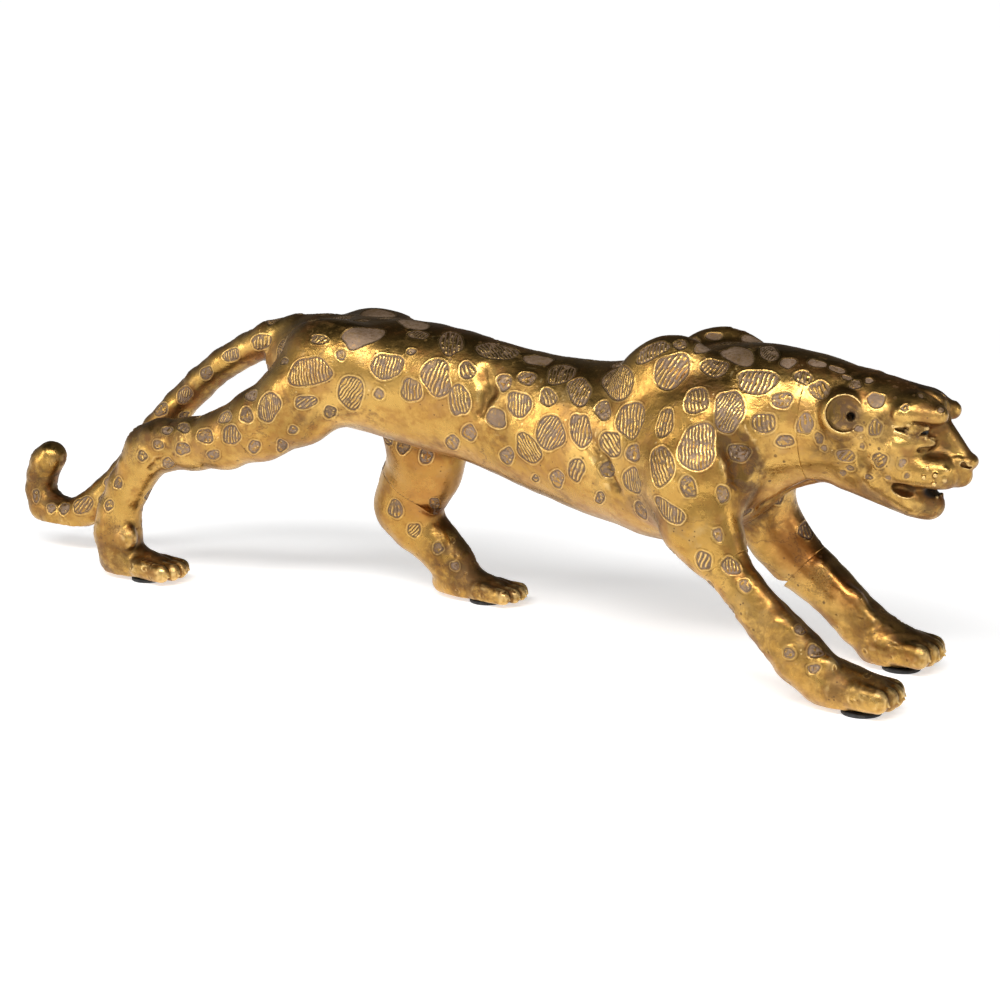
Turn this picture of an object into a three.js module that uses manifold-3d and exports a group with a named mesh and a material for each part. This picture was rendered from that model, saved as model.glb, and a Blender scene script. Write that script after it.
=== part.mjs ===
// Striding leopard figurine, cast brass with a gilt finish.
// Units are millimetres, +Z is up, +X is the way the animal faces and -Y is the animal's right side.
// The figure is an assembly: a hollow torso shell, a head, four legs and a tail cast separately,
// each located on the torso with a steel dowel (the head by a spigot and a cross pin), and four
// rubber feet stuck under the paws.
import * as THREE from 'three';
import Module from 'manifold-3d';

const wasm = await Module();
wasm.setup();

// ---------------------------------------------------------------- driving dimensions
const ORIGIN = [-36.73, -1.33, 0];     // modelling origin moved to the middle of the footprint
const GAP = 0.3;                    // clearance between neighbouring pieces
const WALL = 6.0;                   // torso wall thickness
const SOLE_Z = 2.3;                 // height of the flat cast soles
const PAD_R = 10.0;                 // rubber foot radius
const PAD_T = 2.0;                  // rubber foot thickness
const DOWEL_R = 3.0;                // limb dowel radius
const DOWEL_IN = 8.0;               // dowel length held in the torso
const DOWEL_OUT = 11.0;             // dowel length held in the limb
const TAIL_DOWEL_R = 2.5;
const NECK_X = 187.0;               // plane of the neck joint
const SPIGOT_R = 15.5;              // neck spigot radius
const SPIGOT_L = 13.0;              // neck spigot length
const NECK_Z = 132.0;               // height of the spigot's axis
const NECK_PIN_R = 2.0;
const CAVITY_X = [-118, 166];       // reach of the torso's hollow
const CELL = { torso: 8.4, cavity: 10.5, head: 5.4, fore: 6.0, hind: 6.4, tail: 5.6 };

// rubber foot centres, under the palms
const FEET = {
  foreleg_right: [231, -40],
  foreleg_left: [219, 38],
  hindleg_right: [-225, -28],
  hindleg_left: [-31, 36],
};

// joint planes: a point on the joint and the direction that points into the limb
const JOINTS = {
  foreleg_right: { p: [156.46, -42.0, 63.47], n: [0.6489, -0.0942, -0.755] },
  foreleg_left: { p: [163.39, 37.0, 46.47], n: [0.7408, 0.0752, -0.6675] },
  hindleg_right: { p: [-143.07, -32.0, 98.32], n: [-0.876, -0.0721, -0.4769] },
  hindleg_left: { p: [-73.58, 31.0, 63.75], n: [-0.5201, 0.1567, -0.8396] },
  tail: { p: [-154, 0, 134], n: [-1, 0, 0] },
};

// ---------------------------------------------------------------- body form
// Rows: ['E', centre, radii, turn XYZ deg, blend, op]   ellipsoid
//       ['C', end a, end b, [radius a, radius b], blend, flattening, flattening direction]   tapered rod
//       ['L', [[x, top z, bottom z, half width, share of the height at the widest], ...]]   trunk sections
//       ['G', [rows], blend]   a group blended in as one
const TRUNK = [
  ["L",[[-150.0,147.0,121.0,9.0,0.5],[-138.0,155.0,113.0,17.0,0.5],[-120.0,161.0,105.0,25.0,0.5],[-100.0,161.5,101.0,31.0,0.5],[-75.0,162.6,98.0,34.0,0.5],[-45.0,162.2,93.0,32.0,0.5],[-15.0,158.8,89.0,28.5,0.5],[15.0,153.4,80.0,27.5,0.5],[45.0,151.2,72.5,30.5,0.48],[75.0,152.5,67.0,36.0,0.46],[100.0,159.0,62.5,40.0,0.46],[125.0,165.0,64.0,41.0,0.5],[150.0,168.5,77.0,36.5,0.52],[172.0,167.5,95.0,30.5,0.52],[195.0,164.0,103.5,26.0,0.5],[214.0,158.6,107.0,21.5,0.5]]],
  ["E",[110.0,-20.0,148.6],[29.0,12.5,22.5],[-18.0,-20.0,0.0],7,"add"],
  ["E",[133.0,-29.0,112.0],[33.0,18.0,38.0],[0.0,28.0,0.0],10,"add"],
  ["E",[-90.0,-23.0,137.5],[36.0,17.0,26.0],[0.0,10.0,0.0],10,"add"],
  ["E",[121.0,20.0,149.4],[29.0,12.5,22.5],[18.0,-20.0,0.0],7,"add"],
  ["E",[133.0,29.0,112.0],[33.0,18.0,38.0],[0.0,28.0,0.0],10,"add"],
  ["E",[-90.0,23.0,137.5],[36.0,17.0,26.0],[0.0,10.0,0.0],10,"add"],
];
const HIND_RIGHT = [
  ["C",[-96.54,-26.0,131.22],[-112.99,-29.0,116.72],[23.5,23.12],5,1.2,[0.0,1.0,0.0]],
  ["C",[-112.99,-29.0,116.72],[-135.95,-32.0,102.48],[23.12,19.45],5,1.2,[0.0,1.0,0.0]],
  ["C",[-135.95,-32.0,102.48],[-161.59,-33.0,91.37],[19.45,16.29],5,1.2,[0.0,1.0,0.0]],
  ["C",[-161.59,-33.0,91.37],[-184.13,-32.0,86.15],[16.29,14.76],4,1.2,[0.0,1.0,0.0]],
  ["C",[-184.13,-32.0,86.15],[-208.54,-31.0,82.43],[14.76,14.62],4,1.2,[0.0,1.0,0.0]],
  ["C",[-208.54,-31.0,82.43],[-219.21,-30.0,78.14],[14.62,14.13],4,1.2,[0.0,1.0,0.0]],
  ["C",[-219.21,-30.0,78.14],[-236.81,-30.0,54.17],[14.13,11.65],5,1.1,[0.0,1.0,0.0]],
  ["C",[-236.81,-30.0,54.17],[-244.4,-30.0,38.26],[11.65,12.3],5,1.1,[0.0,1.0,0.0]],
  ["C",[-244.4,-30.0,38.26],[-245.74,-30.0,26.03],[12.3,13.5],5,1.1,[0.0,1.0,0.0]],
  ["C",[-245.74,-30.0,26.03],[-243.9,-30.0,15.98],[13.5,14.1],5,1.1,[0.0,1.0,0.0]],
  ["E",[-238.32,-28.0,7.98],[22.05,11.61,9.88],[0.0,0.0,0.0],4,"add"],
  ["C",[-240.84,-28.0,10.64],[-216.9,-28.0,8.26],[8.74,6.5],4,0.74,[0.0,1.0,0.0]],
  ["C",[-225.41,-36.3,8.26],[-207.94,-37.42,7.47],[5.68,4.99],1.5,1.28,[0.0,1.0,0.0]],
  ["C",[-222.32,-30.88,8.26],[-204.86,-31.26,7.47],[5.68,4.99],1.5,1.28,[0.0,1.0,0.0]],
  ["C",[-222.32,-25.12,8.26],[-204.86,-24.74,7.47],[5.68,4.99],1.5,1.28,[0.0,1.0,0.0]],
  ["C",[-225.41,-19.7,8.26],[-207.94,-18.58,7.47],[5.68,4.99],1.5,1.28,[0.0,1.0,0.0]],
];
const HIND_LEFT = [
  ["C",[-70.58,20.0,100.61],[-63.27,24.0,86.99],[19.03,22.43],6,1.3,[0.0,1.0,0.0]],
  ["C",[-63.27,24.0,86.99],[-67.39,28.0,74.88],[22.43,21.44],6,1.3,[0.0,1.0,0.0]],
  ["C",[-67.39,28.0,74.88],[-77.02,31.0,61.59],[21.44,19.9],6,1.3,[0.0,1.0,0.0]],
  ["C",[-77.02,31.0,61.59],[-83.32,33.0,49.33],[19.9,18.87],6,1.3,[0.0,1.0,0.0]],
  ["C",[-83.32,33.0,49.33],[-76.51,34.0,39.41],[18.87,15.72],4,1.15,[0.0,1.0,0.0]],
  ["C",[-76.51,34.0,39.41],[-64.23,35.0,29.04],[15.72,13.4],4,1.15,[0.0,1.0,0.0]],
  ["C",[-64.23,35.0,29.04],[-55.4,36.0,20.02],[13.4,12.81],4,1.15,[0.0,1.0,0.0]],
  ["C",[-55.4,36.0,20.02],[-47.97,36.0,13.41],[12.81,11.37],4,1.15,[0.0,1.0,0.0]],
  ["E",[-45.5,36.0,7.14],[21.88,11.18,8.84],[0.0,0.0,0.0],4,"add"],
  ["C",[-48.0,36.0,9.52],[-24.25,36.0,7.28],[7.82,6.05],4,0.74,[0.0,1.0,0.0]],
  ["C",[-32.69,28.01,7.28],[-15.05,26.93,6.14],[5.29,4.64],1.5,1.28,[0.0,1.0,0.0]],
  ["C",[-29.62,33.23,7.28],[-11.98,32.86,6.14],[5.29,4.64],1.5,1.28,[0.0,1.0,0.0]],
  ["C",[-29.62,38.77,7.28],[-11.98,39.14,6.14],[5.29,4.64],1.5,1.28,[0.0,1.0,0.0]],
  ["C",[-32.69,43.99,7.28],[-15.05,45.07,6.14],[5.29,4.64],1.5,1.28,[0.0,1.0,0.0]],
];
const FORE_RIGHT = [
  ["C",[135.38,-35.0,103.1],[140.68,-38.0,83.97],[24.81,19.83],6,1.2,[0.0,1.0,0.0]],
  ["C",[140.68,-38.0,83.97],[149.73,-40.0,72.31],[19.83,14.83],6,1.2,[0.0,1.0,0.0]],
  ["C",[149.73,-40.0,72.31],[160.38,-42.0,60.45],[14.83,10.59],6,1.2,[0.0,1.0,0.0]],
  ["C",[160.38,-42.0,60.45],[167.68,-42.0,52.83],[10.59,10.08],3,1.0,[0,1,0]],
  ["C",[167.68,-42.0,52.83],[174.41,-42.0,45.16],[10.08,10.55],3,1.0,[0,1,0]],
  ["C",[174.41,-42.0,45.16],[181.64,-42.0,38.61],[10.55,11.27],3,1.0,[0,1,0]],
  ["C",[181.64,-42.0,38.61],[189.92,-42.0,31.74],[11.27,12.22],3,1.0,[0,1,0]],
  ["C",[189.92,-42.0,31.74],[198.73,-42.0,23.97],[12.22,13.16],3,1.0,[0,1,0]],
  ["C",[198.73,-42.0,23.97],[209.64,-42.0,15.58],[13.16,12.64],3,1.0,[0,1,0]],
  ["E",[221.0,-40.0,9.66],[17.5,12.47,11.96],[0.0,0.0,0.0],4,"add"],
  ["C",[219.0,-40.0,12.88],[238.0,-40.0,10.88],[10.58,8.29],4,0.74,[0.0,1.0,0.0]],
  ["C",[231.25,-48.92,10.88],[242.59,-50.11,10.22],[7.25,6.36],1.5,1.28,[0.0,1.0,0.0]],
  ["C",[233.7,-43.09,10.88],[245.04,-43.51,10.22],[7.25,6.36],1.5,1.28,[0.0,1.0,0.0]],
  ["C",[233.7,-36.91,10.88],[245.04,-36.49,10.22],[7.25,6.36],1.5,1.28,[0.0,1.0,0.0]],
  ["C",[231.25,-31.08,10.88],[242.59,-29.89,10.22],[7.25,6.36],1.5,1.28,[0.0,1.0,0.0]],
];
const FORE_LEFT = [
  ["C",[137.2,24.0,101.72],[142.63,32.0,74.27],[21.68,16.13],6,1.15,[0.0,1.0,0.0]],
  ["C",[142.63,32.0,74.27],[149.6,35.0,61.16],[16.13,14.85],6,1.15,[0.0,1.0,0.0]],
  ["C",[149.6,35.0,61.16],[159.86,37.0,49.75],[14.85,13.8],6,1.15,[0.0,1.0,0.0]],
  ["C",[159.86,37.0,49.75],[170.89,37.0,42.68],[13.8,13.24],6,1.15,[0.0,1.0,0.0]],
  ["C",[170.89,37.0,42.68],[179.71,38.0,35.66],[13.24,12.44],3,1.0,[0,1,0]],
  ["C",[179.71,38.0,35.66],[187.81,38.0,28.79],[12.44,12.15],3,1.0,[0,1,0]],
  ["C",[187.81,38.0,28.79],[196.45,38.0,21.5],[12.15,12.38],3,1.0,[0,1,0]],
  ["C",[196.45,38.0,21.5],[206.69,38.0,15.04],[12.38,12.86],3,1.0,[0,1,0]],
  ["E",[211.28,38.0,10.08],[16.8,12.47,12.48],[0.0,0.0,0.0],4,"add"],
  ["C",[209.36,38.0,13.44],[227.6,38.0,11.42],[11.04,8.51],4,0.74,[0.0,1.0,0.0]],
  ["C",[221.12,29.08,11.42],[231.56,27.89,10.98],[7.45,6.54],1.5,1.28,[0.0,1.0,0.0]],
  ["C",[223.47,34.91,11.42],[233.91,34.49,10.98],[7.45,6.54],1.5,1.28,[0.0,1.0,0.0]],
  ["C",[223.47,41.09,11.42],[233.91,41.51,10.98],[7.45,6.54],1.5,1.28,[0.0,1.0,0.0]],
  ["C",[221.12,46.92,11.42],[231.56,48.11,10.98],[7.45,6.54],1.5,1.28,[0.0,1.0,0.0]],
];
const TAIL = [
  ["C",[-113.15,2.0,148.07],[-133.94,2.0,148.58],[12.28,11.25],2,1.0,[0,1,0]],
  ["C",[-133.94,2.0,148.58],[-152.95,0.0,144.67],[11.25,9.91],2,1.0,[0,1,0]],
  ["C",[-152.95,0.0,144.67],[-169.58,0.0,137.19],[9.91,9.13],2,1.0,[0,1,0]],
  ["C",[-169.58,0.0,137.19],[-188.01,0.0,126.84],[9.13,9.09],2,1.0,[0,1,0]],
  ["C",[-188.01,0.0,126.84],[-204.63,0.0,114.16],[9.09,9.29],2,1.0,[0,1,0]],
  ["C",[-204.63,0.0,114.16],[-220.82,0.0,99.84],[9.29,9.48],2,1.0,[0,1,0]],
  ["C",[-220.82,0.0,99.84],[-237.33,0.0,84.08],[9.48,9.33],2,1.0,[0,1,0]],
  ["C",[-237.33,0.0,84.08],[-251.82,0.0,68.0],[9.33,8.92],2,1.0,[0,1,0]],
  ["C",[-251.82,0.0,68.0],[-265.69,0.0,52.99],[8.92,8.87],2,1.0,[0,1,0]],
  ["C",[-265.69,0.0,52.99],[-280.47,0.0,39.52],[8.87,9.06],2,1.0,[0,1,0]],
  ["C",[-280.47,0.0,39.52],[-293.72,0.0,28.89],[9.06,9.72],2,1.0,[0,1,0]],
  ["C",[-293.72,0.0,28.89],[-306.1,0.0,22.65],[9.72,10.08],2,1.0,[0,1,0]],
  ["C",[-306.1,0.0,22.65],[-318.27,0.0,22.38],[10.08,10.74],2,1.0,[0,1,0]],
  ["C",[-318.27,0.0,22.38],[-328.65,0.0,26.77],[10.74,10.46],2,1.0,[0,1,0]],
  ["C",[-328.65,0.0,26.77],[-333.06,0.0,35.7],[10.46,9.11],2,1.0,[0,1,0]],
  ["C",[-333.06,0.0,35.7],[-330.87,0.0,45.4],[9.11,9.21],2,1.0,[0,1,0]],
  ["C",[-330.87,0.0,45.4],[-327.14,0.0,53.36],[9.21,9.68],2,1.0,[0,1,0]],
  ["C",[-327.14,0.0,53.36],[-322.83,0.0,57.6],[9.68,9.17],2,1.0,[0,1,0]],
];
const HEAD = [
  ["E",[219.2,0.0,135.4],[31.0,22.0,23.5],[0.0,10.0,0.0],0,"add"],
  ["E",[235.2,0.0,137.9],[17.0,17.5,17.0],[0.0,0.0,0.0],5,"add"],
  ["E",[243.2,0.0,146.4],[10.0,13.0,6.8],[0.0,8.0,0.0],4,"add"],
  ["E",[238.2,-9.5,144.4],[11.5,9.5,8.5],[0.0,8.0,0.0],3,"add"],
  ["C",[236.2,-16.0,143.7],[251.7,-8.6,143.3],[5.2,4.8],2.0,1.0,[0,1,0]],
  ["E",[232.2,-11.5,121.4],[14.0,9.0,13.0],[0.0,14.0,0.0],4.5,"add"],
  ["C",[235.2,-16.8,128.4],[248.2,-10.5,130.4],[4.8,3.4],3.0,1.0,[0,1,0]],
  ["C",[237.2,-12.5,116.4],[252.2,-7.0,115.4],[8.2,8.4],3.6,1.0,[0,1,0]],
  ["E",[254.7,-5.6,114.9],[8.0,6.8,7.6],[0.0,18.0,0.0],2.6,"add"],
  ["E",[238.2,9.5,144.4],[11.5,9.5,8.5],[0.0,8.0,0.0],3,"add"],
  ["C",[236.2,16.0,143.7],[251.7,8.6,143.3],[5.2,4.8],2.0,1.0,[0,1,0]],
  ["E",[232.2,11.5,121.4],[14.0,9.0,13.0],[0.0,14.0,0.0],4.5,"add"],
  ["C",[235.2,16.8,128.4],[248.2,10.5,130.4],[4.8,3.4],3.0,1.0,[0,1,0]],
  ["C",[237.2,12.5,116.4],[252.2,7.0,115.4],[8.2,8.4],3.6,1.0,[0,1,0]],
  ["E",[254.7,5.6,114.9],[8.0,6.8,7.6],[0.0,18.0,0.0],2.6,"add"],
  ["C",[249.7,0.0,136.4],[262.7,0.0,121.9],[5.6,4.4],3.0,1.0,[0,1,0]],
  ["C",[250.2,0.0,121.9],[259.2,0.0,118.9],[7.5,6.2],4,1.0,[0,1,0]],
  ["E",[259.5,0.0,113.5],[7.2,5.2,6.0],[0.0,0.0,0.0],3,"add"],
  ["E",[265.2,0.0,120.7],[4.0,5.8,3.9],[0.0,12.0,0.0],1.4,"add"],
  ["E",[261.2,-5.0,121.3],[3.2,2.3,2.8],[0.0,0.0,0.0],1.2,"add"],
  ["E",[261.2,5.0,121.3],[3.2,2.3,2.8],[0.0,0.0,0.0],1.2,"add"],
  ["G",[["C",[206.2,0.0,112.4],[237.2,0.0,100.3],[13.5,10.0],0,1.0,[0,1,0]],["C",[223.2,-9.0,109.4],[240.2,-6.0,99.5],[8.2,6.6],4,1.0,[0,1,0]],["C",[223.2,9.0,109.4],[240.2,6.0,99.5],[8.2,6.6],4,1.0,[0,1,0]],["E",[244.8,0.0,97.3],[8.4,8.2,7.6],[0.0,0.0,0.0],3,"add"]],5],
  ["E",[259.2,0.0,103.7],[11.0,12.5,3.3],[0.0,22.0,0.0],0.9,"sub"],
  ["E",[238.8,-17.0,106.1],[6.6,8.0,3.8],[0.0,14.0,20.0],0.9,"sub"],
  ["E",[238.8,17.0,106.1],[6.6,8.0,3.8],[0.0,14.0,-20.0],0.9,"sub"],
  ["E",[244.6,-17.4,137.1],[8.6,4.2,3.5],[0.0,4.0,38.0],1.6,"sub"],
  ["E",[251.2,-9.6,135.2],[3.8,3.6,3.2],[0.0,0.0,38.0],1.8,"sub"],
  ["E",[242.4,-14.3,136.8],[4.6,3.9,3.6],[0.0,0.0,34.0],0.5,"add"],
  ["E",[244.6,17.4,137.1],[8.6,4.2,3.5],[0.0,4.0,-38.0],1.6,"sub"],
  ["E",[251.2,9.6,135.2],[3.8,3.6,3.2],[0.0,0.0,-38.0],1.8,"sub"],
  ["E",[242.4,14.3,136.8],[4.6,3.9,3.6],[0.0,0.0,-34.0],0.5,"add"],
  ["G",[["E",[208.8,-21.4,141.5],[10.9,10.9,6.0],[0.0,74.0,-62.0],0,"add"],["E",[208.8,21.4,141.5],[10.9,10.9,6.0],[0.0,74.0,62.0],0.1,"add"],["E",[210.5,-24.7,142.5],[9.4,9.4,4.8],[0.0,74.0,-62.0],0.4,"sub"],["E",[210.5,24.7,142.5],[9.4,9.4,4.8],[0.0,74.0,62.0],0.4,"sub"]],1.0],
];

// ---------------------------------------------------------------- distance functions
const { sqrt, abs, min, max, sign, cos, sin, PI } = Math;
const blend = (a, b, k) => {
  if (k <= 0) return min(a, b);
  const h = max(k - abs(a - b), 0) / k;
  return min(a, b) - h * h * k * 0.25;
};
const carve = (a, b, k) => -blend(-a, b, k);

function turn(deg) {
  const [x, y, z] = deg.map((v) => (v * PI) / 180);
  const m = new THREE.Matrix4().makeRotationZ(z)
    .multiply(new THREE.Matrix4().makeRotationY(y))
    .multiply(new THREE.Matrix4().makeRotationX(x));
  return m.elements; // columns are the local axes
}

function ellipsoid([, c, r, deg]) {
  const e = turn(deg);
  return (x, y, z) => {
    const vx = x - c[0], vy = y - c[1], vz = z - c[2];
    const a = (vx * e[0] + vy * e[1] + vz * e[2]) / r[0];
    const b = (vx * e[4] + vy * e[5] + vz * e[6]) / r[1];
    const d = (vx * e[8] + vy * e[9] + vz * e[10]) / r[2];
    const k0 = sqrt(a * a + b * b + d * d);
    if (k0 < 1e-6) return -min(...r);
    const k1 = sqrt((a / r[0]) ** 2 + (b / r[1]) ** 2 + (d / r[2]) ** 2);
    return (k0 * (k0 - 1)) / k1;
  };
}

function rod([, a, b, [r1, r2], , q, n]) {
  const nl = Math.hypot(...n), nn = n.map((v) => v / nl), s = 1 / sqrt(max(q, 1));
  const sq = (v) => {
    if (q === 1) return v;
    const d = (q - 1) * (v[0] * nn[0] + v[1] * nn[1] + v[2] * nn[2]);
    return [v[0] + d * nn[0], v[1] + d * nn[1], v[2] + d * nn[2]];
  };
  const ba = sq([b[0] - a[0], b[1] - a[1], b[2] - a[2]]);
  const l2 = ba[0] ** 2 + ba[1] ** 2 + ba[2] ** 2, rr = r1 - r2, a2 = l2 - rr * rr, il2 = 1 / l2;
  return (x, y, z) => {
    const pa = sq([x - a[0], y - a[1], z - a[2]]);
    const u = pa[0] * ba[0] + pa[1] * ba[1] + pa[2] * ba[2], w = u - l2;
    const tx = pa[0] * l2 - ba[0] * u, ty = pa[1] * l2 - ba[1] * u, tz = pa[2] * l2 - ba[2] * u;
    const x2 = tx * tx + ty * ty + tz * tz, y2 = u * u * l2, z2 = w * w * l2;
    const k = sign(rr) * rr * rr * x2;
    let d;
    if (sign(w) * a2 * z2 > k) d = sqrt(x2 + z2) * il2 - r2;
    else if (sign(u) * a2 * y2 < k) d = sqrt(x2 + y2) * il2 - r1;
    else d = (sqrt(x2 * a2 * il2) + u * rr) * il2 - r1;
    return d * s;
  };
}

function sections([, T]) {
  const n = T.length, X = T.map((r) => r[0]);
  const slope = T.map((r, i) => [1, 2, 3, 4].map((c) => {
    if (i === 0) return (T[1][c] - T[0][c]) / (X[1] - X[0]);
    if (i === n - 1) return (T[n - 1][c] - T[n - 2][c]) / (X[n - 1] - X[n - 2]);
    const hl = X[i] - X[i - 1], hr = X[i + 1] - X[i];
    return (hl * hl * T[i + 1][c] - hr * hr * T[i - 1][c] + (hr * hr - hl * hl) * T[i][c]) / (hl * hr * (hl + hr));
  }));
  return (x, y, z) => {
    const xc = min(max(x, X[0]), X[n - 1]);
    let i = 0;
    while (i < n - 2 && X[i + 1] <= xc) i++;
    const h = X[i + 1] - X[i], t = (xc - X[i]) / h, t2 = t * t, t3 = t2 * t;
    const [zt, zb, w, sh] = [1, 2, 3, 4].map((c) =>
      (2 * t3 - 3 * t2 + 1) * T[i][c] + (t3 - 2 * t2 + t) * h * slope[i][c - 1]
      + (-2 * t3 + 3 * t2) * T[i + 1][c] + (t3 - t2) * h * slope[i + 1][c - 1]);
    const zc = zb + (zt - zb) * sh, v = z - zc, hz = v > 0 ? zt - zc : zc - zb;
    const k0 = Math.hypot(y / w, v / hz), k1 = Math.hypot(y / (w * w), v / (hz * hz));
    const d = k0 < 1e-6 ? -min(w, hz) : (k0 * (k0 - 1)) / k1;
    const dx = abs(x - xc);
    return dx > 0 ? Math.hypot(max(d, 0), dx) : d;
  };
}

// one function for a list of rows, blended in order
function form(rows) {
  const parts = rows.map((row) => {
    if (row[0] === 'E') return { f: ellipsoid(row), k: row[4], op: row[5] };
    if (row[0] === 'C') return { f: rod(row), k: row[4], op: 'add' };
    if (row[0] === 'G') return { f: form(row[1]), k: row[2], op: 'add' };
    return { f: sections(row), k: 0, op: 'add' };
  });
  return (x, y, z) => {
    let d = parts[0].f(x, y, z);
    for (let i = 1; i < parts.length; i++) {
      const p = parts[i], v = p.f(x, y, z);
      d = p.op === 'sub' ? carve(d, v, p.k) : blend(d, v, p.k);
    }
    return d;
  };
}

// ---------------------------------------------------------------- surface of a distance function
// One vertex per sheet of surface in a cell, one quad per crossed grid edge.
const CORNER = [0, 1, 2, 3, 4, 5, 6, 7].map((c) => [c & 1, (c >> 1) & 1, c >> 2]);
const CUBE_EDGES = []; // along X, then Y, then Z
for (const ax of [0, 1, 2]) {
  for (let c = 0; c < 8; c++) if (!(c & (1 << ax))) CUBE_EDGES.push([c, c | (1 << ax)]);
}
const edgeIndex = (a, b) => CUBE_EDGES.findIndex(([p, q]) => (p === a && q === b) || (p === b && q === a));
const FACES = [];
for (const ax of [0, 1, 2]) for (const side of [0, 1]) {
  const u = 1 << ((ax + 1) % 3), w = 1 << ((ax + 2) % 3), o = side << ax;
  const q = [o, o | u, o | u | w, o | w];
  FACES.push({ q, e: q.map((c, i) => edgeIndex(c, q[(i + 1) % 4])) });
}
function skin(f, lo, hi, h) {
  const n = [0, 1, 2].map((i) => Math.ceil((hi[i] - lo[i]) / h) + 1);
  const at = (i, j, k) => (i * n[1] + j) * n[2] + k;
  const v = new Float64Array(n[0] * n[1] * n[2]);
  for (let i = 0; i < n[0]; i++) for (let j = 0; j < n[1]; j++) for (let k = 0; k < n[2]; k++) {
    const d = f(lo[0] + i * h, lo[1] + j * h, lo[2] + k * h);
    v[at(i, j, k)] = abs(d) < 1e-6 ? 1e-6 : d;
  }
  const pos = [], idx = [], id = new Int32Array(v.length * 12).fill(-1);
  for (let i = 0; i < n[0] - 1; i++) for (let j = 0; j < n[1] - 1; j++) for (let k = 0; k < n[2] - 1; k++) {
    const val = CORNER.map(([a, b, c]) => v[at(i + a, j + b, k + c)]);
    const neg = val.map((x) => x < 0);
    if (neg.every((x) => x === neg[0])) continue;
    const up = CUBE_EDGES.map((_, e) => e);
    const root = (e) => { while (up[e] !== e) e = up[e]; return e; };
    const crossed = CUBE_EDGES.map(([a, b]) => neg[a] !== neg[b]);
    for (const { q, e } of FACES) {
      const x = e.filter((m) => crossed[m]);
      if (x.length === 2) up[root(x[0])] = root(x[1]);
      if (x.length === 4) q.forEach((c, m) => { if (neg[c]) up[root(e[m])] = root(e[(m + 3) % 4]); });
    }
    const sheets = new Map();
    CUBE_EDGES.forEach(([a, b], e) => {
      if (!crossed[e]) return;
      const r = root(e), t = val[a] / (val[a] - val[b]);
      if (!sheets.has(r)) sheets.set(r, { s: [0, 0, 0], c: 0, e: [] });
      const o = sheets.get(r);
      for (let m = 0; m < 3; m++) o.s[m] += CORNER[a][m] + (CORNER[b][m] - CORNER[a][m]) * t;
      o.c++; o.e.push(e);
    });
    for (const { s, c, e } of sheets.values()) {
      for (const m of e) id[at(i, j, k) * 12 + m] = pos.length / 3;
      const q = [lo[0] + (i + s[0] / c) * h, lo[1] + (j + s[1] / c) * h, lo[2] + (k + s[2] / c) * h];
      let p = [...q];
      for (let it = 0; it < 3; it++) { // drawn on to the true surface
        const d = f(...p), g = [0, 1, 2].map((m) => f(...p.map((w, o) => w + (o === m ? 0.2 : 0))) - d);
        const l = Math.hypot(...g) || 1, st = max(-h * 0.2, min(h * 0.2, d));
        p = p.map((w, m) => max(q[m] - h * 0.25, min(q[m] + h * 0.25, w - (st * g[m]) / l)));
      }
      pos.push(...p);
    }
  }
  for (let i = 1; i < n[0] - 1; i++) for (let j = 1; j < n[1] - 1; j++) for (let k = 1; k < n[2] - 1; k++) {
    const a = v[at(i, j, k)] < 0;
    for (let ax = 0; ax < 3; ax++) {
      const st = [0, 0, 0]; st[ax] = 1;
      if (a === v[at(i + st[0], j + st[1], k + st[2])] < 0) continue;
      const u = (ax + 1) % 3, w = (ax + 2) % 3;
      const q = [[0, 0], [1, 0], [1, 1], [0, 1]].map(([du, dw]) => {
        const c = [i, j, k]; c[u] -= du; c[w] -= dw;
        const low = (du << u) | (dw << w);
        return id[at(...c) * 12 + edgeIndex(low, low | (1 << ax))];
      });
      if (!a) q.reverse();
      const dist = (m, o) => Math.hypot(pos[3 * m] - pos[3 * o], pos[3 * m + 1] - pos[3 * o + 1], pos[3 * m + 2] - pos[3 * o + 2]);
      if (dist(q[0], q[2]) <= dist(q[1], q[3])) idx.push(q[0], q[1], q[2], q[0], q[2], q[3]);
      else idx.push(q[0], q[1], q[3], q[1], q[2], q[3]);
    }
  }
  const g = new THREE.BufferGeometry();
  g.setAttribute('position', new THREE.Float32BufferAttribute(pos, 3));
  g.setIndex(idx);
  return g;
}

// ---------------------------------------------------------------- solids
function solid(geometry, matrix) {
  const g = matrix ? geometry.clone().applyMatrix4(matrix) : geometry;
  const p = g.getAttribute('position'), index = g.index;
  // shared vertices are merged on their position
  const key = new Map(), remap = [], verts = [];
  for (let i = 0; i < p.count; i++) {
    const k = [p.getX(i), p.getY(i), p.getZ(i)].map((c) => Math.round(c * 1e4)).join();
    if (!key.has(k)) { key.set(k, verts.length / 3); verts.push(p.getX(i), p.getY(i), p.getZ(i)); }
    remap.push(key.get(k));
  }
  const tri = [];
  const cnt = index ? index.count : p.count;
  for (let i = 0; i < cnt; i += 3) {
    const t = [0, 1, 2].map((m) => remap[index ? index.getX(i + m) : i + m]);
    if (t[0] !== t[1] && t[1] !== t[2] && t[2] !== t[0]) tri.push(...t);
  }
  return new wasm.Manifold(new wasm.Mesh({ numProp: 3, vertProperties: new Float32Array(verts), triVerts: new Uint32Array(tri) }));
}
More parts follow.
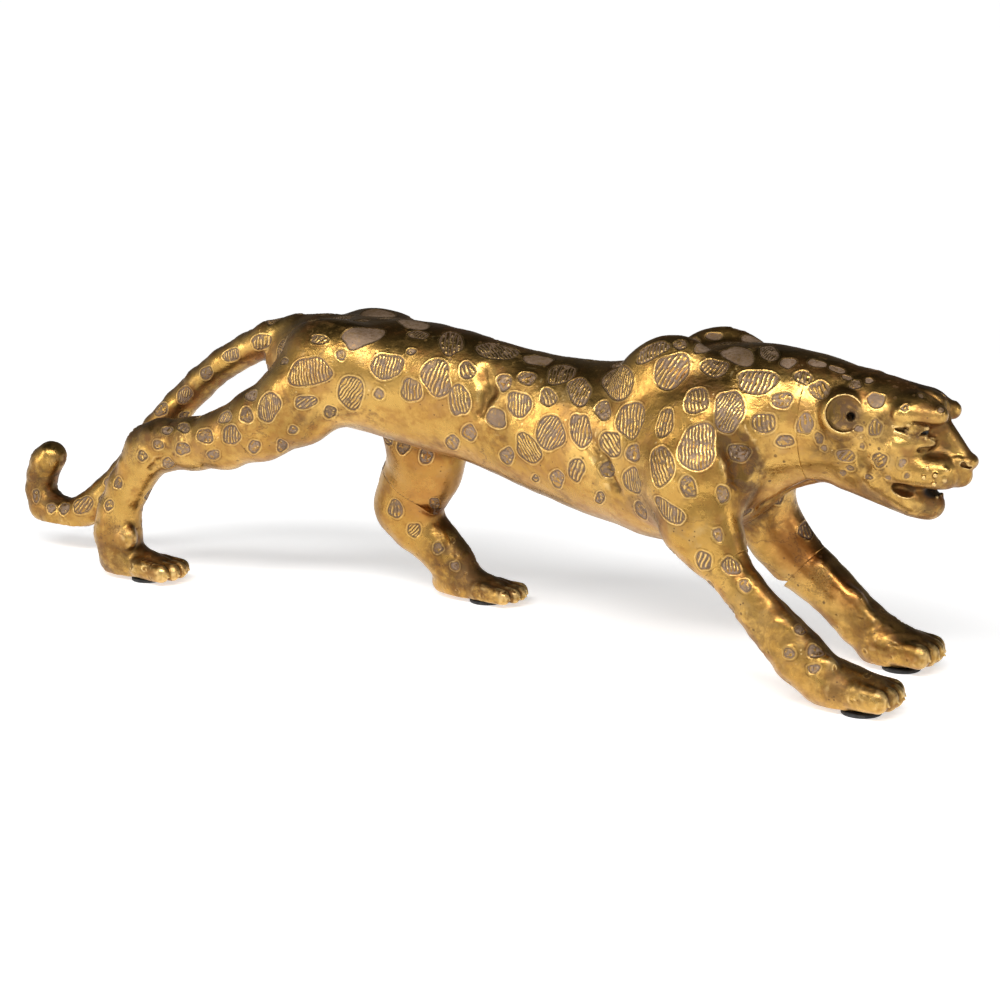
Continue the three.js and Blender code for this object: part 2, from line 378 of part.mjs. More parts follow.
// a cylinder or box whose local +Z is turned to a direction, starting at a point
function along(p, n, from, to) {
  const q = new THREE.Quaternion().setFromUnitVectors(new THREE.Vector3(0, 0, 1), new THREE.Vector3(...n).normalize());
  const mid = new THREE.Vector3(...p).addScaledVector(new THREE.Vector3(...n).normalize(), (from + to) / 2);
  return new THREE.Matrix4().compose(mid, q, new THREE.Vector3(1, 1, 1));
}
function rodSolid(p, n, from, to, r, seg = 12) {
  const g = new THREE.CylinderGeometry(r, r, to - from, seg);
  g.rotateX(PI / 2);
  return solid(g, along(p, n, from, to));
}
const blockSolid = (p, n, from, to, w) => solid(new THREE.BoxGeometry(w, w, to - from), along(p, n, from, to));
const boxSolid = (lo, hi) => {
  const g = new THREE.BoxGeometry(hi[0] - lo[0], hi[1] - lo[1], hi[2] - lo[2]);
  g.translate((lo[0] + hi[0]) / 2, (lo[1] + hi[1]) / 2, (lo[2] + hi[2]) / 2);
  return solid(g);
};
const half = (j, side, w = 120, gap = GAP / 2) => (side > 0
  ? blockSolid(j.p, j.n, gap, 320, 2 * w)
  : blockSolid(j.p, j.n, -320, -gap, 2 * w));
function largest(m) {
  return m.decompose().sort((a, b) => b.volume() - a.volume())[0];
}

const trunkF = form(TRUNK);
const limbs = {
  foreleg_right: { rows: FORE_RIGHT, k: 8, cell: CELL.fore, r: DOWEL_R, lo: [66, -80, -14], hi: [280, 6, 156] },
  foreleg_left: { rows: FORE_LEFT, k: 8, cell: CELL.fore, r: DOWEL_R, lo: [66, -8, -14], hi: [280, 80, 156] },
  hindleg_right: { rows: HIND_RIGHT, k: 9, cell: CELL.hind, r: DOWEL_R, lo: [-285, -74, -14], hi: [-50, 16, 176] },
  hindleg_left: { rows: HIND_LEFT, k: 8, cell: CELL.hind, r: DOWEL_R, lo: [-135, -14, -14], hi: [18, 74, 166] },
  tail: { rows: TAIL, k: 3, cell: CELL.tail, r: TAIL_DOWEL_R, lo: [-360, -26, -14], hi: [-84, 28, 180] },
};
const order = ['hindleg_right', 'hindleg_left', 'foreleg_right', 'foreleg_left', 'tail'];
const forms = {};
for (const n of order) forms[n] = form(limbs[n].rows);
const headF = form(HEAD);

// torso: trunk with the roots of the limbs, cut at every joint
const rootReach = 22; // how far each limb's root is carried past its joint before it is cut
const torsoF = (x, y, z) => {
  let d = trunkF(x, y, z);
  for (const n of order) {
    const j = JOINTS[n];
    const past = (x - j.p[0]) * j.n[0] + (y - j.p[1]) * j.n[1] + (z - j.p[2]) * j.n[2] - rootReach;
    d = blend(d, max(forms[n](x, y, z), past), limbs[n].k);
  }
  return d;
};
let torso = solid(skin(torsoF, [-200, -82, -14], [228, 82, 190], CELL.torso));
torso = torso.subtract(boxSolid([NECK_X - GAP / 2, -100, 0], [300, 100, 260]));
const cutWidth = { foreleg_right: 34, foreleg_left: 34, hindleg_right: 44, hindleg_left: 42, tail: 26 };
for (const n of order) {
  const j = JOINTS[n];
  torso = torso.subtract(blockSolid(j.p, j.n, -GAP / 2, 60, 2 * cutWidth[n]));
}
torso = largest(torso);
const cavityF = (x, y, z) => max(sections(TRUNK[0])(x, y, z) + WALL, x - CAVITY_X[1], CAVITY_X[0] - x);
const cavity = solid(skin(cavityF, [-130, -60, 50], [182, 60, 180], CELL.cavity));
torso = torso.subtract(cavity);
torso = torso.subtract(rodSolid([NECK_X, 0, NECK_Z], [1, 0, 0], -40, 5, SPIGOT_R + GAP, 28));
for (const n of order) {
  torso = torso.subtract(rodSolid(JOINTS[n].p, JOINTS[n].n, -DOWEL_IN - GAP, 2, limbs[n].r + GAP));
}
const neckPinX = NECK_X - 7.0, neckPinZ = [104.5, NECK_Z - SPIGOT_R + 9];
torso = torso.subtract(rodSolid([neckPinX, 0, 0], [0, 0, 1], 60, NECK_Z, NECK_PIN_R + GAP));
torso = largest(torso);

// head
let head = solid(skin((x, y, z) => max(blend(trunkF(x, y, z), headF(x, y, z), 7), 179 - x), [166, -53.6, 70.4], [286, 54, 186], CELL.head));
head = head.subtract(boxSolid([100, -100, 0], [NECK_X + GAP / 2, 100, 260]));
head = head.add(rodSolid([NECK_X, 0, NECK_Z], [1, 0, 0], -SPIGOT_L, 6, SPIGOT_R, 28));
head = head.subtract(rodSolid([neckPinX, 0, 0], [0, 0, 1], 60, neckPinZ[1] + GAP, NECK_PIN_R + GAP));
head = largest(head);

// limbs
const cast = {};
for (const n of order) {
  const { rows, cell, lo, hi, r } = limbs[n], j = JOINTS[n];
  let m = solid(skin(forms[n], lo, hi, cell));
  m = m.subtract(blockSolid(j.p, j.n, -320, GAP / 2, 640));
  m = m.subtract(boxSolid([-500, -200, -60], [500, 200, SOLE_Z]));
  m = m.subtract(rodSolid(j.p, j.n, -2, DOWEL_OUT + GAP, r + GAP));
  cast[n] = largest(m);
}

// ---------------------------------------------------------------- assembly
const gilt = () => new THREE.MeshStandardMaterial({ color: 0xd2a24c, metalness: 1.0, roughness: 0.34 });
const steel = () => new THREE.MeshStandardMaterial({ color: 0x9a9c9f, metalness: 1.0, roughness: 0.4 });
const rubber = () => new THREE.MeshStandardMaterial({ color: 0x17171a, metalness: 0.0, roughness: 0.8 });

const leopard = new THREE.Group();
leopard.name = 'leopard_figurine';
leopard.position.set(-ORIGIN[0], -ORIGIN[1], -ORIGIN[2]);

function put(name, manifold, material) {
  const { vertProperties, triVerts, numProp } = manifold.getMesh();
  const g = new THREE.BufferGeometry();
  const p = new Float32Array((vertProperties.length / numProp) * 3);
  for (let i = 0; i < p.length / 3; i++) for (let m = 0; m < 3; m++) p[3 * i + m] = vertProperties[numProp * i + m];
  g.setAttribute('position', new THREE.BufferAttribute(p, 3));
  g.setIndex(new THREE.BufferAttribute(new Uint32Array(triVerts), 1));
  g.computeVertexNormals();
  const mesh = new THREE.Mesh(g, material);
  mesh.name = name;
  leopard.add(mesh);
}
put('torso_shell', torso, gilt());
put('head_casting', head, gilt());
put('foreleg_right', cast.foreleg_right, gilt());
put('foreleg_left', cast.foreleg_left, gilt());
put('hindleg_right', cast.hindleg_right, gilt());
put('hindleg_left', cast.hindleg_left, gilt());
put('tail_casting', cast.tail, gilt());

put('neck_cross_pin', rodSolid([neckPinX, 0, 0], [0, 0, 1], neckPinZ[0], neckPinZ[1], NECK_PIN_R), steel());
for (const n of order) {
  put(n + '_dowel', rodSolid(JOINTS[n].p, JOINTS[n].n, -DOWEL_IN, DOWEL_OUT, limbs[n].r), steel());
}
for (const [n, [x, y]] of Object.entries(FEET)) {
  const g = new THREE.CylinderGeometry(PAD_R, PAD_R, PAD_T, 28);
  g.rotateX(PI / 2);
  g.translate(x, y, PAD_T / 2);
  put(n.replace('leg', 'foot') + '_pad', solid(g), rubber());
}

export default leopard;
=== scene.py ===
import math

import bmesh
import bpy
import numpy as np
from mathutils import Matrix, Vector


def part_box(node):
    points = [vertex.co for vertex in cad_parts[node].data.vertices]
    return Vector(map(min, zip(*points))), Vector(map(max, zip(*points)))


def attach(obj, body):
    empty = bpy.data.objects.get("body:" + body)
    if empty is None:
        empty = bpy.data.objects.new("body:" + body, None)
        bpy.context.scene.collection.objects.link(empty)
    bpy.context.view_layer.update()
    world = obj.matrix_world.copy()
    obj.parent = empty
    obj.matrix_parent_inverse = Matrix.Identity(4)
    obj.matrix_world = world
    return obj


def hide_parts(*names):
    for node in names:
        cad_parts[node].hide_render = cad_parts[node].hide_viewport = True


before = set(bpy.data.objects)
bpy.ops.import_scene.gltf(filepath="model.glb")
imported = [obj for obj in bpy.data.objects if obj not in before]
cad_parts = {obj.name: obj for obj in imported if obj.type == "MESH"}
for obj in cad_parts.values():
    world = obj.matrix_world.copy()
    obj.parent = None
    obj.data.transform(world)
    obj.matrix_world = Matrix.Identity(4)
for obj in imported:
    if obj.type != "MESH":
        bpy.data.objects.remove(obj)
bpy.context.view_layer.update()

# A gilt cast leopard. Tables are in millimetres in a modelling frame: X from tail to nose, Y across, Z up from the
# surface that it stands on. SHIFT carries them to the part's frame.
SHIFT = np.array([36.73, 1.33, 0.0])
MM = 0.001

T = {
    "trunk": [
        ["L", [[-150.0, 147.0, 121.0, 9.0, 0.5], [-138.0, 155.0, 113.0, 17.0, 0.5], [-120.0, 161.0, 105.0, 25.0, 0.5], [-100.0, 161.5, 101.0, 31.0, 0.5], [-75.0, 162.6, 98.0, 34.0, 0.5], [-45.0, 162.2, 93.0, 32.0, 0.5], [-15.0, 158.8, 89.0, 28.5, 0.5], [15.0, 153.4, 80.0, 27.5, 0.5], [45.0, 151.2, 72.5, 30.5, 0.48], [75.0, 152.5, 67.0, 36.0, 0.46], [100.0, 159.0, 62.5, 40.0, 0.46], [125.0, 165.0, 64.0, 41.0, 0.5], [150.0, 168.5, 77.0, 36.5, 0.52], [172.0, 167.5, 95.0, 30.5, 0.52], [195.0, 164.0, 103.5, 26.0, 0.5], [214.0, 158.6, 107.0, 21.5, 0.5]]],
        ["E", [110.0, -20.0, 148.6], [29.0, 12.5, 22.5], [-18.0, -20.0, 0.0], 7, "add"],
        ["E", [133.0, -29.0, 112.0], [33.0, 18.0, 38.0], [0.0, 28.0, 0.0], 10, "add"],
        ["E", [-90.0, -23.0, 137.5], [36.0, 17.0, 26.0], [0.0, 10.0, 0.0], 10, "add"],
        ["E", [121.0, 20.0, 149.4], [29.0, 12.5, 22.5], [18.0, -20.0, 0.0], 7, "add"],
        ["E", [133.0, 29.0, 112.0], [33.0, 18.0, 38.0], [0.0, 28.0, 0.0], 10, "add"],
        ["E", [-90.0, 23.0, 137.5], [36.0, 17.0, 26.0], [0.0, 10.0, 0.0], 10, "add"],
    ],
    "hindR": [
        ["C", [-96.54, -26.0, 131.22], [-112.99, -29.0, 116.72], [23.5, 23.12], 5, 1.2, [0.0, 1.0, 0.0]],
        ["C", [-112.99, -29.0, 116.72], [-135.95, -32.0, 102.48], [23.12, 19.45], 5, 1.2, [0.0, 1.0, 0.0]],
        ["C", [-135.95, -32.0, 102.48], [-161.59, -33.0, 91.37], [19.45, 16.29], 5, 1.2, [0.0, 1.0, 0.0]],
        ["C", [-161.59, -33.0, 91.37], [-184.13, -32.0, 86.15], [16.29, 14.76], 4, 1.2, [0.0, 1.0, 0.0]],
        ["C", [-184.13, -32.0, 86.15], [-208.54, -31.0, 82.43], [14.76, 14.62], 4, 1.2, [0.0, 1.0, 0.0]],
        ["C", [-208.54, -31.0, 82.43], [-219.21, -30.0, 78.14], [14.62, 14.13], 4, 1.2, [0.0, 1.0, 0.0]],
        ["C", [-219.21, -30.0, 78.14], [-236.81, -30.0, 54.17], [14.13, 11.65], 5, 1.1, [0.0, 1.0, 0.0]],
        ["C", [-236.81, -30.0, 54.17], [-244.4, -30.0, 38.26], [11.65, 12.3], 5, 1.1, [0.0, 1.0, 0.0]],
        ["C", [-244.4, -30.0, 38.26], [-245.74, -30.0, 26.03], [12.3, 13.5], 5, 1.1, [0.0, 1.0, 0.0]],
        ["C", [-245.74, -30.0, 26.03], [-243.9, -30.0, 15.98], [13.5, 14.1], 5, 1.1, [0.0, 1.0, 0.0]],
        ["E", [-238.32, -28.0, 7.98], [22.05, 11.61, 9.88], [0.0, 0.0, 0.0], 4, "add"],
        ["C", [-240.84, -28.0, 10.64], [-216.9, -28.0, 8.26], [8.74, 6.5], 4, 0.74, [0.0, 1.0, 0.0]],
        ["C", [-225.41, -36.3, 8.26], [-207.94, -37.42, 7.47], [5.68, 4.99], 1.5, 1.28, [0.0, 1.0, 0.0]],
        ["C", [-222.32, -30.88, 8.26], [-204.86, -31.26, 7.47], [5.68, 4.99], 1.5, 1.28, [0.0, 1.0, 0.0]],
        ["C", [-222.32, -25.12, 8.26], [-204.86, -24.74, 7.47], [5.68, 4.99], 1.5, 1.28, [0.0, 1.0, 0.0]],
        ["C", [-225.41, -19.7, 8.26], [-207.94, -18.58, 7.47], [5.68, 4.99], 1.5, 1.28, [0.0, 1.0, 0.0]],
    ],
    "hindL": [
        ["C", [-70.58, 20.0, 100.61], [-63.27, 24.0, 86.99], [19.03, 22.43], 6, 1.3, [0.0, 1.0, 0.0]],
        ["C", [-63.27, 24.0, 86.99], [-67.39, 28.0, 74.88], [22.43, 21.44], 6, 1.3, [0.0, 1.0, 0.0]],
        ["C", [-67.39, 28.0, 74.88], [-77.02, 31.0, 61.59], [21.44, 19.9], 6, 1.3, [0.0, 1.0, 0.0]],
        ["C", [-77.02, 31.0, 61.59], [-83.32, 33.0, 49.33], [19.9, 18.87], 6, 1.3, [0.0, 1.0, 0.0]],
        ["C", [-83.32, 33.0, 49.33], [-76.51, 34.0, 39.41], [18.87, 15.72], 4, 1.15, [0.0, 1.0, 0.0]],
        ["C", [-76.51, 34.0, 39.41], [-64.23, 35.0, 29.04], [15.72, 13.4], 4, 1.15, [0.0, 1.0, 0.0]],
        ["C", [-64.23, 35.0, 29.04], [-55.4, 36.0, 20.02], [13.4, 12.81], 4, 1.15, [0.0, 1.0, 0.0]],
        ["C", [-55.4, 36.0, 20.02], [-47.97, 36.0, 13.41], [12.81, 11.37], 4, 1.15, [0.0, 1.0, 0.0]],
        ["E", [-45.5, 36.0, 7.14], [21.88, 11.18, 8.84], [0.0, 0.0, 0.0], 4, "add"],
        ["C", [-48.0, 36.0, 9.52], [-24.25, 36.0, 7.28], [7.82, 6.05], 4, 0.74, [0.0, 1.0, 0.0]],
        ["C", [-32.69, 28.01, 7.28], [-15.05, 26.93, 6.14], [5.29, 4.64], 1.5, 1.28, [0.0, 1.0, 0.0]],
        ["C", [-29.62, 33.23, 7.28], [-11.98, 32.86, 6.14], [5.29, 4.64], 1.5, 1.28, [0.0, 1.0, 0.0]],
        ["C", [-29.62, 38.77, 7.28], [-11.98, 39.14, 6.14], [5.29, 4.64], 1.5, 1.28, [0.0, 1.0, 0.0]],
        ["C", [-32.69, 43.99, 7.28], [-15.05, 45.07, 6.14], [5.29, 4.64], 1.5, 1.28, [0.0, 1.0, 0.0]],
    ],
    "foreR": [
        ["C", [135.38, -35.0, 103.1], [140.68, -38.0, 83.97], [24.81, 19.83], 6, 1.2, [0.0, 1.0, 0.0]],
        ["C", [140.68, -38.0, 83.97], [149.73, -40.0, 72.31], [19.83, 14.83], 6, 1.2, [0.0, 1.0, 0.0]],
        ["C", [149.73, -40.0, 72.31], [160.38, -42.0, 60.45], [14.83, 10.59], 6, 1.2, [0.0, 1.0, 0.0]],
        ["C", [160.38, -42.0, 60.45], [167.68, -42.0, 52.83], [10.59, 10.08], 3, 1.0, [0, 1, 0]],
        ["C", [167.68, -42.0, 52.83], [174.41, -42.0, 45.16], [10.08, 10.55], 3, 1.0, [0, 1, 0]],
        ["C", [174.41, -42.0, 45.16], [181.64, -42.0, 38.61], [10.55, 11.27], 3, 1.0, [0, 1, 0]],
        ["C", [181.64, -42.0, 38.61], [189.92, -42.0, 31.74], [11.27, 12.22], 3, 1.0, [0, 1, 0]],
        ["C", [189.92, -42.0, 31.74], [198.73, -42.0, 23.97], [12.22, 13.16], 3, 1.0, [0, 1, 0]],
        ["C", [198.73, -42.0, 23.97], [209.64, -42.0, 15.58], [13.16, 12.64], 3, 1.0, [0, 1, 0]],
        ["E", [221.0, -40.0, 9.66], [17.5, 12.47, 11.96], [0.0, 0.0, 0.0], 4, "add"],
        ["C", [219.0, -40.0, 12.88], [238.0, -40.0, 10.88], [10.58, 8.29], 4, 0.74, [0.0, 1.0, 0.0]],
        ["C", [231.25, -48.92, 10.88], [242.59, -50.11, 10.22], [7.25, 6.36], 1.5, 1.28, [0.0, 1.0, 0.0]],
        ["C", [233.7, -43.09, 10.88], [245.04, -43.51, 10.22], [7.25, 6.36], 1.5, 1.28, [0.0, 1.0, 0.0]],
        ["C", [233.7, -36.91, 10.88], [245.04, -36.49, 10.22], [7.25, 6.36], 1.5, 1.28, [0.0, 1.0, 0.0]],
        ["C", [231.25, -31.08, 10.88], [242.59, -29.89, 10.22], [7.25, 6.36], 1.5, 1.28, [0.0, 1.0, 0.0]],
    ],
    "foreL": [
        ["C", [137.2, 24.0, 101.72], [142.63, 32.0, 74.27], [21.68, 16.13], 6, 1.15, [0.0, 1.0, 0.0]],
        ["C", [142.63, 32.0, 74.27], [149.6, 35.0, 61.16], [16.13, 14.85], 6, 1.15, [0.0, 1.0, 0.0]],
        ["C", [149.6, 35.0, 61.16], [159.86, 37.0, 49.75], [14.85, 13.8], 6, 1.15, [0.0, 1.0, 0.0]],
        ["C", [159.86, 37.0, 49.75], [170.89, 37.0, 42.68], [13.8, 13.24], 6, 1.15, [0.0, 1.0, 0.0]],
        ["C", [170.89, 37.0, 42.68], [179.71, 38.0, 35.66], [13.24, 12.44], 3, 1.0, [0, 1, 0]],
        ["C", [179.71, 38.0, 35.66], [187.81, 38.0, 28.79], [12.44, 12.15], 3, 1.0, [0, 1, 0]],
        ["C", [187.81, 38.0, 28.79], [196.45, 38.0, 21.5], [12.15, 12.38], 3, 1.0, [0, 1, 0]],
        ["C", [196.45, 38.0, 21.5], [206.69, 38.0, 15.04], [12.38, 12.86], 3, 1.0, [0, 1, 0]],
        ["E", [211.28, 38.0, 10.08], [16.8, 12.47, 12.48], [0.0, 0.0, 0.0], 4, "add"],
        ["C", [209.36, 38.0, 13.44], [227.6, 38.0, 11.42], [11.04, 8.51], 4, 0.74, [0.0, 1.0, 0.0]],
        ["C", [221.12, 29.08, 11.42], [231.56, 27.89, 10.98], [7.45, 6.54], 1.5, 1.28, [0.0, 1.0, 0.0]],
        ["C", [223.47, 34.91, 11.42], [233.91, 34.49, 10.98], [7.45, 6.54], 1.5, 1.28, [0.0, 1.0, 0.0]],
        ["C", [223.47, 41.09, 11.42], [233.91, 41.51, 10.98], [7.45, 6.54], 1.5, 1.28, [0.0, 1.0, 0.0]],
        ["C", [221.12, 46.92, 11.42], [231.56, 48.11, 10.98], [7.45, 6.54], 1.5, 1.28, [0.0, 1.0, 0.0]],
    ],
    "tail": [
        ["C", [-113.15, 2.0, 148.07], [-133.94, 2.0, 148.58], [12.28, 11.25], 2, 1.0, [0, 1, 0]],
        ["C", [-133.94, 2.0, 148.58], [-152.95, 0.0, 144.67], [11.25, 9.91], 2, 1.0, [0, 1, 0]],
        ["C", [-152.95, 0.0, 144.67], [-169.58, 0.0, 137.19], [9.91, 9.13], 2, 1.0, [0, 1, 0]],
        ["C", [-169.58, 0.0, 137.19], [-188.01, 0.0, 126.84], [9.13, 9.09], 2, 1.0, [0, 1, 0]],
        ["C", [-188.01, 0.0, 126.84], [-204.63, 0.0, 114.16], [9.09, 9.29], 2, 1.0, [0, 1, 0]],
        ["C", [-204.63, 0.0, 114.16], [-220.82, 0.0, 99.84], [9.29, 9.48], 2, 1.0, [0, 1, 0]],
        ["C", [-220.82, 0.0, 99.84], [-237.33, 0.0, 84.08], [9.48, 9.33], 2, 1.0, [0, 1, 0]],
        ["C", [-237.33, 0.0, 84.08], [-251.82, 0.0, 68.0], [9.33, 8.92], 2, 1.0, [0, 1, 0]],
        ["C", [-251.82, 0.0, 68.0], [-265.69, 0.0, 52.99], [8.92, 8.87], 2, 1.0, [0, 1, 0]],
        ["C", [-265.69, 0.0, 52.99], [-280.47, 0.0, 39.52], [8.87, 9.06], 2, 1.0, [0, 1, 0]],
        ["C", [-280.47, 0.0, 39.52], [-293.72, 0.0, 28.89], [9.06, 9.72], 2, 1.0, [0, 1, 0]],
        ["C", [-293.72, 0.0, 28.89], [-306.1, 0.0, 22.65], [9.72, 10.08], 2, 1.0, [0, 1, 0]],
        ["C", [-306.1, 0.0, 22.65], [-318.27, 0.0, 22.38], [10.08, 10.74], 2, 1.0, [0, 1, 0]],
        ["C", [-318.27, 0.0, 22.38], [-328.65, 0.0, 26.77], [10.74, 10.46], 2, 1.0, [0, 1, 0]],
        ["C", [-328.65, 0.0, 26.77], [-333.06, 0.0, 35.7], [10.46, 9.11], 2, 1.0, [0, 1, 0]],
        ["C", [-333.06, 0.0, 35.7], [-330.87, 0.0, 45.4], [9.11, 9.21], 2, 1.0, [0, 1, 0]],
        ["C", [-330.87, 0.0, 45.4], [-327.14, 0.0, 53.36], [9.21, 9.68], 2, 1.0, [0, 1, 0]],
        ["C", [-327.14, 0.0, 53.36], [-322.83, 0.0, 57.6], [9.68, 9.17], 2, 1.0, [0, 1, 0]],
    ],
    "head": [
        ["E", [219.2, 0.0, 135.4], [31.0, 22.0, 23.5], [0.0, 10.0, 0.0], 0, "add"],
        ["E", [235.2, 0.0, 137.9], [17.0, 17.5, 17.0], [0.0, 0.0, 0.0], 5, "add"],
        ["E", [243.2, 0.0, 146.4], [10.0, 13.0, 6.8], [0.0, 8.0, 0.0], 4, "add"],
        ["E", [238.2, -9.5, 144.4], [11.5, 9.5, 8.5], [0.0, 8.0, 0.0], 3, "add"],
        ["C", [236.2, -16.0, 143.7], [251.7, -8.6, 143.3], [5.2, 4.8], 2.0, 1.0, [0, 1, 0]],
        ["E", [232.2, -11.5, 121.4], [14.0, 9.0, 13.0], [0.0, 14.0, 0.0], 4.5, "add"],
        ["C", [235.2, -16.8, 128.4], [248.2, -10.5, 130.4], [4.8, 3.4], 3.0, 1.0, [0, 1, 0]],
        ["C", [237.2, -12.5, 116.4], [252.2, -7.0, 115.4], [8.2, 8.4], 3.6, 1.0, [0, 1, 0]],
        ["E", [254.7, -5.6, 114.9], [8.0, 6.8, 7.6], [0.0, 18.0, 0.0], 2.6, "add"],
        ["E", [238.2, 9.5, 144.4], [11.5, 9.5, 8.5], [0.0, 8.0, 0.0], 3, "add"],
        ["C", [236.2, 16.0, 143.7], [251.7, 8.6, 143.3], [5.2, 4.8], 2.0, 1.0, [0, 1, 0]],
        ["E", [232.2, 11.5, 121.4], [14.0, 9.0, 13.0], [0.0, 14.0, 0.0], 4.5, "add"],
        ["C", [235.2, 16.8, 128.4], [248.2, 10.5, 130.4], [4.8, 3.4], 3.0, 1.0, [0, 1, 0]],
        ["C", [237.2, 12.5, 116.4], [252.2, 7.0, 115.4], [8.2, 8.4], 3.6, 1.0, [0, 1, 0]],
        ["E", [254.7, 5.6, 114.9], [8.0, 6.8, 7.6], [0.0, 18.0, 0.0], 2.6, "add"],
        ["C", [249.7, 0.0, 136.4], [262.7, 0.0, 121.9], [5.6, 4.4], 3.0, 1.0, [0, 1, 0]],
        ["C", [250.2, 0.0, 121.9], [259.2, 0.0, 118.9], [7.5, 6.2], 4, 1.0, [0, 1, 0]],
        ["E", [259.5, 0.0, 113.5], [7.2, 5.2, 6.0], [0.0, 0.0, 0.0], 3, "add"],
        ["E", [265.2, 0.0, 120.7], [4.0, 5.8, 3.9], [0.0, 12.0, 0.0], 1.4, "add"],
        ["E", [261.2, -5.0, 121.3], [3.2, 2.3, 2.8], [0.0, 0.0, 0.0], 1.2, "add"],
        ["E", [261.2, 5.0, 121.3], [3.2, 2.3, 2.8], [0.0, 0.0, 0.0], 1.2, "add"],
        ["G", [["C", [206.2, 0.0, 112.4], [237.2, 0.0, 100.3], [13.5, 10.0], 0, 1.0, [0, 1, 0]], ["C", [223.2, -9.0, 109.4], [240.2, -6.0, 99.5], [8.2, 6.6], 4, 1.0, [0, 1, 0]], ["C", [223.2, 9.0, 109.4], [240.2, 6.0, 99.5], [8.2, 6.6], 4, 1.0, [0, 1, 0]], ["E", [244.8, 0.0, 97.3], [8.4, 8.2, 7.6], [0.0, 0.0, 0.0], 3, "add"]], 5],
        ["E", [259.2, 0.0, 103.7], [11.0, 12.5, 3.3], [0.0, 22.0, 0.0], 0.9, "sub"],
        ["E", [238.8, -17.0, 106.1], [6.6, 8.0, 3.8], [0.0, 14.0, 20.0], 0.9, "sub"],
        ["E", [238.8, 17.0, 106.1], [6.6, 8.0, 3.8], [0.0, 14.0, -20.0], 0.9, "sub"],
        ["E", [244.6, -17.4, 137.1], [8.6, 4.2, 3.5], [0.0, 4.0, 38.0], 1.6, "sub"],
        ["E", [251.2, -9.6, 135.2], [3.8, 3.6, 3.2], [0.0, 0.0, 38.0], 1.8, "sub"],
        ["E", [242.4, -14.3, 136.8], [4.6, 3.9, 3.6], [0.0, 0.0, 34.0], 0.5, "add"],
        ["E", [244.6, 17.4, 137.1], [8.6, 4.2, 3.5], [0.0, 4.0, -38.0], 1.6, "sub"],
        ["E", [251.2, 9.6, 135.2], [3.8, 3.6, 3.2], [0.0, 0.0, -38.0], 1.8, "sub"],
        ["E", [242.4, 14.3, 136.8], [4.6, 3.9, 3.6], [0.0, 0.0, -34.0], 0.5, "add"],
        ["G", [["E", [208.8, -21.4, 141.5], [10.9, 10.9, 6.0], [0.0, 74.0, -62.0], 0, "add"], ["E", [208.8, 21.4, 141.5], [10.9, 10.9, 6.0], [0.0, 74.0, 62.0], 0.1, "add"], ["E", [210.5, -24.7, 142.5], [9.4, 9.4, 4.8], [0.0, 74.0, -62.0], 0.4, "sub"], ["E", [210.5, 24.7, 142.5], [9.4, 9.4, 4.8], [0.0, 74.0, 62.0], 0.4, "sub"]], 1.0],
    ],
}
PLANES = {
    "foreR": {"p": [156.46, -42.0, 63.47], "n": [0.6489, -0.0942, -0.755]},
    "foreL": {"p": [163.39, 37.0, 46.47], "n": [0.7408, 0.0752, -0.6675]},
    "hindR": {"p": [-143.07, -32.0, 98.32], "n": [-0.876, -0.0721, -0.4769]},
    "hindL": {"p": [-73.58, 31.0, 63.75], "n": [-0.5201, 0.1567, -0.8396]},
    "tail": {"p": [-154, 0, 134], "n": [-1, 0, 0]},
    "neck": {"p": [187, 0, 133], "n": [1, 0, 0]},
}
K = {"hindR": 9, "hindL": 8, "foreR": 8, "foreL": 8, "tail": 3, "head": 7}
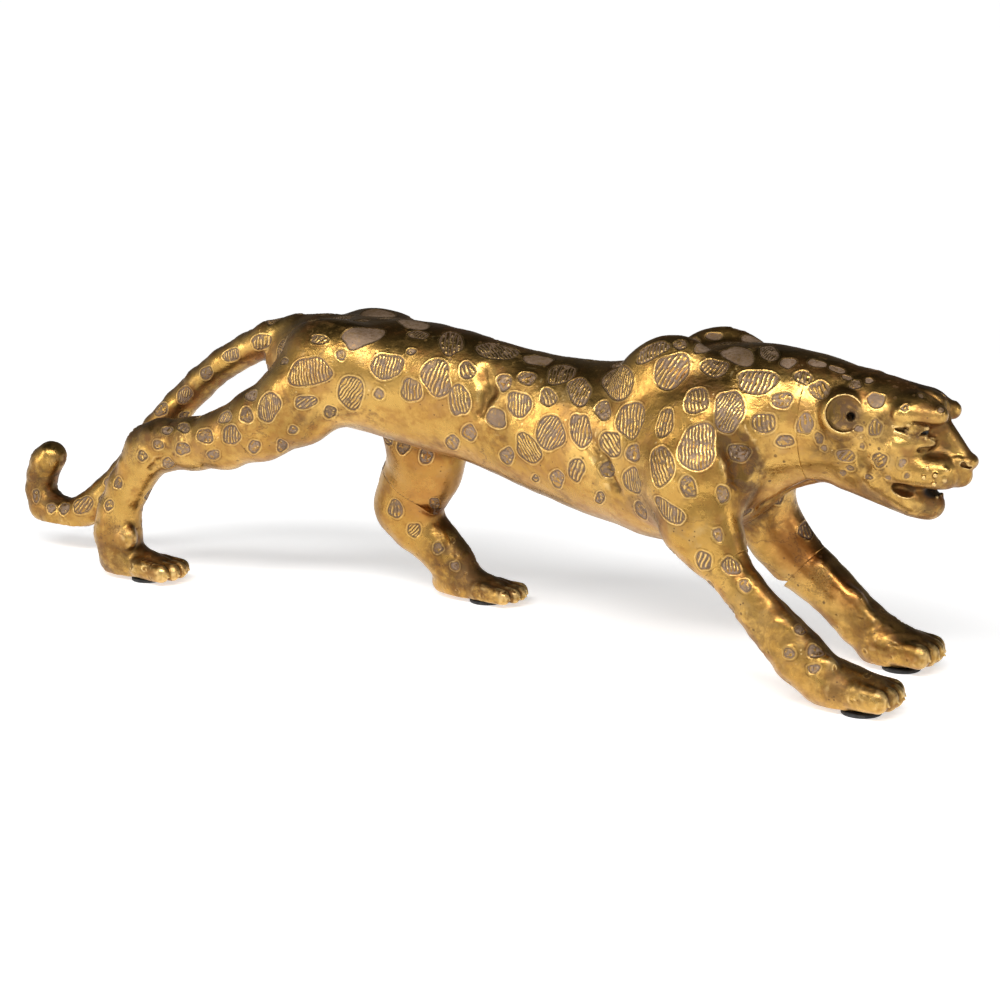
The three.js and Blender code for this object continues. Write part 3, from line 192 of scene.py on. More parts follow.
# spots: centre, normal, long axis, half length, half width, hatch angle, style (0 hatched, 1 curled, 2 plain), seed
SPOTS = [
    [105, -25.4, 163.8, -0.227, -0.734, 0.64, -0.839, -0.186, -0.511, 9.7, 4.9, 165, 0, 1],
    [85.3, -25.7, 147.3, -0.521, -0.74, 0.425, -0.774, 0.62, 0.131, 13.5, 9.1, -156, 0, 2],
    [80.9, -31.1, 132.3, -0.198, -0.88, 0.432, 0.661, -0.445, -0.604, 5.8, 4.4, 33, 1, 3],
    [119.4, -31, 155.9, 0.015, -0.894, 0.447, -0.968, -0.125, -0.218, 9.7, 8.8, 142, 0, 4],
    [119.9, -22.8, 168.3, 0.074, -0.63, 0.773, -0.863, 0.348, 0.367, 3.7, 3, -163, 1, 5],
    [130.5, -18.5, 167.1, 0.471, -0.167, 0.866, 0.026, -0.979, -0.203, 5.2, 3.5, 137, 2, 6],
    [148.2, -15, 164.7, -0.031, -0.469, 0.883, -0.906, 0.385, 0.173, 11, 5.8, 178, 2, 7],
    [162.6, -9.9, 166.7, 0.068, -0.336, 0.939, 0.634, -0.713, -0.301, 7.6, 4.6, 39, 0, 8],
    [175.2, -14.6, 163.1, 0.121, -0.533, 0.837, -0.979, 0.077, 0.19, 4, 3.5, 133, 2, 9],
    [140.3, -24.2, 158.3, 0.208, -0.649, 0.732, -0.957, 0.019, 0.289, 6.7, 5.3, 178, 0, 10],
    [163.9, -25.4, 154.2, 0.131, -0.807, 0.576, -0.99, -0.138, 0.032, 9.6, 6.7, 172, 0, 11],
    [185.5, -19.1, 157.3, 0.168, -0.72, 0.673, -0.907, 0.155, 0.392, 4.41, 3.67, -146, 0, 12],
    [195.4, -20.7, 152.1, 0.081, -0.775, 0.627, -0.834, 0.291, 0.469, 5.57, 4.41, -113, 0, 13],
    [178.3, -27, 146.4, 0.166, -0.924, 0.344, -0.982, -0.188, -0.032, 5.7, 3.7, 140, 1, 14],
    [137.8, -39.1, 144.3, 0.054, -0.828, 0.558, 0.34, -0.51, -0.79, 7.2, 5.8, 89, 0, 15],
    [154.9, -37, 140.8, 0.353, -0.814, 0.461, 0.237, -0.399, -0.886, 10.4, 7, 57, 0, 16],
    [100.3, -36.8, 130.1, -0.301, -0.905, 0.301, -0.905, 0.371, 0.208, 9.7, 8.7, -154, 0, 17],
    [123.2, -43.7, 132.1, -0.182, -0.917, 0.356, 0.11, -0.379, -0.919, 7, 5, 81, 0, 18],
    [143.5, -48.1, 123, 0.238, -0.879, 0.413, 0.16, -0.384, -0.909, 11.5, 9.2, 94, 0, 19],
    [170.9, -30.9, 134.9, 0.341, -0.932, 0.124, -0.935, -0.35, -0.055, 5.6, 5.1, -171, 0, 20],
    [190.9, -26.8, 135.9, 0.154, -0.987, 0.048, -0.252, -0.086, -0.964, 5.43, 3.85, 115, 0, 21],
    [104.8, -42.5, 114.7, -0.346, -0.931, 0.113, -0.92, 0.314, -0.234, 4.9, 4.5, 174, 1, 22],
    [125.7, -52.8, 112.4, -0.289, -0.921, 0.262, 0.435, -0.37, -0.821, 10.5, 7.2, 93, 0, 23],
    [162.6, -38.4, 119.9, 0.634, -0.77, 0.074, -0.77, -0.621, 0.147, 5, 4.4, -159, 1, 24],
    [181, -28, 126.6, 0.196, -0.965, -0.172, -0.973, -0.17, -0.156, 4.5, 3.1, 174, 1, 25],
    [88.9, -37.6, 116.7, -0.18, -0.97, 0.167, -0.982, 0.168, -0.082, 7.1, 6.3, -137, 0, 26],
    [105, -42.4, 100.4, -0.383, -0.912, -0.148, -0.765, 0.403, -0.503, 7.5, 6.2, 154, 0, 27],
    [142.4, -54.9, 104.2, 0.245, -0.967, 0.062, 0.283, 0.01, -0.959, 5.6, 3.8, 105, 1, 28],
    [157.1, -46, 100.7, 0.751, -0.657, 0.07, 0.122, 0.034, -0.992, 4.2, 3.4, 66, 1, 29],
    [131.6, -54.8, 90.8, -0.272, -0.961, -0.058, -0.889, 0.228, 0.398, 9.4, 4.7, -153, 0, 30],
    [106.6, -36.6, 84, -0.288, -0.795, -0.534, -0.379, 0.607, -0.699, 7.7, 3.8, 126, 1, 31],
    [165.3, 33.9, 67.2, 0.833, -0.137, 0.536, 0.012, -0.964, -0.265, 5.3, 4.6, 146, 0, 32],
    [205.5, -12, 158.1, 0.144, -0.543, 0.827, -0.986, -0.006, 0.168, 2.79, 1.47, -178, 2, 33],
    [197.7, -25.1, 129.4, 0.109, -0.969, -0.222, -0.082, -0.232, 0.969, 2.99, 1.98, -69, 1, 34],
    [210.1, -20.6, 121.1, 0.116, -0.903, -0.415, -0.976, -0.026, -0.217, 4.43, 3.72, 133, 0, 35],
    [122.7, 8.7, 168.3, -0.076, -0.605, 0.792, -0.991, 0.133, 0.007, 4.8, 2.4, 172, 2, 36],
    [188.7, -10.2, 163.2, 0.179, -0.418, 0.891, -0.984, -0.088, 0.157, 5.12, 2.51, -172, 2, 37],
    [199, -9.4, 161, 0.231, -0.407, 0.884, -0.968, -0.187, 0.167, 4.24, 2.08, -142, 2, 38],
    [-6.5, -22.4, 143.4, 0.147, -0.848, 0.509, -0.917, 0.076, 0.391, 5, 4.3, -118, 0, 39],
    [-8.2, -27.7, 128, 0.09, -0.987, 0.132, 0.245, -0.107, -0.964, 8.7, 5.9, 91, 0, 40],
    [4.1, -9.5, 153.2, 0.176, -0.425, 0.888, -0.982, -0.016, 0.186, 11.9, 6.4, -124, 0, 41],
    [16.1, -21.8, 139.1, 0.056, -0.862, 0.504, 0.573, -0.386, -0.723, 5, 3.9, 80, 1, 42],
    [14.7, -27.4, 120.7, -0.014, -0.996, 0.084, -0.985, 0.028, 0.17, 6.6, 4.7, -165, 2, 43],
    [28.6, -19.3, 142, 0.021, -0.775, 0.632, -0.978, 0.114, 0.172, 5.2, 3.7, -143, 1, 44],
    [27.9, -26.1, 129.2, -0.033, -0.95, 0.311, -0.994, 0.063, 0.088, 7.7, 6.2, -165, 0, 45],
    [28.8, -8.5, 150.5, 0.067, -0.384, 0.921, -0.992, 0.076, 0.103, 8.7, 4.4, -114, 2, 46],
    [47, -15.6, 145.8, -0.02, -0.613, 0.79, -0.979, -0.147, -0.139, 8.4, 6.5, 179, 0, 47],
    [44.7, -24.8, 134.4, -0.063, -0.877, 0.476, -0.914, 0.242, 0.325, 5.5, 4.4, -125, 0, 48],
    [62.4, -23.5, 139.1, -0.105, -0.778, 0.619, 0.753, -0.469, -0.462, 8.9, 6.3, 33, 0, 49],
    [49.6, -30.9, 117, -0.142, -0.98, 0.138, 0.466, -0.189, -0.864, 9.3, 8.8, 30, 0, 50],
    [68.8, -33.2, 121, -0.164, -0.954, 0.25, 0.246, -0.284, -0.927, 8.8, 6.1, 73, 0, 51],
    [35.3, -29, 106.7, -0.143, -0.983, -0.116, -0.882, 0.074, 0.465, 9.1, 6.8, -118, 0, 52],
    [20.2, -25.4, 100.6, -0.13, -0.942, -0.308, -0.687, 0.31, -0.657, 6, 4, 155, 1, 53],
    [67.2, -34.2, 100.2, -0.202, -0.966, -0.159, 0.555, -0.247, 0.794, 6.8, 5, -83, 0, 54],
    [52.7, -28.7, 92.7, -0.21, -0.908, -0.363, -0.639, 0.409, -0.652, 6.8, 4, 118, 1, 55],
    [-2.8, -26.5, 110.7, -0.02, -0.971, -0.238, 0.658, -0.192, 0.728, 5.3, 4, -58, 1, 56],
    [36.5, -23.9, 89.9, -0.195, -0.857, -0.477, -0.638, 0.48, -0.602, 3.8, 1.9, 145, 1, 57],
    [80.4, -32.3, 86.7, -0.192, -0.879, -0.437, 0.54, -0.466, 0.701, 4.9, 2.6, -52, 1, 58],
    [87.1, -38.2, 103.2, -0.17, -0.983, -0.063, -0.804, 0.176, -0.569, 4.9, 4, 96, 1, 59],
    [-93.7, -45.3, 137.7, 0.075, -0.978, 0.195, -0.952, -0.129, -0.279, 12.4, 8.2, 174, 0, 60],
    [-69.8, -27.4, 157.4, 0.339, -0.495, 0.8, -0.6, -0.768, -0.221, 11, 7.3, -172, 2, 61],
    [-91.7, -37.4, 154.7, 0.065, -0.795, 0.604, -0.996, -0.093, -0.015, 5.5, 2.7, 141, 0, 62],
    [-76.9, -38, 147.4, 0.3, -0.875, 0.381, -0.841, -0.054, 0.538, 2.9, 2.7, -161, 1, 63],
    [-52.1, -30.6, 142.6, 0.293, -0.87, 0.396, -0.956, -0.267, 0.12, 8.9, 6.8, 180, 0, 64],
    [-70.6, -38.1, 127.3, 0.306, -0.935, -0.177, 0.44, -0.026, 0.898, 9.2, 7.3, -104, 0, 65],
    [-95.3, -45.4, 121.1, 0.323, -0.938, -0.126, -0.939, -0.301, -0.164, 6.6, 3.4, 122, 0, 66],
    [-118.3, -49.2, 116.6, -0.105, -0.993, 0.05, -0.513, 0.011, -0.858, 8.8, 7, 131, 0, 67],
    [-134.1, -48.5, 110.5, -0.051, -0.967, 0.249, -0.985, 0.089, 0.145, 4.7, 4.1, 168, 1, 68],
    [-99.6, -3.1, 161.6, -0.033, -0.027, 0.999, -0.437, 0.899, 0.01, 9.7, 4.8, -72, 0, 69],
    [-89.3, 13.9, 162.5, 0.012, -0.135, 0.991, -1, 0.014, 0.014, 10.6, 7.6, 149, 2, 70],
    [-53.5, -3.4, 162.7, 0.033, -0.117, 0.993, -0.899, 0.431, 0.081, 11.6, 6.4, -129, 2, 71],
    [-42.8, -14.4, 158.5, 0.09, -0.479, 0.873, -0.994, 0.008, 0.107, 6.3, 3.2, 169, 0, 72],
    [-22.5, -13.3, 156.3, 0.142, -0.51, 0.849, -0.686, 0.567, 0.455, 9.6, 6.3, -112, 0, 73],
    [-41.3, -23.6, 150.7, 0.117, -0.764, 0.635, -0.993, -0.073, 0.095, 2.7, 1.8, 163, 1, 74],
    [-23.1, -27.1, 138.8, 0.144, -0.929, 0.341, 0.443, -0.248, -0.861, 9.8, 8.5, 54, 0, 75],
    [-55.2, -33.9, 127.6, 0.266, -0.96, -0.089, 0.442, 0.039, 0.896, 3.1, 2.8, -84, 1, 76],
    [-36.5, -30.9, 131.1, 0.134, -0.985, 0.112, -0.098, -0.126, -0.987, 6.4, 5.9, 98, 0, 77],
    [-113.2, -40.6, 141.2, -0.352, -0.816, 0.458, -0.936, 0.303, -0.178, 3.9, 2, 157, 1, 78],
    [-133.9, -43.8, 120.9, -0.327, -0.786, 0.524, -0.925, 0.38, -0.008, 5.7, 3.1, -175, 1, 79],
    [-145.1, -48.2, 98, -0.136, -0.987, -0.087, -0.924, 0.158, -0.347, 7.5, 5, 155, 0, 80],
    [-165.3, -46.9, 95.1, -0.166, -0.967, 0.195, -0.984, 0.149, -0.1, 6.6, 4.2, 170, 1, 81],
    [-182.6, -45.4, 85.5, -0.014, -0.999, -0.05, -0.986, 0.023, -0.165, 5.5, 3.5, -179, 1, 82],
    [-184.3, -41.9, 97.3, -0.138, -0.793, 0.593, -0.962, 0.25, 0.111, 5.1, 3, -159, 1, 83],
    [-151.2, -45.5, 107.1, -0.343, -0.864, 0.368, -0.933, 0.267, -0.242, 6.3, 3.2, 155, 0, 84],
    [-196.8, -41, 94.1, -0.174, -0.802, 0.571, -0.965, 0.254, 0.063, 4.4, 2.4, -165, 1, 85],
    [-213.5, -43.8, 77.7, 0.022, -0.989, -0.144, -0.691, 0.089, -0.717, 3.8, 2.9, 101, 1, 86],
    [-201.4, -43.8, 85.5, 0.034, -0.993, 0.11, -0.986, -0.052, -0.16, 3.6, 2.6, 175, 1, 87],
    [-241.7, -41.6, 45.1, 0.039, -0.992, 0.122, -0.799, -0.104, -0.592, 3.4, 3.1, 143, 1, 88],
    [-234.1, -41.6, 59.1, -0.014, -0.996, 0.09, -0.214, -0.085, -0.973, 3.5, 3, 79, 1, 89],
    [-130.5, -46.6, 92.6, 0.22, -0.88, -0.421, 0.566, -0.236, 0.79, 4.8, 3.3, -84, 1, 90],
    [-116.1, -40.2, 93.6, 0.34, -0.614, -0.713, 0.487, -0.533, 0.691, 5.7, 3, -76, 1, 91],
    [-197.1, -40.7, 74.4, 0.104, -0.801, -0.589, -0.769, 0.311, -0.558, 5.5, 3.2, 105, 1, 92],
    [-159.7, -46.4, 84.8, 0.073, -0.939, -0.337, -0.949, 0.039, -0.314, 4.7, 2.8, 169, 1, 93],
    [-84.3, -38.6, 115.6, 0.368, -0.767, -0.526, 0.503, -0.312, 0.806, 4.5, 3.5, -77, 1, 94],
    [-104.5, -45.3, 104.7, 0.305, -0.849, -0.433, 0.549, -0.215, 0.808, 3.2, 2.4, -49, 1, 95],
    [-152.1, -10.3, 144.2, -0.007, -0.999, -0.031, -0.957, 0.015, -0.29, 7.8, 3.9, 153, 0, 96],
    [-174.7, -9.2, 134.6, -0.067, -0.998, -0.017, -0.927, 0.069, -0.369, 6.8, 3.4, 160, 0, 97],
    [-209.9, -9.3, 108, 0.062, -0.995, -0.081, -0.827, -0.005, -0.562, 6.5, 4.1, 137, 0, 98],
    [-228.7, -8.7, 97.8, -0.313, -0.91, 0.273, -0.895, 0.186, -0.406, 6.7, 3.8, 166, 1, 99],
    [-316.3, -9.9, 27.7, 0.119, -0.885, 0.45, 0.661, -0.268, -0.701, 3.3, 2.7, 37, 1, 100],
    [-306.5, -9, 28.8, -0.092, -0.851, 0.517, -0.922, 0.269, 0.278, 4.5, 3.6, -163, 1, 101],
    [-290.6, -9.7, 32.7, 0.018, -0.99, 0.14, -0.928, -0.069, -0.367, 7.6, 4.9, 121, 0, 102],
    [-328.6, -9.5, 33.7, 0.218, -0.938, 0.27, 0.187, -0.231, -0.955, 3.7, 2.4, 43, 1, 103],
    [-193.2, -9.2, 122.5, -0.007, -0.999, -0.048, -0.875, 0.029, -0.482, 5.2, 3.2, 159, 1, 104],
    [150.6, -53.3, 67.7, 0.013, -0.973, -0.232, 0.008, -0.232, 0.973, 5.3, 4, -113, 0, 105],
    [164.5, -50.5, 66.4, 0.464, -0.817, 0.342, 0.681, 0.082, -0.728, 4.9, 3.9, 51, 0, 106],
    [200.5, -47.9, 37.9, 0.55, -0.45, 0.704, -0.252, -0.893, -0.374, 3.1, 2.5, 116, 1, 107],
    [209.9, -49.2, 29.6, 0.613, -0.542, 0.576, -0.779, -0.535, 0.326, 4.2, 3.2, 179, 1, 108],
    [198.9, -55.2, 28.9, 0.094, -0.953, 0.29, -0.985, -0.131, -0.114, 3, 2.6, 179, 1, 109],
    [211.3, -53.1, 22.3, 0.333, -0.866, 0.373, -0.923, -0.38, -0.056, 3.1, 2.2, 179, 1, 110],
    [172.4, -50.6, 57.5, 0.441, -0.795, 0.417, 0.574, -0.108, -0.812, 3.2, 2.7, 79, 1, 111],
    [170.1, -31.9, 42.7, -0.37, 0.893, -0.258, 0.113, -0.232, -0.966, 2.7, 2.5, -111, 1, 112],
    [157.3, -51, 81.2, 0.551, -0.809, 0.206, 0.257, -0.071, -0.964, 3.4, 2.4, 80, 1, 113],
    [-79.7, 15.6, 51.5, 0.029, -0.986, -0.164, 0.422, -0.137, 0.896, 6.2, 4.5, -71, 0, 114],
    [-70.1, 20.3, 39.5, 0.345, -0.934, -0.093, 0.232, -0.011, 0.973, 4.5, 3.7, -126, 0, 115],
    [-52.8, 7.3, 86.6, 0.343, -0.937, -0.057, 0.332, 0.064, 0.941, 4.4, 3.9, -84, 1, 116],
    [-66.6, 5.1, 91.1, -0.067, -0.977, -0.204, -0.721, 0.189, -0.667, 5.3, 3.9, 133, 1, 117],
    [-15.8, -23, 103.2, -0.044, -0.856, -0.515, -0.682, 0.402, -0.61, 6.5, 3.7, 157, 1, 118],
    [-56.3, 21.3, 56.1, 0.564, -0.522, -0.639, 0.3, -0.591, 0.748, 5.7, 2.8, -148, 1, 119],
    [-56.4, 24.2, 30, 0.384, -0.909, 0.161, -0.797, -0.415, -0.439, 2.9, 2.8, 178, 1, 120],
    [-46.4, 26.4, 20.4, 0.463, -0.87, 0.169, -0.878, -0.476, -0.043, 2.5, 2.3, 177, 1, 121],
    [223.3, -17.4, 149.4, 0.145, -0.802, 0.579, -0.032, -0.589, -0.808, 4.1, 4, 77, 2, 122],
    [210.8, -14.4, 155.5, 0.099, -0.622, 0.777, -0.927, -0.34, -0.155, 3.1, 2.73, 162, 0, 123],
    [216.4, -10.5, 157.4, 0.249, -0.478, 0.842, -0.821, -0.565, -0.078, 2.2, 1.8, 163, 2, 124],
    [225, -21.6, 136.6, 0.146, -0.987, 0.07, -0.317, -0.113, -0.942, 4.1, 3.1, 113, 0, 125],
    [217.4, -22.8, 135.5, 0.401, -0.915, 0.033, -0.906, -0.392, 0.16, 2.1, 1.5, 150, 2, 126],
    [218.4, -20.9, 127, 0.24, -0.922, -0.305, 0.184, -0.265, 0.946, 1.7, 1.2, -111, 1, 127],
    [227.1, -20.2, 120.9, -0.161, -0.974, -0.16, 0.708, -0.227, 0.669, 4.4, 3.5, -96, 0, 128],
    [239, -20.3, 120.8, 0.286, -0.942, 0.177, -0.217, -0.244, -0.945, 2.1, 1.7, 88, 1, 129],
    [241.5, -19.7, 114.7, 0.328, -0.916, -0.229, 0.146, -0.19, 0.971, 1.6, 1.4, -94, 1, 130],
    [231.5, -18.8, 112.3, -0.23, -0.869, -0.439, -0.754, 0.444, -0.484, 2.1, 1.3, 148, 2, 131],
    [220.3, -16.8, 111.1, -0.354, -0.935, 0.014, -0.935, 0.353, -0.006, 2.5, 1.3, -170, 1, 132],
    [206.7, -15.8, 111.4, 0.117, -0.869, -0.482, 0.674, -0.287, 0.68, 1.97, 1.69, -88, 1, 133],
    [238.9, -19.2, 147.4, 0.226, -0.813, 0.536, -0.657, -0.534, -0.533, 1.9, 1.8, 104, 1, 134],
    [253.9, -11.2, 146.6, 0.538, -0.524, 0.661, -0.082, -0.812, -0.578, 1.8, 1.4, 104, 1, 135],
    [243.4, -10.8, 152.3, 0.328, -0.314, 0.891, 0.416, -0.799, -0.434, 1.7, 1.4, 9, 2, 136],
    [199.8, -23.6, 124.4, 0.212, -0.936, -0.28, 0.404, -0.177, 0.898, 1.62, 1.39, -90, 1, 137],
    [210.8, -16.9, 114.5, 0.121, -0.86, -0.496, 0.779, -0.228, 0.585, 1.99, 1.74, -17, 1, 138],
    [106.1, 23.4, 161.8, -0.42, 0.672, 0.61, -0.781, 0.076, -0.62, 9.7, 4.9, 64, 0, 500],
    [86, 23.2, 144.8, -0.241, 0.688, 0.685, -0.819, -0.522, 0.237, 13.5, 9.1, 85, 0, 501],
    [120.2, 22.7, 168.4, -0.154, 0.644, 0.75, -0.849, -0.475, 0.233, 3.7, 3, 113, 1, 504],
    [131, 20.2, 170.7, 0.102, 0.449, 0.887, -0.001, 0.892, -0.452, 5.2, 3.5, 2, 2, 505],
    [148.5, 14.8, 165.2, 0.209, 0.297, 0.932, -0.886, -0.346, 0.309, 11, 5.8, 74, 2, 506],
    [175.4, 14.7, 162.7, 0.122, 0.54, 0.833, -0.978, -0.075, 0.192, 4, 3.5, 15, 2, 508],
    [163.4, 25.4, 154.2, 0.127, 0.811, 0.571, -0.99, 0.135, 0.03, 9.6, 6.7, 5, 0, 510],
    [184.9, 19, 157.4, 0.164, 0.717, 0.677, -0.908, -0.159, 0.388, 4.4, 3.7, 65, 0, 511],
    [195.1, 20.8, 152, 0.17, 0.808, 0.564, -0.82, -0.202, 0.535, 5.6, 4.4, 32, 0, 512],
    [177.8, 27, 146.5, 0.165, 0.927, 0.336, -0.982, 0.186, -0.033, 5.7, 3.7, 4, 1, 513],
    [138.2, 39.3, 144.2, 0.068, 0.861, 0.505, 0.336, 0.456, -0.824, 7.2, 5.8, 88, 0, 514],
    [155, 37, 140.6, 0.372, 0.806, 0.461, 0.236, 0.398, -0.886, 10.4, 7, 67, 0, 515],
    [100.5, 36.4, 130.3, -0.313, 0.865, 0.393, -0.892, -0.41, 0.191, 9.7, 8.7, 80, 0, 516],
    [122.8, 43.7, 131.8, -0.168, 0.939, 0.3, 0.121, 0.322, -0.939, 7, 5, 76, 0, 517],
    [143, 45.7, 122.6, 0.157, 0.981, 0.118, 0.119, 0.1, -0.988, 11.5, 9.2, 89, 0, 518],
    [170.6, 31, 134.6, 0.346, 0.932, 0.11, -0.934, 0.353, -0.055, 5.6, 5.1, -12, 0, 519],
    [191.2, 26.7, 135.8, 0.19, 0.98, 0.053, -0.249, 0.101, -0.963, 5.4, 3.9, 17, 0, 520],
    [105.2, 42.4, 114.9, -0.326, 0.939, 0.106, -0.927, -0.296, -0.232, 4.9, 4.5, 57, 1, 521],
    [162.4, 38.5, 120.2, 0.593, 0.804, 0.035, -0.799, 0.583, 0.146, 5, 4.4, 70, 1, 523],
    [181, 28, 126.6, 0.194, 0.967, -0.169, -0.973, 0.168, -0.156, 4.5, 3.1, 87, 1, 524],
    [88.9, 37.6, 116.7, -0.172, 0.971, 0.167, -0.984, -0.161, -0.081, 7.1, 6.3, 90, 0, 525],
    [105.4, 42.3, 101, -0.289, 0.947, -0.138, -0.794, -0.318, -0.518, 7.5, 6.2, 89, 0, 526],
    [155.1, 41.5, 100.9, 0.506, 0.852, -0.132, 0.04, -0.176, -0.984, 4.2, 3.4, -21, 1, 528],
    [205.4, 12.1, 157.8, 0.138, 0.557, 0.819, -0.986, 0.004, 0.164, 2.8, 1.5, -8, 2, 532],
    [198.2, 25.2, 129.8, 0.136, 0.97, -0.2, -0.085, 0.212, 0.973, 3, 2, -27, 1, 533],
    [210.2, 20.6, 121.2, 0.1, 0.902, -0.42, -0.978, 0.011, -0.21, 4.4, 3.7, 94, 0, 534],
    [122.6, -9.9, 166.8, 0.175, 0.621, 0.764, -0.979, 0.023, 0.205, 4.8, 2.4, 23, 2, 535],
    [188.6, 10.3, 163, 0.176, 0.415, 0.893, -0.984, 0.087, 0.154, 5.1, 2.5, 104, 2, 536],
    [-6.2, 22, 143.7, 0.149, 0.843, 0.517, -0.918, -0.078, 0.39, 5, 4.3, 95, 0, 538],
    [-8.2, 27.7, 127.4, 0.088, 0.99, 0.113, 0.243, 0.088, -0.966, 8.7, 5.9, -22, 0, 539],
    [15.8, 21.6, 139.4, 0.058, 0.857, 0.513, 0.573, 0.392, -0.72, 5, 3.9, 91, 1, 541],
    [14.6, 27.4, 120.2, -0.015, 0.997, 0.07, -0.985, -0.027, 0.17, 6.6, 4.7, 50, 2, 542],
    [29, 19.2, 141.9, 0.02, 0.775, 0.632, -0.978, -0.115, 0.171, 5.2, 3.7, 85, 1, 543],
    [27.8, 26.2, 128.6, -0.036, 0.954, 0.296, -0.994, -0.064, 0.088, 7.7, 6.2, 19, 0, 544],
    [47, 15.5, 145.6, -0.02, 0.616, 0.788, -0.979, 0.147, -0.139, 8.4, 6.5, 105, 0, 546],
    [44.6, 24.6, 134.4, -0.062, 0.879, 0.473, -0.914, -0.24, 0.326, 5.5, 4.4, 68, 0, 547],
    [62.6, 23.4, 139, -0.105, 0.779, 0.618, 0.753, 0.468, -0.462, 8.9, 6.3, 73, 0, 548],
    [49.4, 30.7, 116.6, -0.143, 0.982, 0.127, 0.468, 0.179, -0.866, 9.3, 8.8, 29, 0, 549],
    [68.6, 32.9, 121.4, -0.164, 0.954, 0.252, 0.246, 0.286, -0.926, 8.8, 6.1, 139, 0, 550],
    [20.6, 25.5, 100.7, -0.132, 0.941, -0.311, -0.687, -0.313, -0.656, 6, 4, 13, 1, 552],
    [67.1, 33.9, 99.8, -0.205, 0.965, -0.167, 0.554, 0.254, 0.793, 6.8, 5, 107, 0, 553],
    [53, 28.7, 92.6, -0.212, 0.907, -0.363, -0.639, -0.41, -0.651, 6.8, 4, 78, 1, 554],
    [-2.2, 26.5, 110.6, -0.021, 0.972, -0.235, 0.658, 0.19, 0.728, 5.3, 4, 27, 1, 555],
    [36.2, 23.9, 90.2, -0.195, 0.855, -0.48, -0.637, -0.482, -0.601, 3.8, 1.9, 82, 1, 556],
    [80.6, 32.4, 86.6, -0.193, 0.873, -0.448, 0.538, 0.475, 0.696, 4.9, 2.6, 90, 1, 557],
    [86.6, 38, 103.4, -0.172, 0.984, -0.056, -0.804, -0.173, -0.569, 4.9, 4, 102, 1, 558],
    [-93, 40, 138, -0.048, 0.999, 0.017, -0.957, -0.041, -0.286, 12.4, 8.2, -3, 0, 559],
    [-69.4, 27.4, 157.1, 0.363, 0.472, 0.803, -0.589, 0.785, -0.195, 11, 7.3, 5, 2, 560],
    [-77.5, 37.6, 147.1, 0.178, 0.933, 0.313, -0.855, -0.01, 0.518, 2.9, 2.7, 73, 1, 562],
    [-51.9, 30.4, 142.5, 0.307, 0.868, 0.391, -0.952, 0.28, 0.126, 8.9, 6.8, 18, 0, 563],
    [-70.5, 37.7, 127.3, 0.174, 0.969, -0.175, 0.45, 0.08, 0.889, 9.2, 7.3, -24, 0, 564],
    [-43, 14.2, 158.4, 0.088, 0.472, 0.877, -0.994, -0.009, 0.104, 6.3, 3.2, 64, 0, 571],
    [-22.6, 13, 156.2, 0.142, 0.504, 0.852, -0.687, -0.57, 0.451, 9.6, 6.3, -7, 0, 572],
    [-41.2, 23.2, 150.8, 0.117, 0.759, 0.641, -0.993, 0.073, 0.095, 2.7, 1.8, 71, 1, 573],
    [-22.8, 26.9, 139, 0.147, 0.93, 0.337, 0.442, 0.243, -0.863, 9.8, 8.5, 8, 0, 574],
    [-55.1, 33.8, 127.5, 0.261, 0.961, -0.097, 0.444, -0.031, 0.895, 3.1, 2.8, 69, 1, 575],
    [-37, 30.9, 131, 0.134, 0.985, 0.108, -0.099, 0.121, -0.988, 6.4, 5.9, 102, 0, 576],
    [-112, 36.4, 140.8, -0.343, 0.938, 0.054, -0.927, -0.329, -0.18, 3.9, 2, -24, 1, 577],
    [-83.8, 35.2, 117.2, -0.002, 0.857, -0.515, 0.508, 0.444, 0.738, 4.5, 3.5, 0, 1, 593],
    [-65.3, -4.6, 96.8, -0.166, -0.129, -0.978, -0.973, -0.143, 0.184, 5.3, 3.9, -9, 1, 616],
    [-15.4, 22.9, 103.2, -0.049, 0.852, -0.521, -0.682, -0.41, -0.606, 6.5, 3.7, 27, 1, 617],
    [223.3, 17.5, 149.1, 0.141, 0.818, 0.558, -0.036, 0.568, -0.822, 4.1, 4, 80, 2, 621],
    [216.3, 10.7, 157.2, 0.27, 0.481, 0.834, -0.817, 0.573, -0.065, 2.2, 1.8, 53, 2, 623],
    [224.6, 21.6, 137, 0.132, 0.988, 0.079, -0.316, 0.118, -0.941, 4.1, 3.1, -4, 0, 624],
    [217.5, 22.8, 135.8, 0.459, 0.888, 0.025, -0.879, 0.449, 0.162, 2.1, 1.5, 95, 2, 625],
    [218.1, 20.8, 126.7, 0.249, 0.912, -0.325, 0.189, 0.283, 0.94, 1.7, 1.2, 81, 1, 626],
    [227, 20.2, 121.4, -0.148, 0.978, -0.145, 0.711, 0.207, 0.672, 4.4, 3.5, -14, 0, 627],
    [239, 20.4, 120.2, 0.268, 0.943, 0.195, -0.214, 0.256, -0.943, 2.1, 1.7, -10, 1, 628],
    [241.1, 19.7, 114.4, 0.326, 0.915, -0.237, 0.149, 0.198, 0.969, 1.6, 1.4, 82, 1, 629],
    [231.8, 18.6, 112, -0.247, 0.836, -0.489, -0.742, -0.488, -0.459, 2.1, 1.3, 2, 2, 630],
    [219.8, 16.4, 110.6, -0.393, 0.919, 0.028, -0.919, -0.393, -0.007, 2.5, 1.3, 100, 1, 631],
    [206.6, 15.9, 111.4, 0.122, 0.873, -0.473, 0.673, 0.278, 0.686, 2, 1.7, -32, 1, 632],
    [239, 19.5, 146.9, 0.276, 0.815, 0.51, -0.652, 0.549, -0.523, 1.9, 1.8, 97, 1, 633],
    [254.2, 11.4, 146.2, 0.544, 0.582, 0.604, -0.125, 0.769, -0.627, 1.8, 1.4, 71, 1, 634],
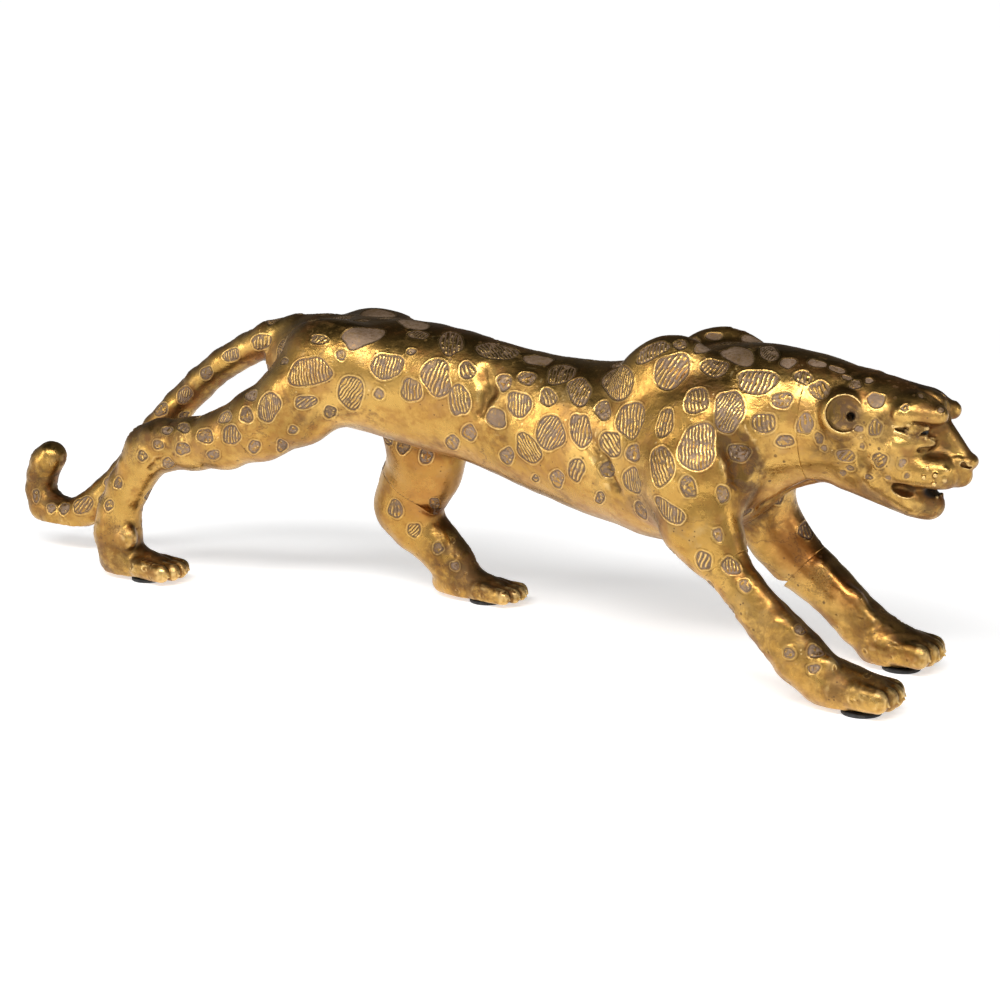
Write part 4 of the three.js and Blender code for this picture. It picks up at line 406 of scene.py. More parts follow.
    [243.8, 10.5, 152.2, 0.343, 0.292, 0.893, 0.42, 0.803, -0.424, 1.7, 1.4, 0, 2, 635],
    [199.4, 23.9, 125, 0.216, 0.943, -0.255, 0.399, 0.154, 0.904, 1.6, 1.4, -12, 1, 636],
    [210.5, 17.2, 114.9, 0.128, 0.854, -0.504, 0.779, 0.228, 0.584, 2, 1.7, 70, 1, 637],
    [-215.5, 8.7, 98.6, 0.395, 0.876, -0.276, 0.676, -0.074, 0.733, 4.9, 4, 6, 0, 1000],
    [-123, -16.8, 154.5, -0.509, -0.355, 0.784, 0.643, 0.448, 0.621, 6.6, 4.3, 8, 1, 1001],
    [-179.8, 8.7, 128.4, 0.156, 0.948, -0.276, 0.723, 0.081, 0.686, 5, 3.8, 79, 0, 1002],
    [-281.1, 1, 51.1, -0.659, 0.111, 0.744, 0.748, -0.007, 0.664, 4.3, 3.4, -12, 1, 1003],
    [160.6, -30.1, 85.5, 0.911, 0.405, -0.077, 0.07, 0.031, 0.997, 4.2, 3.2, 51, 1, 1004],
    [-150.4, -17.6, 101.4, -0.299, 0.948, 0.106, 0.032, -0.101, 0.994, 6.9, 6, 4, 0, 1005],
    [-77.7, 46.1, 72.2, -0.124, 0.965, 0.232, 0.03, -0.23, 0.973, 4.6, 3.3, -11, 0, 1006],
    [111.8, 5.8, 163.1, -0.286, -0.439, 0.852, 0.465, 0.713, 0.524, 4.6, 4.1, 66, 0, 1007],
    [183.8, 21.2, 111.7, 0.236, 0.784, -0.574, 0.165, 0.55, 0.819, 7.9, 5.4, 92, 0, 1008],
    [140.5, 44.5, 52.9, -0.533, 0.712, -0.456, -0.274, 0.365, 0.89, 2.9, 2.1, 127, 1, 1009],
    [-150.2, 2.5, 155.6, -0.235, 0.202, 0.951, 0.721, -0.619, 0.31, 7.9, 7.4, 10, 0, 1010],
    [-91.6, 46, 40.4, -0.377, 0.837, -0.397, -0.163, 0.362, 0.918, 2.8, 2.1, 125, 1, 1011],
    [-100, 36.4, 39.2, -0.825, 0.259, -0.502, -0.479, 0.15, 0.865, 2.7, 2.1, 72, 1, 1012],
    [-130.5, 18.9, 145.3, -0.595, 0.703, 0.389, 0.251, -0.297, 0.921, 5, 3.1, 6, 0, 1013],
    [-238.1, -29, 74.2, -0.86, 0.083, 0.503, 0.501, -0.048, 0.864, 4.1, 2.7, 49, 1, 1014],
    [198.3, 20.6, 116.6, 0.214, 0.831, -0.514, 0.128, 0.498, 0.858, 3.4, 2.7, 128, 1, 1015],
    [155, 49.9, 50.6, -0.183, 0.982, -0.041, -0.008, 0.041, 0.999, 4.5, 3.6, 15, 1, 1016],
    [-91.3, 22.6, 75.9, -0.795, -0.501, 0.342, 0.289, 0.182, 0.94, 4.2, 3.7, 101, 1, 1017],
    [-116.1, 23.8, 116.9, -0.466, 0.601, -0.65, -0.398, 0.513, 0.76, 7.2, 4.9, -11, 0, 1018],
    [-315.9, 5.3, 54.7, 0.755, 0.573, -0.319, 0.499, -0.185, 0.847, 3.2, 2.7, 5, 1, 1019],
    [-157.1, 9.9, 144.2, -0.192, 0.98, 0.061, 0.692, 0.091, 0.716, 3.4, 2.4, 91, 1, 1020],
    [29, 17.7, 84.3, -0.213, 0.702, -0.68, -0.197, 0.65, 0.733, 2.7, 2.5, 1, 1, 1021],
    [71, 7, 151, -0.119, 0.242, 0.963, 0.423, -0.865, 0.27, 7, 6.6, -18, 0, 1022],
    [-230.1, 5.9, 80.5, 0.612, 0.611, -0.501, 0.661, -0.048, 0.749, 4.1, 3.8, 5, 1, 1023],
    [95, -2.6, 157.7, -0.304, 0.068, 0.95, 0.927, -0.208, 0.311, 5.4, 3.5, 75, 0, 1024],
    [-65.8, 46.9, 24.2, -0.193, 0.957, -0.217, -0.043, 0.213, 0.976, 3.3, 2.8, 47, 1, 1025],
    [129.2, 42.4, 75.2, -0.621, 0.775, -0.115, -0.072, 0.09, 0.993, 3.9, 2.7, 4, 1, 1026],
    [-89, 32.2, 83.2, -0.84, 0.287, 0.461, 0.437, -0.149, 0.887, 4.2, 3.5, 4, 1, 1027],
    [-186.9, -22.1, 96.3, -0.119, 0.809, 0.575, 0.084, -0.569, 0.818, 6.9, 4.8, -1, 0, 1028],
    [-166.6, 9.5, 138.2, 0.069, 0.998, -0.005, 0.705, -0.045, 0.708, 4.8, 4.1, 24, 0, 1029],
    [-52.5, 34.7, 103.5, 0.405, 0.677, 0.614, -0.315, -0.527, 0.789, 4.8, 3.4, 67, 0, 1030],
    [-52, 41.2, 83.5, 0.458, 0.884, 0.088, -0.04, -0.078, 0.996, 4.1, 3.1, -47, 1, 1031],
    [-133, -15.4, 96.2, 0.035, 0.947, -0.319, 0.012, 0.318, 0.948, 7.8, 6.5, 125, 0, 1032],
    [210.2, 11.3, 103.9, -0.048, 0.825, -0.564, -0.033, 0.563, 0.826, 2.1, 1.9, 81, 1, 1033],
    [-202.7, 5.8, 105.8, 0.455, 0.604, -0.655, 0.779, 0.086, 0.621, 4, 2.7, 2, 1, 1034],
    [-46.7, 36.8, 92.6, 0.594, 0.778, 0.204, -0.124, -0.162, 0.979, 3.1, 2.1, 6, 1, 1035],
    [2.6, 15, 149.7, 0.167, 0.633, 0.756, -0.193, -0.731, 0.655, 4.8, 3.1, 52, 0, 1036],
    [-40.2, 21.4, 93.8, 0.993, -0.045, 0.107, -0.107, 0.005, 0.994, 3.4, 3.2, -30, 1, 1037],
    [-259.6, -8, 53.6, 0.393, -0.887, -0.241, 0.669, 0.096, 0.737, 4.6, 3.5, -10, 0, 1038],
    [165.1, 21.8, 98.1, 0.807, 0.231, -0.544, 0.523, 0.15, 0.839, 5, 4.7, 21, 0, 1039],
    [-149, 6.2, 123.5, -0.638, 0.573, -0.514, -0.382, 0.344, 0.858, 6.5, 4.3, 29, 0, 1040],
    [-48.5, 36.3, 67, 0.747, 0.573, -0.338, 0.268, 0.206, 0.941, 2.8, 2.3, 89, 1, 1041],
    [-120.4, 14.8, 156.8, -0.404, 0.308, 0.861, 0.685, -0.522, 0.508, 4.5, 3.7, 70, 0, 1042],
    [-230.2, -6.2, 80.6, 0.599, -0.636, -0.487, 0.662, 0.05, 0.748, 4.2, 4, 90, 1, 1043],
    [-83.8, -9.8, 161.8, 0.008, 0.016, 1, -0.466, -0.885, 0.018, 4.7, 3.8, 6, 0, 1044],
    [-40.6, 26.5, 108.1, 0.133, 0.895, -0.425, 0.062, 0.421, 0.905, 6.3, 4.8, 57, 0, 1045],
    [-245.8, 9, 73.4, 0.049, 0.997, -0.067, 0.708, 0.013, 0.706, 3.4, 2.3, 100, 1, 1046],
    [-258.1, 5.5, 50.6, 0.654, 0.602, -0.457, 0.622, -0.085, 0.778, 3.2, 2.2, 65, 1, 1047],
    [-212.2, -24.1, 95.2, -0.206, 0.601, 0.772, 0.25, -0.731, 0.635, 6.6, 6.1, 1, 0, 1048],
    [183.3, 50.8, 35.7, 0.18, 0.981, 0.078, -0.014, -0.076, 0.997, 3.4, 2.2, -16, 1, 1049],
    [-133.9, -12.3, 113, -0.757, 0.297, -0.583, -0.543, 0.213, 0.813, 6.2, 4.5, -15, 1, 1050],
    [-247.5, -3, 85.9, -0.757, -0.328, 0.565, 0.61, -0.045, 0.791, 3.9, 2.5, 4, 1, 1051],
    [191, 50.6, 29, 0.155, 0.982, 0.107, -0.017, -0.106, 0.994, 2.8, 2.2, 42, 1, 1052],
    [-80.2, 6.7, 96, -0.397, -0.7, -0.593, -0.293, -0.516, 0.805, 6.8, 5.4, -21, 0, 1053],
    [172.2, 43.3, 57, 0.556, 0.535, 0.636, -0.458, -0.441, 0.772, 3.9, 2.6, -14, 1, 1054],
    [-335.3, -4.6, 57.4, -0.801, -0.448, 0.397, 0.499, -0.133, 0.856, 3.5, 3, -20, 1, 1055],
    [199.4, 11.8, 105.8, -0.136, 0.695, -0.706, -0.136, 0.693, 0.708, 2.6, 2.4, -4, 1, 1056],
    [75.8, 24, 76.8, -0.188, 0.684, -0.705, -0.187, 0.68, 0.709, 3, 2.5, -12, 1, 1057],
    [216.2, 45.4, 22.7, 0.394, 0.459, 0.796, -0.518, -0.604, 0.605, 4.4, 4.2, 87, 1, 1058],
    [-50.1, 42, 31.5, 0.558, 0.569, 0.604, -0.423, -0.431, 0.797, 3, 2.5, 118, 1, 1059],
    [-338.7, 2.3, 23, -0.908, 0.207, -0.365, -0.251, 0.427, 0.869, 4.6, 3.6, 10, 1, 1060],
    [-234.2, 8.7, 91.8, -0.261, 0.927, 0.27, 0.709, -0.006, 0.705, 3.6, 2.8, 59, 1, 1061],
    [-302.3, 9.1, 29.1, -0.112, 0.92, 0.375, 0.741, -0.174, 0.649, 3.5, 3, 86, 1, 1062],
    [-328.6, 10.9, 25.4, -0.043, 0.993, -0.106, 0.707, 0.105, 0.7, 3.5, 2.8, 21, 1, 1063],
    [180.5, 47.4, 23.4, -0.46, 0.727, -0.509, -0.272, 0.43, 0.861, 2.7, 2, 86, 1, 1064],
    [-233.4, -22.7, 31.4, 0.797, 0.603, 0.025, -0.02, -0.015, 1, 3.8, 3, 84, 1, 1065],
    [-339.1, 4.4, 48.2, -0.855, 0.439, 0.278, 0.393, 0.196, 0.898, 4.9, 4.1, 15, 0, 1066],
    [119.4, 40.1, 83.5, -0.259, 0.852, -0.455, -0.133, 0.435, 0.89, 4.5, 3.1, -27, 0, 1067],
    [-131.8, 4.6, 160, 0.026, 0.22, 0.975, -0.115, -0.968, 0.222, 5.6, 4.4, 23, 0, 1068],
    [5, 20.4, 95.1, -0.159, 0.814, -0.558, -0.107, 0.548, 0.83, 6, 5.2, 67, 0, 1069],
    [-79, 47.1, 32.3, -0.169, 0.917, -0.362, -0.065, 0.356, 0.932, 2.8, 1.8, 102, 1, 1070],
    [-284.9, 7.5, 28.5, 0.439, 0.79, -0.428, 0.704, -0.006, 0.71, 4.7, 4.3, -4, 0, 1071],
    [141.8, 45.6, 91.4, 0.127, 0.991, -0.035, 0.004, 0.034, 0.999, 4.1, 2.8, 79, 1, 1072],
    [-65.8, 43, 90.2, -0.023, 0.959, 0.284, 0.007, -0.284, 0.959, 2.7, 1.8, 133, 1, 1073],
    [-91.8, 22.2, 105, -0.664, 0.449, -0.598, -0.495, 0.335, 0.802, 6.5, 5, -4, 0, 1074],
    [-208.2, 1.9, 123.3, -0.502, 0.185, 0.845, 0.854, -0.046, 0.518, 3.4, 2.8, -2, 1, 1075],
    [-59.2, 37.6, 52.4, 0.703, 0.517, -0.488, 0.394, 0.289, 0.873, 4, 2.6, -7, 1, 1076],
    [20.6, 11.7, 149.3, 0.086, 0.53, 0.843, -0.135, -0.832, 0.537, 5.4, 3.7, 119, 1, 1077],
    [163.7, -47.9, 43.7, -0.657, -0.544, -0.523, -0.403, -0.333, 0.852, 4.3, 3.7, -8, 1, 1078],
    [-88, 19.7, 89.7, -0.967, -0.224, -0.118, -0.115, -0.027, 0.993, 4.4, 3.8, 2, 1, 1079],
    [156.2, 47.8, 65, 0.297, 0.914, 0.278, -0.086, -0.265, 0.961, 3.8, 2.8, 71, 1, 1080],
    [152.8, -47.9, 54.5, -0.522, -0.605, -0.601, -0.393, -0.455, 0.799, 3, 2.5, 81, 1, 1081],
    [170.8, -42.2, 32.7, -0.753, -0.017, -0.658, -0.658, -0.015, 0.753, 4.6, 3.7, 69, 1, 1082],
    [-81.4, 49.3, 45.8, 0.039, 0.995, -0.096, 0.004, 0.096, 0.995, 3, 2.3, -17, 1, 1083],
    [219.8, 13.4, 103, -0.311, 0.693, -0.65, -0.266, 0.593, 0.76, 1.9, 1.6, 64, 1, 1084],
    [-124.4, 27.3, 132.2, -0.712, 0.659, -0.243, -0.179, 0.165, 0.97, 5.5, 4.9, 66, 0, 1085],
    [-325.2, 6.7, 36.2, 0.634, 0.715, 0.296, 0.385, -0.623, 0.68, 3.3, 2.7, -21, 1, 1086],
    [-251.8, -8.8, 72.2, -0.169, -0.949, 0.268, 0.721, 0.066, 0.69, 3.3, 2.8, 94, 1, 1087],
    [-261.4, -0.2, 71, -0.804, -0.02, 0.594, 0.594, -0.003, 0.804, 4, 3.6, -18, 1, 1088],
    [181.8, -49.1, 24.5, -0.616, -0.545, -0.569, -0.427, -0.377, 0.822, 3.2, 2.4, 91, 1, 1089],
    [-95.5, 35.8, 71, -0.834, 0.355, 0.422, 0.388, -0.165, 0.907, 4.5, 3.6, 83, 0, 1090],
    [-222.4, 3.9, 110, -0.551, 0.41, 0.727, 0.781, -0.051, 0.622, 4.1, 3, -18, 1, 1091],
    [121.4, 31.7, 154.6, -0.113, 0.901, 0.418, 0.052, -0.414, 0.909, 6.3, 4.7, 85, 0, 1092],
    [33.8, 27.9, 102.2, -0.158, 0.963, -0.218, -0.035, 0.215, 0.976, 5.4, 3.9, -16, 1, 1093],
    [-132.2, -18.7, 143.2, -0.546, -0.774, 0.319, 0.184, 0.261, 0.948, 5.4, 4.2, 0, 0, 1094],
    [-127.5, -35.4, 135.1, -0.615, -0.442, 0.653, 0.53, 0.381, 0.757, 4.8, 3.6, 0, 0, 1095],
    [-59.8, 31.9, 114.2, 0.242, 0.97, -0.029, 0.007, 0.028, 1, 4.8, 4.1, 64, 0, 1096],
    [-81.7, 35, 95, -0.632, 0.71, 0.311, 0.207, -0.232, 0.95, 6.2, 5.6, 97, 0, 1097],
    [-43, 41.9, 23.1, 0.718, 0.568, 0.401, -0.315, -0.249, 0.916, 3.9, 3.5, 65, 1, 1098],
    [-193, 4.6, 113, 0.535, 0.495, -0.685, 0.768, 0.053, 0.638, 4.4, 3.1, 16, 1, 1099],
    [-164.3, -26.6, 107.4, -0.348, 0.503, 0.792, 0.45, -0.651, 0.611, 7.3, 5.8, -10, 0, 1100],
    [96.2, 27.2, 74.8, -0.106, 0.718, -0.688, -0.101, 0.681, 0.725, 3.8, 3.4, 27, 1, 1101],
    [-106.6, -20.6, 162.1, -0.256, 0.093, 0.962, 0.904, -0.329, 0.273, 7, 4.8, -13, 0, 1102],
    [-42.3, 32.9, 83.2, 0.824, 0.557, -0.102, 0.085, 0.057, 0.995, 2.8, 2.2, 80, 1, 1103],
    [-196.1, 3.1, 131.7, -0.652, 0.318, 0.688, 0.724, -0.008, 0.69, 4.8, 3.5, 13, 0, 1104],
    [-266.7, 1.9, 40.3, 0.667, 0.2, -0.718, 0.731, 0.007, 0.682, 4.3, 3.6, 111, 1, 1105],
    [42.2, 18.5, 81.1, -0.209, 0.682, -0.701, -0.205, 0.67, 0.713, 4.3, 3.4, -31, 1, 1106],
    [-213.9, -4.6, 94.3, 0.641, -0.46, -0.615, 0.695, 0.008, 0.719, 3.7, 2.6, 121, 1, 1107],
    [-90.9, 44.4, 63.8, -0.457, 0.822, 0.34, 0.165, -0.297, 0.941, 3.6, 2.4, 69, 1, 1108],
    [-248.8, -6.8, 62, 0.432, -0.728, -0.532, 0.739, -0.051, 0.671, 3.8, 3.3, 95, 1, 1109],
    [-325, 4.5, 65.3, -0.236, 0.501, 0.833, 0.89, -0.233, 0.393, 3.6, 3.1, -28, 1, 1110],
    [-230.7, 5, 101.5, -0.619, 0.534, 0.575, 0.688, 0.017, 0.725, 3.8, 3.6, 118, 1, 1111],
    [-62.7, 46, 36.9, 0.268, 0.906, 0.328, -0.093, -0.314, 0.945, 2.9, 2.5, 4, 1, 1112],
    [130.4, 33, 60.8, -0.834, 0.016, -0.551, -0.551, 0.011, 0.835, 3.9, 2.9, 114, 1, 1113],
    [233.3, 20.8, 131.7, -0.054, 0.94, 0.336, 0.019, -0.336, 0.942, 3.7, 2.4, 73, 1, 1114],
    [146.1, 40.9, 43, -0.703, 0.376, -0.603, -0.532, 0.285, 0.797, 3.6, 2.7, -16, 1, 1115],
    [-147, -25.7, 118.6, -0.552, 0.406, 0.728, 0.587, -0.431, 0.685, 5.7, 4.3, -16, 1, 1116],
    [119.5, -37, 75.1, -0.685, -0.284, -0.671, -0.62, -0.257, 0.742, 3.4, 2.7, -7, 1, 1117],
    [-76.5, 42.8, 24.2, -0.408, 0.68, -0.609, -0.313, 0.523, 0.793, 3, 2, -7, 1, 1118],
    [107, 36, 83, -0.27, 0.781, -0.564, -0.184, 0.533, 0.826, 3, 1.9, 104, 1, 1119],
    [-260.2, -29, 23, -0.984, 0.08, -0.158, -0.158, 0.013, 0.987, 3.9, 3.5, 93, 1, 1120],
    [-251.2, -32, 52.4, -0.876, -0.203, 0.438, 0.426, 0.099, 0.899, 3.2, 2.5, 109, 1, 1121],
    [-238.9, -1.4, 68.9, 0.722, -0.145, -0.677, 0.684, 0.005, 0.729, 4, 2.7, -17, 1, 1122],
    [-116.2, 3, 161.6, -0.061, 0.101, 0.993, 0.514, -0.849, 0.119, 5.7, 5.4, 56, 0, 1123],
    [166.4, 46, 33.2, -0.398, 0.689, -0.606, -0.303, 0.525, 0.795, 4.2, 3.8, 17, 1, 1124],
    [-329.8, 9.3, 56.6, -0.257, 0.92, 0.296, 0.715, -0.026, 0.699, 3.5, 3, -5, 1, 1125],
    [-147.9, -9.1, 127, -0.566, -0.765, -0.308, -0.183, -0.248, 0.951, 4.7, 3.9, 101, 1, 1126],
    [-100.2, 34, 156.8, -0.121, 0.811, 0.573, 0.085, -0.566, 0.82, 4.7, 3.9, 7, 0, 1127],
    [-172.2, 3, 146.1, -0.357, 0.305, 0.883, 0.905, -0.122, 0.408, 3.7, 2.7, 105, 1, 1128],
    [146.6, 48, 71, 0.025, 0.985, 0.171, -0.004, -0.171, 0.985, 3.7, 3.4, 36, 1, 1129],
    [132.2, 46.9, 102.2, -0.021, 0.996, -0.089, -0.002, 0.089, 0.996, 5.1, 3.5, 27, 0, 1130],
    [119.8, -46.1, 84.2, -0.694, -0.656, -0.296, -0.215, -0.204, 0.955, 2.8, 2, 0, 1, 1131],
    [-116.2, -13.1, 100.7, -0.078, 0.726, -0.683, -0.073, 0.679, 0.73, 8.1, 6.1, -11, 0, 1132],
    [-63.4, 45.5, 72.2, 0.191, 0.982, -0.017, 0.003, 0.017, 1, 4.1, 3.7, 106, 1, 1133],
    [-229, -33.9, 89.2, -0.628, -0.319, 0.71, 0.633, 0.322, 0.704, 3.9, 3.7, -8, 1, 1134],
    [-285, 7.7, 43, -0.39, 0.818, 0.423, 0.716, -0.019, 0.697, 3.3, 2.4, -1, 1, 1135],
    [165.1, 33.8, 106.7, 0.808, 0.532, -0.253, 0.212, 0.139, 0.967, 5.7, 4.6, -13, 0, 1136],
    [130.4, -46.4, 68, -0.486, -0.533, -0.692, -0.466, -0.512, 0.722, 3.8, 2.7, -2, 1, 1137],
    [166.4, -35.7, 70.3, 0.844, 0.496, 0.206, -0.178, -0.104, 0.979, 3.8, 3.5, -22, 1, 1138],
    [-271.5, 5.1, 58.3, -0.597, 0.545, 0.589, 0.704, 0.003, 0.71, 4.2, 3, 143, 1, 1139],
    [225.8, 10.6, 155, 0.21, 0.508, 0.835, -0.318, -0.772, 0.55, 2.7, 2.1, -20, 1, 1140],
    [-258.5, -30.2, 37.1, -0.979, -0.011, 0.202, 0.202, 0.002, 0.979, 4.1, 2.9, 21, 1, 1141],
    [-111.5, 26.3, 159.6, -0.401, 0.334, 0.853, 0.656, -0.546, 0.522, 4.9, 3, 112, 1, 1142],
    [157.8, 17.8, 86.2, 0.831, -0.16, -0.533, 0.523, -0.101, 0.846, 4.5, 3.1, 122, 0, 1143],
    [-98.8, 42.4, 54.8, -0.728, 0.644, 0.236, 0.177, -0.157, 0.972, 4.3, 3, 78, 1, 1144],
    [242.6, 4.6, 153.9, 0.26, 0.178, 0.949, -0.784, -0.536, 0.315, 2.2, 1.8, -13, 1, 1145],
    [173, 49.5, 47.2, 0.2, 0.932, 0.301, -0.063, -0.294, 0.954, 4, 3.3, 92, 1, 1146],
    [97, 36.3, 88.5, -0.189, 0.897, -0.399, -0.082, 0.39, 0.917, 4.3, 3.4, 84, 1, 1147],
    [120.2, 44.7, 95.9, -0.147, 0.963, -0.225, -0.034, 0.223, 0.974, 5.2, 3.5, 15, 0, 1148],
    [-260.2, 8.7, 61.4, -0.159, 0.977, 0.144, 0.705, 0.011, 0.709, 3.9, 3, -21, 1, 1149],
    [202.4, 49.6, 24.8, 0.299, 0.888, 0.35, -0.112, -0.332, 0.937, 3.1, 2, -46, 1, 1150],
    [194.5, 45.3, 37.1, 0.533, 0.564, 0.631, -0.434, -0.459, 0.776, 2.7, 2.5, 107, 1, 1151],
    [-70.6, 46.9, 60.2, 0.237, 0.97, -0.048, 0.011, 0.046, 0.999, 3.7, 3.4, -11, 1, 1152],
    [-132.3, 18.4, 124.5, -0.438, 0.847, -0.302, -0.139, 0.268, 0.953, 5.7, 4.1, 86, 0, 1153],
    [-88.3, 42.6, 31.7, -0.527, 0.648, -0.549, -0.347, 0.426, 0.836, 2.9, 2.1, 3, 1, 1154],
    [121.4, 46.5, 115.4, -0.138, 0.989, 0.058, 0.008, -0.058, 0.998, 5.4, 4.1, -19, 0, 1155],
    [155, -16, 85.4, 0.664, -0.221, -0.714, 0.678, -0.225, 0.7, 3.7, 2.9, -23, 1, 1156],
    [17.9, 18.3, 88.5, -0.19, 0.748, -0.636, -0.157, 0.617, 0.771, 3, 2.8, 96, 1, 1157],
    [-340, -5.6, 32, -0.76, -0.576, -0.301, 0.207, -0.654, 0.728, 3.4, 2.7, 7, 1, 1158],
    [65.6, 23.2, 78.8, -0.201, 0.704, -0.681, -0.187, 0.655, 0.732, 3, 2.4, -24, 1, 1159],
    [109.5, 33, 145.4, -0.312, 0.866, 0.391, 0.132, -0.368, 0.92, 5.7, 4.1, 6, 0, 1160],
    [-338.3, 8, 34.9, -0.542, 0.838, -0.065, 0.525, 0.398, 0.752, 4.1, 2.5, -21, 1, 1161],
    [234.1, 9.3, 154.2, 0.083, 0.342, 0.936, -0.22, -0.91, 0.352, 2.4, 2.1, 98, 1, 1162],
    [-214.1, 8.8, 110.1, -0.218, 0.941, 0.26, 0.714, -0.028, 0.7, 3.3, 2.6, 63, 1, 1163],
    [160.3, 32.6, 91.1, 0.91, 0.323, -0.26, 0.245, 0.087, 0.966, 3.1, 2.8, -1, 1, 1164],
    [-101.1, 28.3, 56.9, -0.902, -0.325, 0.283, 0.266, 0.096, 0.959, 4.1, 3.5, 89, 1, 1165],
    [143.7, 30.4, 154.4, 0.257, 0.765, 0.59, -0.188, -0.559, 0.807, 4.7, 3.9, 96, 0, 1166],
    [-102.6, 29.8, 45.8, -0.959, -0.226, -0.17, -0.165, -0.039, 0.986, 3.3, 2.7, 94, 1, 1167],
    [-74.2, 3.4, 162.5, -0.017, 0.095, 0.995, 0.179, -0.979, 0.096, 5.8, 4.8, 138, 0, 1168],
    [-71.5, 47.1, 48.2, 0.393, 0.914, 0.102, -0.04, -0.094, 0.995, 3.1, 2.1, 80, 1, 1169],
    [-140.9, 12.4, 148.5, -0.356, 0.915, 0.189, 0.069, -0.176, 0.982, 4.5, 4, 69, 0, 1170],
    [-121.6, 29.2, 148.3, -0.662, 0.658, 0.358, 0.254, -0.253, 0.934, 6, 4, 83, 0, 1171],
    [-70.7, 35.5, 105.9, -0.163, 0.864, 0.477, 0.088, -0.469, 0.879, 5.5, 4.2, 91, 0, 1172],
    [-18.8, 28, 116.1, 0.06, 0.978, -0.202, 0.012, 0.202, 0.979, 4.8, 4.3, 79, 0, 1173],
    [55.4, 3.9, 150.8, -0.008, 0.162, 0.987, 0.048, -0.986, 0.162, 4.8, 4.1, -8, 0, 1174],
    [202.7, 4.3, 161.7, 0.201, 0.194, 0.96, -0.69, -0.668, 0.279, 3.6, 2.4, -16, 1, 1175],
    [134, 43.6, 64.5, -0.62, 0.744, -0.247, -0.158, 0.19, 0.969, 3.6, 2.6, -38, 1, 1176],
    [153.2, 42.4, 83.5, 0.579, 0.782, 0.23, -0.137, -0.185, 0.973, 2.7, 2.5, 127, 1, 1177],
    [-191.8, 9.2, 123.8, -0.046, 0.998, -0.05, 0.706, 0.068, 0.705, 3.2, 2.4, 5, 1, 1178],
    [213.8, 3.6, 160.3, 0.118, 0.181, 0.976, -0.532, -0.818, 0.216, 3.6, 3.3, 19, 1, 1179],
    [-183.6, -0.2, 139.8, -0.491, -0.022, 0.871, 0.871, 0.006, 0.491, 4.9, 3.8, 87, 0, 1180],
    [237.9, -1.3, 113, 0.811, 0.567, 0.145, -0.119, -0.083, 0.989, 2.4, 2, 22, 1, 1181],
    [-109, 34.1, 124.1, -0.343, 0.845, -0.41, -0.155, 0.38, 0.912, 4.6, 3.1, 73, 0, 1182],
    [134.6, 1, 166.7, -0.162, 0.023, 0.987, 0.977, -0.139, 0.164, 6.1, 5.4, 0, 0, 1183],
    [122.2, 32.5, 73, -0.615, 0.371, -0.696, -0.596, 0.36, 0.718, 3.6, 2.6, 111, 1, 1184],
    [131.1, 44.6, 86.7, -0.228, 0.964, -0.139, -0.032, 0.135, 0.99, 2.8, 1.9, 125, 1, 1185],
    [-135.5, -26.7, 128.5, -0.781, 0.11, 0.614, 0.608, -0.086, 0.789, 5.5, 4.5, 97, 1, 1186],
    [-98.2, 33.2, 116.7, -0.199, 0.781, -0.592, -0.146, 0.573, 0.806, 6, 4.1, 10, 0, 1187],
    [-315.4, 9, 28.7, 0.135, 0.82, 0.555, 0.735, -0.459, 0.499, 4.7, 3.2, -25, 0, 1188],
    [-5.8, 7, 156.1, 0.188, 0.301, 0.935, -0.495, -0.793, 0.355, 4.7, 4.3, -21, 0, 1189],
    [-275.1, -8, 37.9, 0.422, -0.857, -0.296, 0.672, 0.077, 0.736, 3.8, 3.2, 59, 1, 1190],
    [231.8, 16.8, 148.9, -0.195, 0.756, 0.625, 0.156, -0.605, 0.781, 1.8, 1.5, 101, 1, 1191],
    [-244.8, -30.2, 65.1, -0.761, -0.018, 0.648, 0.648, 0.015, 0.762, 2.8, 2.2, -44, 1, 1192],
    [36.2, 5.3, 150.8, 0.047, 0.239, 0.97, -0.185, -0.952, 0.244, 4.6, 4, 34, 1, 1193],
    [-271, -8.9, 49.4, -0.084, -0.994, 0.065, 0.706, -0.013, 0.708, 3.6, 2.5, 104, 1, 1194],
    [-73, 44.2, 83, -0.201, 0.95, 0.241, 0.05, -0.236, 0.971, 3.4, 2.8, 7, 1, 1195],
    [-221.1, 2.9, 87.1, 0.652, 0.309, -0.692, 0.726, 0.009, 0.688, 3.3, 2.9, 95, 1, 1196],
    [248.2, 7, 150.9, 0.54, 0.266, 0.799, -0.717, -0.353, 0.602, 1.8, 1.6, -16, 1, 1197],
    [211.4, 17, 153, 0.205, 0.497, 0.843, -0.322, -0.779, 0.538, 3.6, 3.2, 68, 1, 1198],
    [-223.6, -27.2, 51.2, 0.824, 0.254, -0.507, 0.484, 0.149, 0.862, 4.4, 3.4, 74, 1, 1199],
    [136.6, 32.2, 51.5, -0.767, -0.214, -0.604, -0.582, -0.163, 0.797, 2.9, 2.4, 113, 1, 1200],
    [-147.4, 10.4, 138.2, -0.506, 0.861, 0.055, 0.028, -0.047, 0.999, 5.3, 3.4, 90, 1, 1201],
    [-237.2, -0.2, 97.2, -0.695, -0.021, 0.719, 0.719, 0, 0.695, 3.4, 2.4, 6, 1, 1202],
    [-243.4, 8.3, 84.2, -0.441, 0.867, 0.233, 0.649, 0.129, 0.75, 3.9, 3.7, -24, 1, 1203],
    [-206.2, 9.6, 115.4, -0.139, 0.98, 0.145, 0.708, -0.004, 0.707, 3.8, 3.3, 90, 1, 1204],
    [105.8, -9.1, 166.5, -0.153, 0.799, 0.582, 0.109, -0.571, 0.813, 5.2, 4.5, 74, 0, 1205],
    [-247.8, 6.3, 62.2, 0.499, 0.663, -0.559, 0.729, 0.028, 0.684, 3.5, 3.2, 61, 1, 1206],
